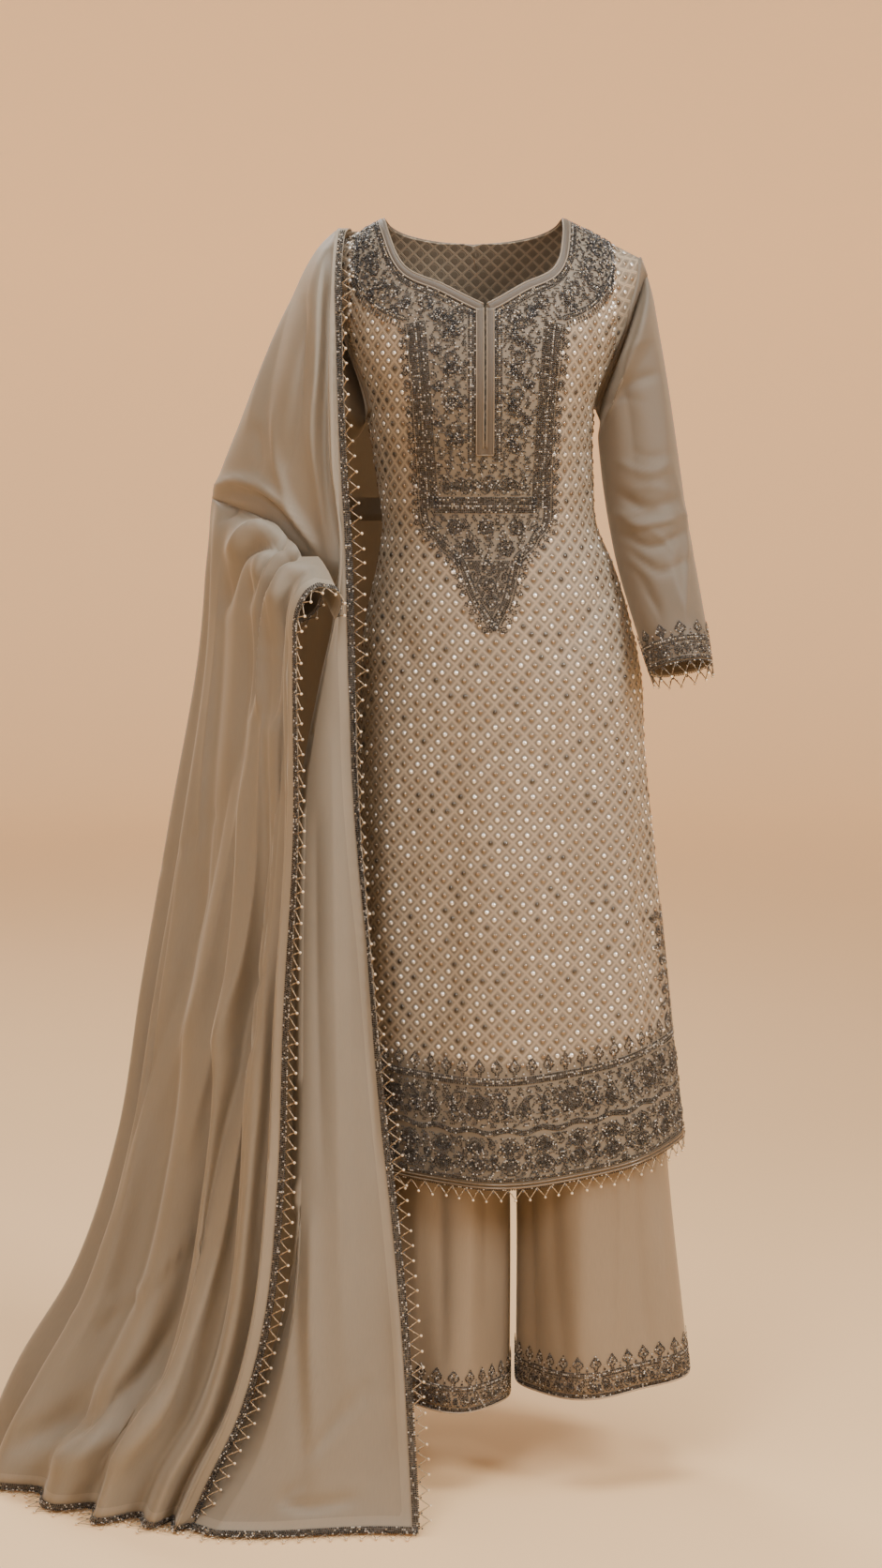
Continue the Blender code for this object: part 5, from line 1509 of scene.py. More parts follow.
def lattice_group():
    """Raised thread in a diamond lattice, two lines side by side, with a stitched ring in each cell."""
    group, given, made = node_group(
        "Thread lattice", {"Flat": None, "Wide": LATTICE_WIDE, "High": LATTICE_HIGH},
        {"Thread": "Float", "Ring": "Float"})
    do = partial(sums, group)
    split = node_of(group, "SeparateXYZ", {0: given["Flat"]}).outputs
    a = do("DIVIDE", split[0], given["Wide"])
    b = do("DIVIDE", split[1], given["High"])
    far = []
    for way in ("ADD", "SUBTRACT"):
        slant = do(way, a, b)
        far.append(do("ABSOLUTE", do("SUBTRACT", slant, do("ROUND", slant))))
    nearest = do("MINIMUM", *far)
    twin = do("MULTIPLY_ADD", stepped(group, nearest, 0.010, 0.045), 0.55, 0.45)
    feed(group, do("MULTIPLY", stepped(group, nearest, 0.135, 0.055), twin), made["Thread"])
    squares = [do("POWER", do("SUBTRACT", 0.5, part), 2.0) for part in far]
    feed(group, stepped(group, do("SQRT", do("ADD", *squares)), 0.36, 0.29), made["Ring"])
    return group


def speckle_group():
    """Small differences of shade and polish from place to place."""
    group, given, made = node_group(
        "Bead speckle", {"Colour": (0.1, 0.1, 0.1, 1), "Amount": 0.3, "Rough": 0.25},
        {"Colour": "Color", "Rough": "Float"})
    do = partial(sums, group)
    speckle = noise(group, node_of(group, "TexCoord").outputs["Object"], 320.0)
    change = do("MULTIPLY", do("SUBTRACT", speckle, 0.5), given["Amount"])
    feed(group, shaded(group, given["Colour"], do("ADD", change, 1.0)), made["Colour"])
    feed(group, do("ADD", do("MULTIPLY", change, 0.5), given["Rough"]), made["Rough"])
    return group


GROUPS = {}


def group_node(tree, make, inputs):
    if make not in GROUPS:
        GROUPS[make] = make()
    node = node_of(tree, "Group", node_tree=GROUPS[make])
    for name, value in inputs.items():
        feed(tree, value, node.inputs[name])
    return node.outputs


def shader_of(name, roughness, metallic=0.0):
    made = bpy.data.materials.new(name)
    made.use_nodes = True
    shader = made.node_tree.nodes["Principled BSDF"].inputs
    shader["Roughness"].default_value = roughness
    shader["Metallic"].default_value = metallic
    return made, made.node_tree, shader


def attribute(tree, name):
    return node_of(tree, "Attribute", attribute_name=name).outputs


def cloth_look(name, colour, roughness=0.62, thread=0.00042, slub=0.10, mottle_and_sheen=0.08, bump=0.10, alpha=1.0,
               sheen=0.25, tape=False):
    """A plain woven cloth. Its UV map, Flat, is in metres.

    A tape lies inside the edge of the dupatta, by the Ground attribute, which is the distance to the edge.
    """
    made, tree, shader = shader_of(name, roughness)
    flat = node_of(tree, "UVMap", uv_map="Flat").outputs[0]
    weave = group_node(tree, weave_group, {"Flat": flat, "Colour": (*colour, 1), "Thread": thread,
                                           "Slub": slub, "Mottle": mottle_and_sheen})
    relief = node_of(tree, "Bump", {"Strength": bump, "Distance": 0.0003, "Height": weave["Height"]})
    shown = weave["Colour"]
    if tape:
        edge = attribute(tree, "Ground")["Fac"]
        past = sums(tree, "GREATER_THAN", edge, TAPE[0])
        band = sums(tree, "MULTIPLY", past, sums(tree, "LESS_THAN", edge, TAPE[1]))
        shown = shaded(tree, shown, sums(tree, "MULTIPLY_ADD", band, 0.035, 1.0))
        alpha = sums(tree, "MULTIPLY_ADD", band, TAPE_COVER - alpha, alpha)
    for socket, value in (("Base Color", shown), ("Normal", relief.outputs[0]), ("Sheen Weight", sheen),
                          ("Sheen Roughness", 0.45), ("Sheen Tint", (0.9, 0.8, 0.66, 1)), ("Alpha", alpha)):
        feed(tree, value, shader[socket])
    return made


def mirror_cloth_look(colour, thread_colour):
    """The kameez's cloth: the lattice is left off where the Ground attribute is 1."""
    made = cloth_look("mirrored_cloth", colour, roughness=0.58, bump=0.55)
    tree = made.node_tree
    weave, relief, flat = (next(node for node in tree.nodes if node.type == kind)
                           for kind in ("GROUP", "BUMP", "UVMAP"))
    lattice = group_node(tree, lattice_group, {"Flat": flat.outputs[0]})
    ground = attribute(tree, "Ground")["Fac"]
    shown = sums(tree, "SUBTRACT", 1.0, ground, clamp=True)
    thread = sums(tree, "MULTIPLY", lattice["Thread"], shown)
    ring = sums(tree, "MULTIPLY", lattice["Ring"], shown)
    base = weave.outputs["Colour"]
    for part, share, tone in (
            (thread, 0.80, thread_colour),
            (ring, 0.34, np.multiply(colour, (0.48, 0.46, 0.44))),
            (ground, 0.75, np.multiply(colour, (0.84, 0.88, 0.92)))):
        base = mixed(tree, sums(tree, "MULTIPLY", part, share), base, (*tone, 1))
    feed(tree, base, tree.nodes["Principled BSDF"].inputs["Base Color"])
    stitched = sums(tree, "MULTIPLY", sums(tree, "ADD", thread, ring), 2.2)
    height = sums(tree, "ADD", sums(tree, "MULTIPLY", weave.outputs["Height"], 0.25), stitched)
    feed(tree, height, relief.inputs["Height"])
    return made


def tone_look(name, roughness, metallic, amount=0.3, coat=0.0):
    """Beads and mirrors: each has its own colour in the Tone attribute, which for a mirror is a painted
    reflection.
    """
    made, tree, shader = shader_of(name, roughness, metallic)
    speckle = group_node(tree, speckle_group, {"Colour": attribute(tree, "Tone")["Color"], "Amount": amount,
                                               "Rough": roughness})
    for socket, value in (("Base Color", speckle["Colour"]), ("Roughness", speckle["Rough"]),
                          ("Coat Weight", coat), ("Coat Roughness", 0.08)):
        feed(tree, value, shader[socket])
    return made


# Pressed folds, as seen from one side: depth is below zero for a trough and above it for a ridge
Crease = namedtuple("Crease", "depth width line")
LINE_PARTS = 4
CREASE_END = 0.45


def creases(*rows):
    """Creases from rows of depth, width and the points of their line, in thousandths."""
    return tuple(Crease(depth / 1000, width / 1000, metres(tuple(line))) for depth, width, *line in rows)


def creased(grid, seen, creases, away_from, calm=None, facing=0):
    """Presses creases into a worn grid. seen gives each point's place in the plane of the creases."""
    grid = np.asarray(grid, float)
    push = np.zeros(grid.shape[:2])
    for crease in creases:
        line = np.array(crease.line, float)
        if len(line) > 2:
            line = curve_through(crease.line, LINE_PARTS * len(line))
        far = gone(line)
        nearest = np.full(grid.shape[:2], 1e9)
        fade = np.zeros(grid.shape[:2])
        for k in range(len(line) - 1):
            step = line[k + 1] - line[k]
            along = np.clip(np.sum((seen - line[k]) * step, axis=-1) / max(np.sum(step * step), 1e-12), 0, 1)
            gap = np.linalg.norm(seen - (line[k] + along[..., None] * step), axis=-1)
            closer = gap < nearest
            nearest = np.where(closer, gap, nearest)
            fade = np.where(closer, (far[k] + along * (far[k + 1] - far[k])) / far[-1], fade)
        form = 0.6 * np.exp(-(nearest / crease.width) ** 2) + 0.4 * np.exp(-2 * nearest / crease.width)
        push += crease.depth * form * np.sin(math.pi * np.clip(fade, 0.01, 0.99)) ** CREASE_END
    found = normals(grid)
    found *= 1 if np.sum(found * (grid - np.array(away_from))) > 0 else -1
    if facing:
        push = push * np.clip(0.4 + 2.5 * facing * found[..., 1], 0, 1)
    if calm is not None:
        push = push * calm
    return grid + found * push[..., None]


def folded(grid, inside, calm, front, back):
    """Presses the creases seen from the front, then the ones seen from behind."""
    seen = seen_from_front(grid)
    return creased(creased(grid, seen, front, inside, calm, -1), seen, back, inside, calm, 1)


def closed_up(grid):
    """A tube's grid, whose first and last columns meet."""
    grid[:, 0] = grid[:, -1] = (grid[:, 0] + grid[:, -1]) / 2
    return grid


def seen_from_front(grid):
    """Each point's x and height."""
    return np.stack([grid[..., 0], grid[..., 2] + SHOULDER_MOUNT], axis=-1)


def flat_of(grid, row=None):
    """Flat coordinates of a grid, from the way gone along one row and down its columns."""
    grid = np.asarray(grid)
    row = len(grid) // 2 if row is None else row
    across = gone(grid[row])
    along = np.mean([gone(grid[:, j]) for j in range(0, grid.shape[1], 5)], axis=0)
    u, v = np.meshgrid(across, along)
    return np.stack([u, v], axis=-1)


# The kameez's soft folds, in metres round from the middle and up
KAMEEZ_CREASES = creases(
    (-2.8, 10, (150, 1255), (115, 1235), (85, 1205)),
    (-2.2, 10, (158, 1225), (125, 1200), (95, 1165)),
    (-2.5, 10, (-140, 1250), (-110, 1228), (-85, 1195)),
    (-3.1, 12, (165, 1110), (125, 1055), (70, 985)),
    (3.1, 16, (150, 1060), (110, 985), (60, 900)),
    (-2.8, 14, (-150, 1085), (-110, 1030), (-70, 960)),
    (-4.2, 18, (105, 980), (112, 800), (125, 600)),
    (3.6, 22, (45, 900), (46, 740), (52, 560)),
    (-3.9, 20, (-35, 930), (-42, 760), (-50, 580)),
    (3.9, 20, (-110, 900), (-120, 740), (-135, 560)),
    (4.2, 16, (160, 860), (165, 700), (175, 540)),
    (-4.2, 12, (185, 800), (190, 660), (198, 540)),
    (-2.5, 9, (150, 1365), (138, 1330), (120, 1300)),
)
# A mirror's tone is a painted reflection: lit, dim or unlit, as if the disc caught the light or not.
MIRROR_PAINTED_LIT = (0.95, 0.92, 0.86)
MIRROR_PAINTED_DIM = (0.30, 0.225, 0.155)
MIRROR_PAINTED_UNLIT = (0.10, 0.085, 0.070)
MIRROR_SIZE = 0.0027
MIRROR_RISE = 0.0008


def in_yoke(u, v, slit):
    """Whether a flat point of the front lies in the beaded yoke or bib."""
    field = np.array(YOKE_FIELD)
    reach = np.interp(v, field[:, 0], field[:, 1], left=-1)
    return (np.abs(u - slit) < reach) & (v < 1.40)


class Kameez:
    """The kameez's panels and their charts, built once and used by each of its pieces."""

    made = None

    def __init__(self):
        self.panels = {side: Panel(side) for side in ("front", "back")}
        self.hems = {side: panel.cloth()[1][0] for side, panel in self.panels.items()}
        self.slit = float(self.panels["front"].flat(SLIT_X, 1.30)[0][0])
        front = self.panels["front"]
        right, left = (bib_line(front, hand, 40) for hand in (-1, 1))
        self.bib = np.concatenate([right, [(right[-1][0], BIB_TOP), (left[-1][0], BIB_TOP)], left[::-1]])

    @classmethod
    def get(cls):
        if cls.made is None:
            cls.made = cls()
        return cls.made

    def ground(self, side, flat):
        """1 where the cloth has no mirrors: under the beading."""
        points = flat.reshape(-1, 2)
        u, v = points[:, 0], points[:, 1]
        hem = self.hems[side]
        plain = v < np.interp(u, hem[:, 0], hem[:, 1]) + HEM_TALL + 0.004
        if side == "front":
            plain |= in_yoke(u, v, self.slit) | inside_shape(points, self.bib)
        return plain.reshape(flat.shape[:-1]).astype(float)


def soft_lattice(side, kameez):
    """The mirrors of one panel: a low, flat disc in a stitched rim in each cell of the lattice. Each disc's
    tone is a painted reflection.
    """
    panel = kameez.panels[side]
    lines, _ = panel.lines()
    centre = lines.shape[1] // 2
    parted = int(np.argmax(np.abs(lines[:, centre, 0] - lines[:, centre - 1, 0]) > 1e-5))
    outline = np.concatenate([lines[:, 0], lines[-1, :centre], lines[parted:, centre - 1][::-1],
                              lines[parted:, centre], lines[-1, centre:], lines[::-1, -1]])
    u, v = panel.flat(outline[:, 0], [lifted(x, h) for x, h in outline])
    border = np.stack([u, v], axis=1)
    random_source = random.Random(5 if side == "front" else 6)
    cells = np.array([((p + q + 1) / 2 * LATTICE_WIDE, (p - q) / 2 * LATTICE_HIGH)
                      for p in range(-110, 130) for q in range(-110, 130)])
    cells = cells[(np.abs(cells[:, 0]) < 0.29) & (cells[:, 1] > HEM_FRONT) & (cells[:, 1] < 1.60)]
    cells = cells[inside_shape(cells, border)]
    away = np.min(np.linalg.norm(cells[:, None] - border[None], axis=2), axis=1)
    cells = cells[away > (BINDING_WIDTH if side == "back" else 0.006)]
    cells = cells[kameez.ground(side, cells[None])[0] < 0.5]
    centres, out = panel.chart.at(cells[:, 0], cells[:, 1], 0.0003)
    tilt = np.array([[random_source.gauss(0, 0.10) for _ in range(3)] for _ in cells])
    out = out + tilt
    out /= np.linalg.norm(out, axis=1, keepdims=True)
    shape = np.concatenate([np.column_stack([DISC_RIM * size, np.full(DISC_SIDES, high)])
                            for size, high in ((0.85, 1), (1.08, 0))])
    faces = []
    for k in range(DISC_SIDES):
        n = (k + 1) % DISC_SIDES
        faces += [(k, DISC_SIDES + k, DISC_SIDES + n), (k, DISC_SIDES + n, n)]
    for k in range(1, DISC_SIDES - 1):
        faces += [(0, k, k + 1), (DISC_SIDES, DISC_SIDES + k + 1, DISC_SIDES + k)]
    sizes = np.tile((MIRROR_SIZE, MIRROR_SIZE, MIRROR_RISE), (len(cells), 1))
    frames = frames_on(out, np.tile((0.0, 0.1, 1.0), (len(cells), 1)))
    points, made = repeated(shape, np.array(faces), centres, frames, sizes)
    piece = new_piece(f"mirrors_{side}", points, made, LOOKS["mirror"], smooth_faces=False)
    # Painted reflections: each disc gets a lit, dim or unlit tone, with more lit discs in some places than
    # in others.
    tones = []
    for u, v in cells:
        bright = 0.40 + 0.22 * math.sin(31 * u + 1.2) * math.sin(17 * v + 0.6)
        pick = random_source.random()
        tone = MIRROR_PAINTED_LIT if pick < bright else (MIRROR_PAINTED_DIM if pick < 0.90 else MIRROR_PAINTED_UNLIT)
        tones.append(np.array(tone) * random_source.uniform(0.80, 1.05))
    tint(piece, np.repeat(tones, len(shape), axis=0))
    worn(piece, "mirror_cloth")


BINDING_WALL = 0.0009
NECK_CUT = (0.0100, 0.72)
PLACKET_CUT = (0.020, 0.172)
PLACKET_TOP = 1.402
PIPING_TONE = (0.20, 0.165, 0.122)
PIPING_LIFT = 0.0016


def kameez_cloth(side, kameez):
    grid, flat, keep = kameez.panels[side].cloth()
    cloth_piece(f"kameez_{side}_cloth", (f"kameez_{side}",), "mirror_cloth", "mirror_cloth", CLOTH, grid,
                flat, INSIDE_KAMEEZ, keep, kameez.ground(side, flat), flat=KAMEEZ_CUT, held="hung",
                area=KAMEEZ_AREA)


def neck_strip(kameez):
    """The neck's binding, rounded across, from one side of the notch round to the other."""
    front, back = kameez.panels["front"], kameez.panels["back"]
    share = np.linspace(0, 1, 9)
    lift = 0.0012 + 0.0011 * np.sin(math.pi * share)

    def rows_of(panel, lines):
        return [panel.chart.at(*np.array([line[i] for line in lines]).T, lift)[0]
                for i in range(len(lines[0]))]

    def along_front(hand):
        return rows_of(front, [neck_line(hand, front, BINDING_WIDTH * part) for part in share])

    def along_back(hand):
        points = [(NECK_X + hand * line.half_width, line.height) for line in BACK_NECKLINE]
        points = curve_through(points, 34)
        u, v = back.flat(points[:, 0], np.minimum(points[:, 1], 1.5065))
        base = np.stack([u, v], axis=1)
        if hand < 0:
            base[0, 0] = min(base[0, 0], 0)
        return rows_of(back, [offset_line(base, -hand * BINDING_WIDTH * part) for part in share])

    grid = np.array(along_front(-1) + along_back(-1)[::-1] + along_back(1)[1:] + along_front(1)[::-1])
    flat = flat_of(grid.transpose(1, 0, 2), 4).transpose(1, 0, 2)
    cloth_piece("neck_binding_cloth", ("neck_binding",), "plain", "plain_binding", BINDING_WALL, grid, flat,
                INSIDE_KAMEEZ, flat=NECK_CUT, held="stretched",
                rests_on=["kameez_front_cloth", "kameez_back_cloth"])
    return grid


def placket_strip(kameez):
    """The placket's two strips beside the open slit, joined below it."""
    front = kameez.panels["front"]
    gap = SLIT_WIDTH / 2
    us = np.concatenate([np.linspace(-PLACKET_HALF, -gap, 8), np.linspace(gap, PLACKET_HALF, 8)])
    vs = np.concatenate([np.linspace(PLACKET_END, SLIT_BOTTOM, 6),
                         np.linspace(SLIT_BOTTOM, PLACKET_TOP, 48)[1:]])
    u, v = np.meshgrid(kameez.slit + us, vs)
    rise = 0.0014 + 0.0008 * np.sin(math.pi * (np.abs(us) - gap) / (PLACKET_HALF - gap))
    grid, _ = front.chart.at(u, v, np.tile(rise, (len(vs), 1)))
    keep = np.ones((len(vs) - 1, len(us) - 1), bool)
    keep[vs[1:] > SLIT_BOTTOM + 1e-6, 7] = False
    cloth_piece("placket_cloth", ("placket_band",), "plain", "plain_binding", BINDING_WALL, grid,
                np.stack([u, v], axis=-1), INSIDE_KAMEEZ, keep, flat=PLACKET_CUT, held="stretched",
                rests_on=["kameez_front_cloth"])
    lines = [(us[k], np.linspace(low, PLACKET_TOP, count)) for ends, low, count in (
        ((0, 15), PLACKET_END, 60), ((7, 8), SLIT_BOTTOM, 50)) for k in ends]
    lines.append((np.linspace(-PLACKET_HALF, PLACKET_HALF, 12), PLACKET_END))
    return [front.chart.at(*np.broadcast_arrays(kameez.slit + across, up), PIPING_LIFT)
            for across, up in lines]


def neck_pieces(kameez):
    """The neck's binding and the placket, with piping along their edges."""
    grid = neck_strip(kameez)
    edges = placket_strip(kameez)
    piping = LaceWork(3)
    out = normals(grid)
    if np.sum(out * (grid - INSIDE_KAMEEZ)) < 0:
        out = -out
    for column in (0, -1):
        piping.cord(grid[:, column], out[:, column], PIPING, PIPING_TONE)
    for points, outward in edges:
        piping.cord(points, outward, PIPING * 0.8, PIPING_TONE)
    piping.make("neck_piping", "cord", "plain_binding")


# The sleeves' folds as seen from the front, and from the back
SLEEVE_LEFT_CREASES = creases(
    (-4.6, 8, (148, 1190), (185, 1168), (224, 1180)),
    (4.2, 7, (146, 1168), (180, 1150), (228, 1162)),
    (-4.6, 7, (152, 1142), (190, 1126), (236, 1144)),
    (-3.8, 6, (160, 1124), (200, 1098), (240, 1112)),
    (-4.2, 9, (172, 1095), (196, 1050), (206, 1000)),
    (3.8, 9, (212, 1105), (228, 1050), (238, 990)),
    (-3.8, 10, (150, 1335), (164, 1280), (170, 1210)),
    (3.8, 11, (188, 1385), (203, 1300), (210, 1210)),
    (-3.4, 7, (138, 1288), (165, 1315), (197, 1326)),
    (2.7, 5, (150, 1225), (185, 1212), (215, 1222)),
    (1.6, 3.2, (166, 1192), (193, 1195), (218, 1189)),
    (-1.6, 3.4, (156, 1184), (188, 1174), (204, 1178)),
    (2.2, 3.6, (150, 1161), (178, 1167), (208, 1170), (236, 1161)),
    (-2, 3.4, (160, 1138), (193, 1148), (218, 1152)),
    (1.8, 3.2, (186, 1146), (208, 1132), (220, 1116)),
    (2.2, 3.6, (214, 1225), (228.5, 1170), (233.4, 1130), (230, 1070), (226, 1020)),
    (-1.6, 4, (152, 1106), (173, 1095), (190, 1078)),
    (1.5, 3.6, (146, 1328), (163, 1354), (190, 1370)),
    (-1.5, 3.6, (136, 1291), (158, 1299), (185, 1293)),
    (-1.4, 3.4, (166, 1238), (190, 1230), (212, 1236)),
    (1.4, 3.4, (180, 1070), (198, 1040), (202, 1006)),
)
SLEEVE_RIGHT_CREASES = creases(
    (-3.4, 9, (-150, 1200), (-190, 1170), (-230, 1180)),
    (-3.4, 8, (-160, 1150), (-200, 1120), (-240, 1140)),
)
SLEEVE_BACK = {
    1: creases(
        (-4.2, 9, (150, 1210), (190, 1180), (230, 1185)),
        (3.8, 9, (160, 1150), (200, 1130), (235, 1140)),
        (-4.2, 10, (150, 1350), (175, 1290), (200, 1230))),
    -1: creases(
        (-3.8, 10, (-150, 1210), (-190, 1170), (-230, 1180))),
}


# How far the sleeve's head goes in under the kameez at the armhole seam: across and down
HEAD_TUCK = (0.0062, 0.0026)


def sleeve_cloth(name, hand, rings, folds):
    """One sleeve, its cuff's beading and its lace."""
    grid = refined(sleeve_grid(hand, rings, SLEEVE_SIDES), SLEEVE_ROW_PARTS[hand])
    inwards = grid[0].mean(axis=0) - grid[0]
    inwards /= np.linalg.norm(inwards, axis=1, keepdims=True)
    grid = np.concatenate([[grid[0] + inwards * HEAD_TUCK[1] - (hand * HEAD_TUCK[0], 0, 0)], grid])
    inside = grid[len(grid) // 2].mean(axis=0)
    flat = flat_of(grid)
    far = flat[..., 1]
    calm = np.clip((far - 0.01) / 0.05, 0, 1) * np.clip((far.max() - 0.040 - far) / 0.03, 0, 1)
    grid = closed_up(folded(grid, inside, calm, folds, SLEEVE_BACK[hand]))
    cloth_piece(f"sleeve_{name}_cloth", (f"sleeve_{name}",), "sheer", "sheer_cloth", SHEER, grid, flat,
                inside, flat=SLEEVE_CUT, held="hung", rests_on=["kameez_front_cloth", "kameez_back_cloth"],
                area=SLEEVE_AREA)
    chart = even_border(grid[::-1], np.arange(-0.030, 0.090, 0.003), inside)
    work = Beading(21 + hand)
    narrow_beading(work, chart.across[-1], 0.0026, 0.0150, 0.0150, 0.0115)
    work.set_on(f"cuff_{name}_beads", chart, f"cuff_border_{name}")
    lace = LaceWork(31 + hand)
    lace.edge(chart, reach=0.0150, cord_tone=(0.13, 0.10, 0.072))
    lace.make(f"cuff_{name}_lace", "lace", "bead_lace", f"cuff_lace_{name}")


def hem_pieces(side, kameez):
    """One panel's beading along its hem and up its side slits, and its hem's lace."""
    grid = kameez.panels[side].cloth()[0]
    grid = np.delete(grid, grid.shape[1] // 2, axis=1)
    chart = even_border(grid, np.arange(-0.030, 0.200, 0.004), INSIDE_KAMEEZ)
    work = Beading(41 if side == "front" else 42)
    hem_beading(work, chart.across[-1])
    for hand in (0, 1):
        edge = (grid[:, ::-1] if hand else grid).transpose(1, 0, 2)
        slit = even_border(edge[:, : int(len(grid) * 0.40)], np.arange(-0.003, 0.060, 0.003), INSIDE_KAMEEZ)
        border = Beading(51 + hand)
        slit_beading(border, 0.285)
        border.set_on(f"side_slit_beads_{side}_{'left' if hand else 'right'}", slit)
    work.set_on(f"hem_{side}_beads", chart, f"hem_border_{side}")
    lace = LaceWork(61 if side == "front" else 62)
    lace.edge(chart)
    marks = np.linspace(0, chart.across[-1], 160)
    for v, size in ((0.0012, 0.0014), (0.0052, 0.0012)):
        lace.cord(*chart.at(marks, np.full(len(marks), v), LACE_LIFT), size, (0.17, 0.125, 0.082))
    lace.make(f"hem_{side}_lace", "lace", "bead_lace", f"hem_lace_{side}")


LEG_TOP = 1.034
WAISTBAND_CUT = (0.030, 0.92)


def leg_fine_grid(hand, hem):
    """One trouser leg, from its hem up to the waistband, round from the inseam by the front."""
    rows = np.concatenate([np.arange(hem, LEG_TOP, LEG_ROW_STEP), [LEG_TOP]])
    grid = []
    for row in rows:
        near_hem = 1 - smooth((row - hem) / LEG_HEM_REACH)
        line = []
        for j in range(LEG_COLUMNS + 1):
            turn = j / LEG_COLUMNS
            height = row + TROUSER_HEM_RISE * near_hem * math.sin(math.pi * turn) ** 4
            point = leg_point(hand, height, turn, hem)
            if row > CROTCH:
                point = blend(point, seat_point(hand, height, turn), smooth((row - CROTCH) / RISE_BLEND))
            line.append(place(*point))
        grid.append(line)
    return np.array(grid)


# The trousers' folds as seen from the front, and from the back, by leg
LEG_FOLDS_SEEN = {
    -1: creases(
        (-6, 11, (-56, 500), (-56, 360), (-55, 250), (-53, 150)),
        (4.1, 14, (-85, 480), (-84, 300), (-88, 130)),
        (3.6, 14, (-22, 500), (-22, 300), (-24, 130)),
        (-3.1, 9, (-2, 480), (-1, 330), (-2, 200)),
        (-1.7, 4, (-58, 205), (-30, 206), (4, 214))),
    1: creases(
        (-7.2, 10, (46, 520), (48, 370), (51, 240), (58, 120)),
        (-5.4, 10, (74, 480), (76, 360), (81, 250), (92, 150)),
        (4.8, 16, (112, 500), (113, 300), (112, 130)),
        (3.1, 5, (158, 480), (159, 350), (158, 250), (154, 170)),
        (-4.3, 12, (174, 480), (177, 340), (184, 230), (196, 160)),
        (-1.8, 4, (50, 226), (100, 223), (140, 227), (158, 240)),
        (1.7, 4, (160, 250), (190, 262), (216, 264)),
        (2.6, 8, (206, 340), (212, 260), (222, 190))),
}
LEG_BACK_FOLDS = {
    -1: creases(
        (-6, 12, (-70, 560), (-74, 350), (-80, 140)),
        (4.3, 14, (-30, 520), (-32, 320), (-34, 140))),
    1: creases(
        (-6, 12, (70, 560), (76, 350), (86, 140)),
        (4.3, 14, (120, 520), (126, 320), (136, 140)),
        (-4.8, 12, (165, 500), (176, 320), (190, 160))),
}


def trouser_pieces():
    """Both legs with their hem's beading."""
    for name, hand, hem in (("left", 1, TROUSER_HEM_LEFT), ("right", -1, TROUSER_HEM_RIGHT)):
        grid = leg_fine_grid(hand, hem)
        inside = grid[len(grid) // 2].mean(axis=0)
        flat = flat_of(grid)
        calm = np.clip(flat[..., 1] / 0.03, 0.25, 1)
        grid = closed_up(folded(grid, inside, calm, LEG_FOLDS_SEEN[hand], LEG_BACK_FOLDS[hand]))
        cloth_piece(f"trouser_leg_{name}_cloth", (f"trouser_leg_{name}",), "satin", "satin_cloth", SATIN,
                    grid, flat, inside, flat=LEG_CUT, held="hung", rests_on=["trouser_waistband_cloth"],
                    area=LEG_AREA)
        chart = even_border(grid, np.arange(-0.003, 0.080, 0.003), inside)
        work = Beading(71 + hand)
        narrow_beading(work, chart.across[-1], 0.0026, 0.0170, 0.0170, 0.0125)
        work.set_on(f"trouser_{name}_beads", chart, f"trouser_border_{name}")
        edge = LaceWork(73 + hand)
        marks = np.linspace(0, chart.across[-1], 200)
        edge.cord(*chart.at(marks, np.full(len(marks), 0.0004), 0.0004), 0.0012, (0.36, 0.28, 0.20))
        edge.make(f"trouser_{name}_edge", "cord", "beadwork")


def waistband_piece():
    rows = []
    for height in np.linspace(WAISTBAND_BOTTOM, WAISTBAND_TOP, 9):
        half = [seat_point(1, height, turn) for turn in np.linspace(0, 1, 70)]
        other = [seat_point(-1, height, turn) for turn in np.linspace(1, 0, 70)]
        ring = half + other + half[:1]
        puff = 0.0006 * math.sin(math.pi * (height - WAISTBAND_BOTTOM) / (WAISTBAND_TOP - WAISTBAND_BOTTOM))
        rows.append([place(x * (1 + puff), y * (1 + puff), h) for x, y, h in ring])
    grid = np.array(rows)
    cloth_piece("trouser_waistband_cloth", ("trouser_waistband",), "satin", "satin_cloth", SATIN, grid,
                flat_of(grid), grid.reshape(-1, 3).mean(axis=0), flat=WAISTBAND_CUT, held="gathered",
                rests_on=["trouser_leg_left_cloth", "trouser_leg_right_cloth"])


# The dupatta's folds as seen from the front
FALL_CREASES = creases(
    (-5.8, 10, (-154, 960), (-148, 840), (-142, 700), (-136, 520), (-130, 400)),
    (5.8, 12, (-182, 900), (-180, 700), (-176, 480), (-172, 300), (-166, 160)),
    (-4.1, 9, (-200, 820), (-198, 600), (-192, 400)),
    (-4, 10, (-222, 380), (-222, 250), (-219, 150), (-216, 90), (-228, 55)),
    (8.5, 9, (-205, 360), (-206, 230), (-203, 110), (-205, 60)),
    (-5.1, 6, (-132, 166), (-164, 142), (-190, 110), (-210, 88)),
    (-5.1, 8, (-214, 60), (-235, 42), (-206, 34), (-151, 40)),
    (4.4, 12, (-110, 300), (-104, 200), (-100, 100)),
    (-4.4, 6, (-176, 1400), (-175, 1250), (-172, 1120), (-176, 1000)),
    (4.1, 6, (-181, 1380), (-181, 1230), (-180, 1080)),
)
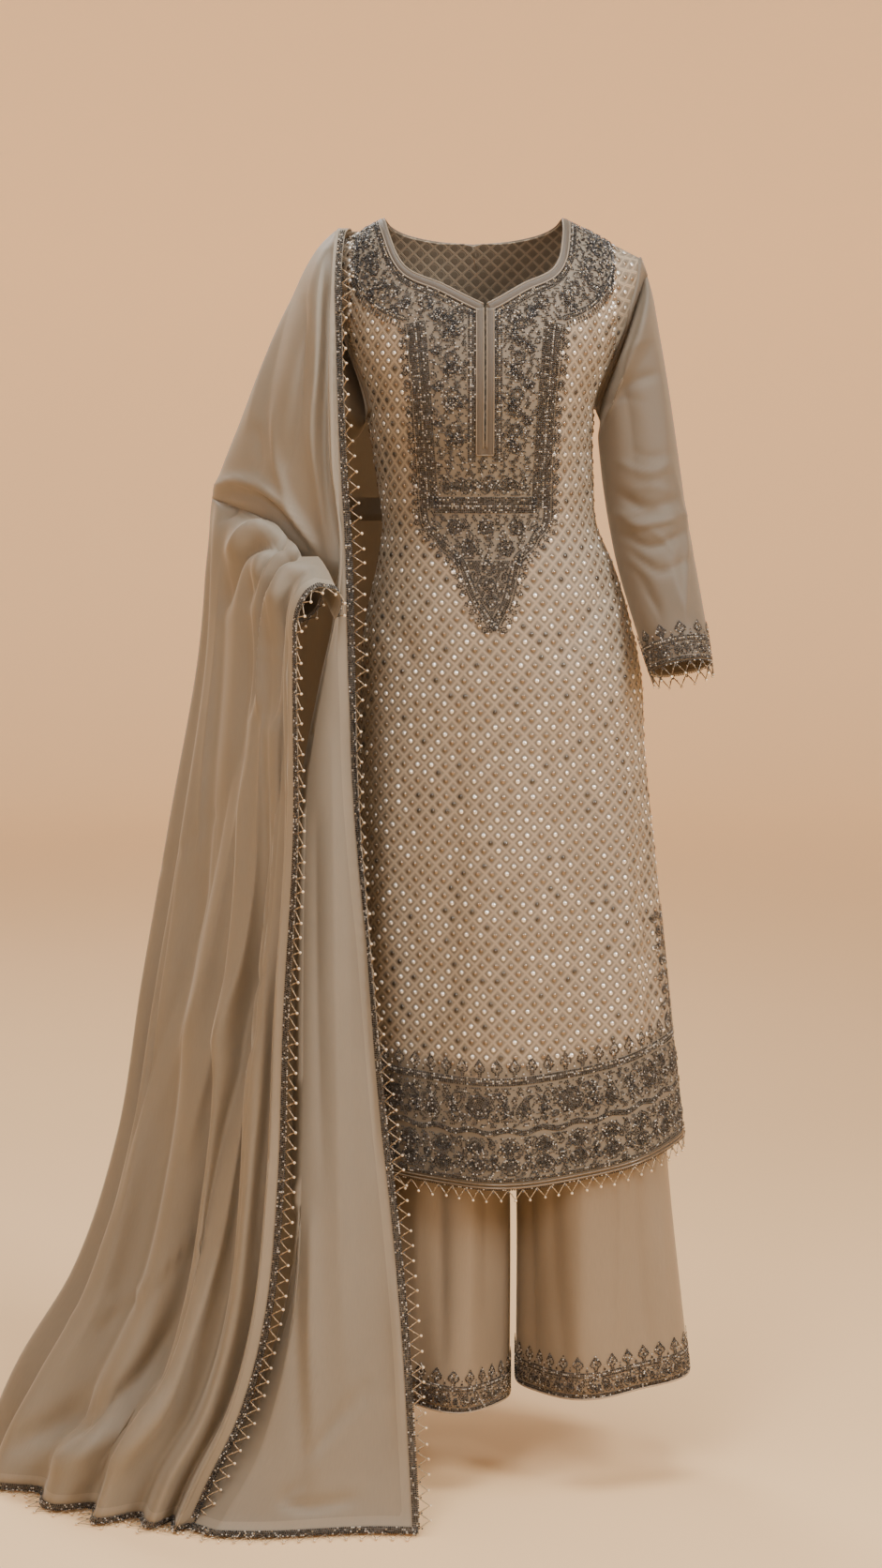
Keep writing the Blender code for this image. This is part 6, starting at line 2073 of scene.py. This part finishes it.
WRAP_CREASES = creases(
    (9, 9, (-190, 1467), (-198, 1409), (-200, 1326), (-204, 1260), (-194, 1186), (-184, 1107)),
    (-9, 8, (-184, 1430), (-186, 1350), (-189, 1280), (-186, 1198), (-172, 1112)),
    (-9, 12, (-215, 1420), (-217, 1350), (-222, 1270), (-236, 1212)),
    (5.1, 6, (-252, 1290), (-250, 1240), (-242, 1205), (-222, 1156), (-200, 1120)),
    (10.5, 8, (-330, 1190), (-307, 1199), (-285, 1200), (-258, 1190), (-239, 1175), (-219, 1151),
     (-196, 1118)),
    (-7.5, 6, (-318, 1184), (-295, 1188), (-271, 1186), (-247, 1170), (-225, 1145), (-203, 1116)),
    (5.4, 12, (-238, 1420), (-262, 1340), (-285, 1257)),
    (-5.4, 10, (-226, 1440), (-250, 1350), (-262, 1280), (-254, 1225)),
    (-4.5, 8, (-275, 1270), (-268, 1230), (-270, 1205)),
)
WRAP_BACK_CREASES = creases(
    (-5, 12, (-170, 1440), (-210, 1340), (-250, 1240), (-275, 1180)),
    (5, 12, (-155, 1400), (-190, 1300), (-220, 1190)),
    (-4, 10, (-140, 1420), (-160, 1300), (-175, 1180)),
)
SKIRT_CREASES = creases(
    (14.7, 8, (-305, 1118), (-284, 1142), (-256, 1150), (-232, 1140), (-212, 1118)),
    (-14.7, 7, (-311, 1050), (-295, 1106), (-274, 1128), (-251, 1136), (-229, 1132), (-208, 1112)),
    (-16, 8, (-277, 940), (-271, 1015), (-263, 1063), (-253, 1099), (-238, 1118), (-220, 1122),
     (-204, 1104)),
    (12.3, 8, (-263, 940), (-257, 1020), (-250, 1070), (-238, 1102), (-220, 1112)),
    (-16, 7, (-250, 930), (-246, 1000), (-239, 1055), (-228, 1092), (-212, 1104)),
    (6.2, 8, (-316, 1100), (-321, 996), (-329, 926), (-337, 849), (-345, 740)),
    (-8.4, 12, (-282, 1040), (-289, 911), (-308, 845), (-327, 755), (-351, 660), (-367, 596), (-403, 505),
     (-420, 430)),
    (7, 10, (-268, 980), (-276, 880), (-292, 800), (-312, 710), (-334, 620), (-360, 540), (-392, 450)),
    (-16, 12, (-234, 1020), (-239, 922), (-246, 847), (-253, 783), (-259, 717), (-268, 650), (-281, 583),
     (-289, 516), (-304, 460), (-321, 386), (-342, 298), (-364, 229), (-400, 160)),
    (12.6, 10, (-252, 1004), (-257, 917), (-261, 832), (-267, 746), (-283, 658), (-301, 603), (-317, 548),
     (-335, 490), (-352, 420)),
    (14, 11, (-268, 560), (-287, 458), (-299, 397), (-313, 329), (-332, 266), (-351, 209), (-369, 158),
     (-391, 118), (-433, 73), (-485, 36)),
    (5.9, 5, (-318, 340), (-366, 299), (-400, 260), (-433, 227), (-473, 210), (-500, 204)),
    (-4.5, 6, (-322, 330), (-370, 289), (-404, 250), (-437, 217), (-476, 200)),
    (-3.4, 4, (-402, 722), (-375, 752), (-345, 785), (-312, 826)),
    (-8.4, 14, (-375, 740), (-395, 620), (-410, 510), (-430, 400), (-450, 310)),
    (9.8, 14, (-410, 480), (-425, 380), (-445, 290), (-475, 205), (-515, 140)),
    (-16, 14, (-590, 45), (-510, 86), (-450, 124), (-400, 166), (-364, 222)),
    (11.2, 12, (-545, 40), (-480, 70), (-428, 98), (-381, 147)),
    (4.8, 8, (-254, 700), (-262, 521), (-272, 438), (-281, 349), (-290, 260), (-305, 188)),
    (-4.2, 7, (-246, 640), (-252, 500), (-262, 400), (-272, 300)),
    (-9.7, 5, (-316, 1156), (-285, 1172), (-252, 1170), (-216, 1150), (-190, 1121)),
    (-10.4, 5, (-252, 1080), (-240, 1112), (-216, 1124), (-196, 1112), (-184, 1092)),
    (-10.4, 5, (-281, 1058), (-267, 1105), (-245, 1133), (-216, 1138), (-190, 1114)),
)
SKIRT_BACK_CREASES = creases(
    (-8, 14, (-250, 1120), (-290, 850), (-330, 550), (-370, 250), (-400, 60)),
    (7, 14, (-210, 1130), (-245, 850), (-275, 550), (-300, 250), (-320, 50)),
    (-8, 13, (-175, 1100), (-190, 800), (-210, 500), (-225, 200), (-235, 50)),
    (6, 14, (-300, 1080), (-345, 800), (-400, 450), (-450, 180)),
    (-4, 6, (-180, 700), (-260, 640), (-340, 520)),
)


def stole_edge(grid, inside, seed, names, band, teeth, nodes=(), on_floor=False):
    """The dupatta's border along a grid's first row: a narrow band of dark beads, then the lace.

    band and teeth say where each starts and how far before the edge's end it stops.
    """
    chart = even_border(grid, np.arange(-0.020, 0.040, 0.002), inside)
    work = Beading(seed)
    marks = np.array([(u, 0.0) for u in np.arange(band[0], chart.across[-1] - band[1], 0.003)])
    for row in range(3):
        work.line(marks + (0, 0.0014 + row * BEAD), DARK_WORK if row != 1 else BRIGHT_LINE)
    work.set_on(f"dupatta_{names[0]}_beads", chart)
    lace = LaceWork(seed + 1)
    lace.edge(chart, *teeth, on_floor=on_floor)
    lace.make(f"dupatta_{names[1]}_lace", "lace", "bead_lace", *nodes)


def fall_piece():
    """The dupatta's fall in front of the body, with its borders."""
    grid = fine_fall(FALL_LINES, FALL_LINE_COLUMNS, FALL_LINE_TURNED)
    flat = flat_of(grid, 37)
    inside = place(-0.17, 0.0, 0.75)
    calm = np.ones(grid.shape[:2])
    calm[:2] = 0
    calm[:, 0] = 0.3
    calm[:, FALL_LINE_COLUMNS + FALL_LINE_TUCK:] = 0
    grid = creased(grid, seen_from_front(grid), FALL_CREASES, inside, calm)
    from_edge = np.minimum(far_in(grid), far_in(grid.transpose(1, 0, 2)).T)
    cloth_piece("dupatta_front_fall_cloth", ("dupatta_front_fall",), "organza", "dupatta_cloth", SHEER,
                grid, flat, inside, None, from_edge, flat=FALL_CUT, held="draped",
                rests_on=["kameez_front_cloth"], area=FALL_AREA)
    stole_edge(grid[:, : FALL_LINE_COLUMNS + 1].transpose(1, 0, 2), inside, 81, ("front_edge", "front"),
               (0.002, 0.052), (0.006, 0.110), ("dupatta_lace_front",))
    stole_edge(grid, place(-0.17, 5.0, 0.05), 83, ("front_floor", "front_floor"), (0.002, 0.004),
               (0.003, 0.004), on_floor=True)


def far_in(grid):
    """How far each point of a grid is from its first column, along its row."""
    return np.array([gone(row) for row in np.asarray(grid)])


FALL_LINE_TUCK = 8
FALL_TUCK_REACH = 0.040
FALL_TUCK_HEIGHT = 0.36
FALL_TUCK_DEEP = 0.036
# The fall lies lower on the shoulder than its solid above this height, by this share of the rest
FALL_TOP_SLACK = (1.490, 0.6)


def fine_fall(lines, columns, turned_columns):
    """The front fall at the visual's own fineness."""
    grid = []
    for i in range(lines + 1):
        along = FRONT_FALL[-1].along * i / lines
        edge, fold, forward, turned_in, height = (
            FALL_AT[name](along) for name in ("edge", "fold", "forward", "turned", "height"))
        height -= FALL_TOP_SLACK[1] * max(height - FALL_TOP_SLACK[0], 0)
        line = []
        for j in range(columns + 1):
            share = j / columns
            wave = math.sin(FALL_PLEAT_TURN * share + FALL_PLEAT_START)
            pleat = FALL_PLEAT * min(abs(fold - edge) / FALL_FULL_WIDTH, 1) * wave
            line.append(place(blend(edge, fold, share), -forward + pleat, height))
        pocket = FALL_POCKET * min(max(turned_in, 0) / FALL_POCKET_FULL, 1) + FALL_LAYER_GAP
        tuck = FALL_TUCK_REACH * (1 - smooth(height / FALL_TUCK_HEIGHT))
        first = line[-1]
        for j in range(1, FALL_LINE_TUCK + 1):
            turn = math.pi * j / FALL_LINE_TUCK
            reach = math.sin(turn / 2) ** 2
            line.append(first + np.array((-tuck * reach, FALL_TUCK_DEEP * reach * min(tuck / 0.01, 1), 0)))
        back = line[-1]
        for j in range(1, turned_columns + 1):
            share = j / turned_columns
            x = fold + turned_in * (share - FALL_LAYER_OVERHANG)
            layer = place(x, -forward + pocket * math.sqrt(share), height)
            line.append(blend(back, layer, smooth(share * 3)) if tuck > 0 else layer)
        grid.append(line)
    return np.array(grid)


# How far the wrap goes on below its solid, inside the fall over the forearm: drop and reach inwards
WRAP_TAIL = ((0.030, 0.034), (0.021, 0.022), (0.013, 0.012), (0.006, 0.004))
# The top of the forearm's fall has closer rows, for its tight folds
SKIRT_FINE = 0.21
SKIRT_TURNED = 0.46
SKIRT_FRONT_COLUMNS = 178
SKIRT_BACK_COLUMNS = 76
SKIRT_FINE_LINES = 58
# How deep the short inner layer hangs at the wrist
INNER_DROP = 0.040


def wrap_piece():
    """The dupatta's stretch over the shoulder and the upper arm."""
    grid = []
    for i in range(WRAP_LINES + 1):
        line = []
        for j in range(WRAP_LINE_COLUMNS + 1):
            share = j / WRAP_LINE_COLUMNS
            behind = smooth(share / WRAP_FRONT_SHARE)
            bottom = blend(WRAP_FRONT_BOTTOM, RIDGE[-1].height + 2 * SEAM, behind)
            height = blend(bottom, WRAP_TOP, i / WRAP_LINES)
            line.append(place(*wrap_point(share, height), height))
        grid.append(line)
    grid = np.array(grid)
    inwards = np.array((-0.21, 0.04, 0)) - grid[0] * (1, 1, 0)
    inwards /= np.linalg.norm(inwards, axis=1)[:, None]
    shares = np.linspace(0, 1, len(inwards))
    inwards *= np.array([[blend(1, 0.1, smooth((share - 0.45) / 0.2))] for share in shares])
    tail = [grid[0] + inwards * reach - (0, 0, drop) for drop, reach in WRAP_TAIL]
    grid = np.concatenate([tail, grid])
    flat = flat_of(grid, 14)
    inside = place(-0.2, 0.03, 1.3)
    calm = np.clip((len(grid) - 1 - np.arange(len(grid))) / 4, 0, 1)[:, None] * np.ones(grid.shape[:2])
    calm[:len(WRAP_TAIL)] = 0
    grid = folded(grid, inside, calm, WRAP_CREASES, WRAP_BACK_CREASES)
    cloth_piece("dupatta_shoulder_wrap_cloth", ("dupatta_shoulder_wrap",), "organza", "dupatta_cloth",
                SHEER, grid, flat, inside, flat=WRAP_CUT, held="draped",
                rests_on=["sleeve_right_cloth", "dupatta_front_fall_cloth"], area=WRAP_AREA)


def skirt_piece():
    """The dupatta's stretch over the forearm, its train and its fall behind, with their borders."""
    columns = np.concatenate([[0.0, 0.003, 0.006], np.linspace(0.0085, SKIRT_TURNED, SKIRT_FRONT_COLUMNS),
                              np.linspace(SKIRT_TURNED, 1.0, SKIRT_BACK_COLUMNS)[1:]])
    drops = np.concatenate([np.linspace(0, SKIRT_FINE, SKIRT_FINE_LINES),
                            np.linspace(SKIRT_FINE, 1.0, SKIRT_LINES)[1:]])
    inner = np.array([[inner_point(along, drop) for along in columns]
                      for drop in np.linspace(INNER_DROP, 0.004, 8)])
    rows = []
    for share in drops:
        line = []
        for along in columns:
            height = blend(RIDGE_AT["height"](along) - SEAM, SKIRT_HEM, share)
            line.append(place(*skirt_point(along, height), height))
        rows.append(line)
    rows = np.array(rows)
    grid = np.concatenate([inner, rows])
    first = len(inner)
    inside = place(-0.2, 0.0, 0.6)
    flat = flat_of(grid, first + len(rows) // 2)
    flat[..., 1] -= flat[first, 0, 1]
    calm = np.clip((flat[..., 1] + 0.004) / 0.014, 0, 1) * np.clip(flat[..., 0] / 0.02, 0.2, 1)
    calm[-2:] = 0
    grid = folded(grid, inside, calm, SKIRT_CREASES, SKIRT_BACK_CREASES)
    grid[..., 2] = np.maximum(grid[..., 2], 0.004 - SHOULDER_MOUNT)
    keep = np.ones((len(grid) - 1, len(columns) - 1), bool)
    keep[:first, columns[1:] > INNER_LEG] = False
    from_floor = far_in(grid[::-1].transpose(1, 0, 2)).T[::-1]
    cloth_piece("dupatta_hanging_cloth", ("dupatta_side_fall", "dupatta_back_fall"), "organza",
                "dupatta_cloth", SHEER, grid, flat, inside, keep, np.minimum(far_in(grid), from_floor),
                flat=SKIRT_CUT, held="draped",
                rests_on=["sleeve_right_cloth", "dupatta_shoulder_wrap_cloth"], area=SKIRT_AREA)
    stole_edge(grid.transpose(1, 0, 2)[:60], inside, 91, ("side_edge", "side"), (0.004, 0.012),
               (0.006, 0.006), ("dupatta_lace_side",))
    stole_edge(grid[::-1], inside, 93, ("floor", "floor"), (0.006, 0.004), (0.004, 0.003), on_floor=True)


# The cut of each sheet that shows, in metres, and its flat area
KAMEEZ_CUT = (0.56, 1.15)
KAMEEZ_AREA = 0.48
SLEEVE_CUT = (0.36, 0.50)
SLEEVE_AREA = 0.135
LEG_CUT = (0.62, 0.94)
LEG_AREA = 0.48
FALL_CUT = (0.35, 1.58)
FALL_AREA = 0.22
WRAP_CUT = (0.40, 0.42)
WRAP_AREA = 0.12
SKIRT_CUT = (1.05, 1.28)
SKIRT_AREA = 1.10


def camera_and_lights(settings):
    data = bpy.data.cameras.new("camera")
    camera = bpy.data.objects.new("camera", data)
    bpy.context.scene.collection.objects.link(camera)
    camera.location = CAMERA_PLACE
    camera.rotation_euler = (math.radians(90 - CAMERA_TILT), 0, 0)
    data.lens = CAMERA_LENS
    data.sensor_width = 36
    data.dof.use_dof = False
    bpy.context.scene.camera = camera
    world = bpy.data.worlds.new("studio")
    world.use_nodes = True
    world.node_tree.nodes["Background"].inputs["Color"].default_value = (1.0, 0.99, 0.97, 1)
    world.node_tree.nodes["Background"].inputs["Strength"].default_value = settings.fill
    bpy.context.scene.world = world
    for name, place_at, turn, size, power in LIGHTS:
        light = bpy.data.lights.new(name, "AREA")
        light.shape = "RECTANGLE"
        light.size, light.size_y = size
        light.energy = power * settings.key
        light.color = (1.0, 0.975, 0.94)
        lamp = bpy.data.objects.new(name, light)
        bpy.context.scene.collection.objects.link(lamp)
        lamp.location = place_at
        lamp.rotation_euler = tuple(math.radians(angle) for angle in turn)


def floor_piece(settings):
    """A pale round floor that curves up all round into a wall. The paper glows more the farther it lies from
    the suit: painted light on the backdrop.
    """
    profile = [(0.0005, 0.0), (0.6, 0.0), (1.4, 0.0), (3.0, 0.0), (5.0, 0.0), (STAGE_FLAT, 0.0)]
    for k in range(1, 17):
        turn = math.pi / 2 * k / 16
        profile.append((STAGE_FLAT + STAGE_CURVE * math.sin(turn), STAGE_CURVE * (1 - math.cos(turn))))
    profile.append((STAGE_FLAT + STAGE_CURVE, STAGE_WALL))
    points, faces = [], []
    for i in range(STAGE_SIDES):
        turn = 2 * math.pi * i / STAGE_SIDES
        c, s = math.cos(turn), math.sin(turn)
        points += [(reach * c, reach * s, z - SHOULDER_MOUNT) for reach, z in profile]
    count = len(profile)
    for i in range(STAGE_SIDES):
        n = (i + 1) % STAGE_SIDES
        faces += [(i * count + j, i * count + j + 1, n * count + j + 1, n * count + j)
                  for j in range(count - 1)]
    made, tree, shader = shader_of("studio_paper", 0.75)
    at = node_of(tree, "TexCoord").outputs["Object"]
    uneven = sums(tree, "MULTIPLY_ADD", noise(tree, at, 3.0), 0.03, 0.985)
    feed(tree, shaded(tree, (*settings.paper, 1), uneven), shader["Base Color"])
    reach = node_of(tree, "VectorMath", {0: at}, operation="LENGTH").outputs["Value"]
    # Painted light: the paper glows from about 2.5 m out, rising to the glow setting on the far wall.
    bright = sums(tree, "MULTIPLY_ADD", reach, 0.18, -0.45, clamp=True)
    feed(tree, sums(tree, "MULTIPLY", bright, settings.glow), shader["Emission Strength"])
    feed(tree, (*settings.paper, 1), shader["Emission Color"])
    paper = new_piece("studio_floor", points, faces, made)


STAGE_FLAT = 6.6
STAGE_CURVE = 1.8
STAGE_WALL = 4.6
STAGE_SIDES = 64
CAMERA_PLACE = (-0.0555, -4.0, -0.18)
CAMERA_TILT = 6.56
CAMERA_LENS = 77.34
# Name, place, turn, size and power of each soft light
LIGHTS = (
    ("key_right", (2.5, -2.1, 1.5), (60, 0, 50), (1.0, 1.5), 135),
    ("front_left", (-1.2, -3.4, 1.6), (60, 0, -20), (1.2, 1.6), 68),
    ("top", (0.0, -0.7, 2.4), (12, 0, 0), (1.8, 1.4), 90),
    ("back_left", (-1.5, 3.2, 1.9), (56, 0, 205), (1.4, 1.4), 70),
)


def colour_setting(name, description, default):
    return bpy.props.FloatVectorProperty(name=name, description=description, default=default,
                                         subtype="COLOR", size=3, min=0, max=1)


def number_setting(name, description, default, low, high):
    return bpy.props.FloatProperty(name=name, description=description, default=default, min=low, max=high)


class KameezSettings(bpy.types.PropertyGroup):
    """What a user may change on the kameez."""

    cloth: colour_setting("Cloth", "Colour of the mirrored cloth", (0.188, 0.156, 0.115))
    thread: colour_setting("Lattice thread", "Colour of the lattice's raised thread", (0.405, 0.325, 0.230))
    binding: colour_setting("Binding", "Colour of the plain bindings", (0.078, 0.064, 0.049))
    sleeve: colour_setting("Sleeve", "Colour of the sheer sleeves", (0.130, 0.105, 0.076))


class TrouserSettings(bpy.types.PropertyGroup):
    """What a user may change on the trousers."""

    satin: colour_setting("Satin", "Colour of the trousers' satin", (0.226, 0.178, 0.125))
    roughness: number_setting("Roughness", "How dull the satin is", 0.42, 0.05, 1)


class DupattaSettings(bpy.types.PropertyGroup):
    """What a user may change on the dupatta."""

    cloth: colour_setting("Cloth", "Colour of the dupatta's organza", (0.234, 0.203, 0.157))
    cover: number_setting("Cover", "How much of what lies behind the organza hides", 0.80, 0.2, 1)


class StageSettings(bpy.types.PropertyGroup):
    """The floor and the light."""

    paper: colour_setting("Paper", "Colour of the floor and backdrop", (0.97, 0.665, 0.365))
    key: number_setting("Key", "Power of the soft lights, as a share of their own", 0.97, 0, 5)
    # The glow is painted light on the far wall.
    glow: number_setting("Glow", "Brightness of the far wall", 0.45, 0, 3)
    fill: number_setting("Fill", "Strength of the light from all round", 0.12, 0, 3)


def make_looks(scene):
    kameez, trousers, dupatta = scene.suit_kameez, scene.suit_trousers, scene.suit_dupatta
    LOOKS.update({
        "mirror_cloth": mirror_cloth_look(tuple(kameez.cloth), tuple(kameez.thread)),
        "plain": cloth_look("plain_binding_cloth", tuple(kameez.binding), roughness=0.55, thread=0.0005,
                            bump=0.25),
        "sheer": cloth_look("sheer_sleeve_cloth", tuple(kameez.sleeve), roughness=0.6, alpha=0.92,
                            sheen=0.4),
        "satin": cloth_look("trouser_satin", tuple(trousers.satin), roughness=trousers.roughness,
                            thread=0.0003, bump=0.06,
                            slub=0.16, sheen=0.15),
        # The organza's mottle is raised to give lighter and darker zones of sheen: painted sheen on top of
        # its random tone.
        "organza": cloth_look("dupatta_organza", tuple(dupatta.cloth), roughness=0.56, alpha=dupatta.cover,
                              sheen=0.4,
                              slub=0.16, mottle_and_sheen=0.18, tape=True),
        "bead": tone_look("beadwork_beads", 0.22, 0.35, 0.5, coat=0.6),
        "mirror": tone_look("mirror_foil", 0.20, 0.55, 0.25, coat=0.6),
        "lace": tone_look("lace_beads", 0.30, 0.25, 0.35, coat=0.5),
        "cord": tone_look("piping_cord", 0.50, 0.05, 0.25),
    })


class SUIT_OT_stage(bpy.types.Operator):
    """Builds the floor, the lights and the camera"""

    bl_idname = "suit.stage"
    bl_label = "Stage"

    def execute(self, context):
        camera_and_lights(context.scene.suit_stage)
        floor_piece(context.scene.suit_stage)
        return {"FINISHED"}


class SUIT_OT_looks(bpy.types.Operator):
    """Makes the suit's materials from its settings"""

    bl_idname = "suit.looks"
    bl_label = "Materials"

    def execute(self, context):
        make_looks(context.scene)
        return {"FINISHED"}


class SUIT_OT_kameez(bpy.types.Operator):
    """Builds the kameez's front and back with their mirrors, and its neck"""

    bl_idname = "suit.kameez"
    bl_label = "Kameez"

    def execute(self, context):
        kameez = Kameez.get()
        for side in ("front", "back"):
            kameez_cloth(side, kameez)
            soft_lattice(side, kameez)
        neck_pieces(kameez)
        return {"FINISHED"}


class SUIT_OT_yoke(bpy.types.Operator):
    """Sews the beaded yoke and bib"""

    bl_idname = "suit.yoke"
    bl_label = "Yoke beading"

    def execute(self, context):
        panel = Kameez.get().panels["front"]
        yoke_beading(panel).set_on("yoke_beads", panel.chart, "yoke_embroidery")
        return {"FINISHED"}


class SUIT_OT_hems(bpy.types.Operator):
    """Sews the kameez's hem borders and laces"""

    bl_idname = "suit.hems"
    bl_label = "Hem borders"

    def execute(self, context):
        for side in ("front", "back"):
            hem_pieces(side, Kameez.get())
        return {"FINISHED"}


class SUIT_OT_sleeves(bpy.types.Operator):
    """Builds both sleeves with their cuffs"""

    bl_idname = "suit.sleeves"
    bl_label = "Sleeves"

    def execute(self, context):
        for sleeve in SLEEVES:
            sleeve_cloth(*sleeve)
        return {"FINISHED"}


class SUIT_OT_trousers(bpy.types.Operator):
    """Builds the trousers with their borders"""

    bl_idname = "suit.trousers"
    bl_label = "Trousers"

    def execute(self, context):
        trouser_pieces()
        waistband_piece()
        return {"FINISHED"}


class SUIT_OT_dupatta(bpy.types.Operator):
    """Builds the dupatta with its borders and laces"""

    bl_idname = "suit.dupatta"
    bl_label = "Dupatta"

    def execute(self, context):
        fall_piece()
        wrap_piece()
        skirt_piece()
        return {"FINISHED"}


SLEEVES = (("left", 1, SLEEVE_LEFT, SLEEVE_LEFT_CREASES), ("right", -1, SLEEVE_RIGHT, SLEEVE_RIGHT_CREASES))

SETTINGS = {"suit_kameez": KameezSettings, "suit_trousers": TrouserSettings, "suit_dupatta": DupattaSettings,
            "suit_stage": StageSettings}
OPERATORS = (SUIT_OT_stage, SUIT_OT_looks, SUIT_OT_kameez, SUIT_OT_yoke, SUIT_OT_hems, SUIT_OT_sleeves,
             SUIT_OT_trousers, SUIT_OT_dupatta)


class SUIT_PT_panel(bpy.types.Panel):
    """The suit's settings and operators in the 3D view's sidebar"""

    bl_idname = "SUIT_PT_panel"
    bl_label = "Salwar kameez suit"
    bl_space_type = "VIEW_3D"
    bl_region_type = "UI"
    bl_category = "Suit"

    def draw(self, context):
        for name, group in SETTINGS.items():
            box = self.layout.box()
            box.label(text=name.replace("suit_", "").title())
            for setting in group.__annotations__:
                box.prop(getattr(context.scene, name), setting)
        for operator in OPERATORS:
            self.layout.operator(operator.bl_idname)


CLASSES = (*SETTINGS.values(), *OPERATORS, SUIT_PT_panel)


def register():
    for cls in CLASSES:
        bpy.utils.register_class(cls)
    for name, group in SETTINGS.items():
        setattr(bpy.types.Scene, name, bpy.props.PointerProperty(type=group))


def unregister():
    for name in SETTINGS:
        delattr(bpy.types.Scene, name)
    for cls in reversed(CLASSES):
        bpy.utils.unregister_class(cls)


def main():
    register()
    bpy.ops.suit.stage()
    bpy.ops.suit.looks()
    bpy.ops.suit.kameez()
    bpy.ops.suit.yoke()
    bpy.ops.suit.hems()
    bpy.ops.suit.sleeves()
    bpy.ops.suit.trousers()
    bpy.ops.suit.dupatta()


if __name__ == "__main__":
    main()
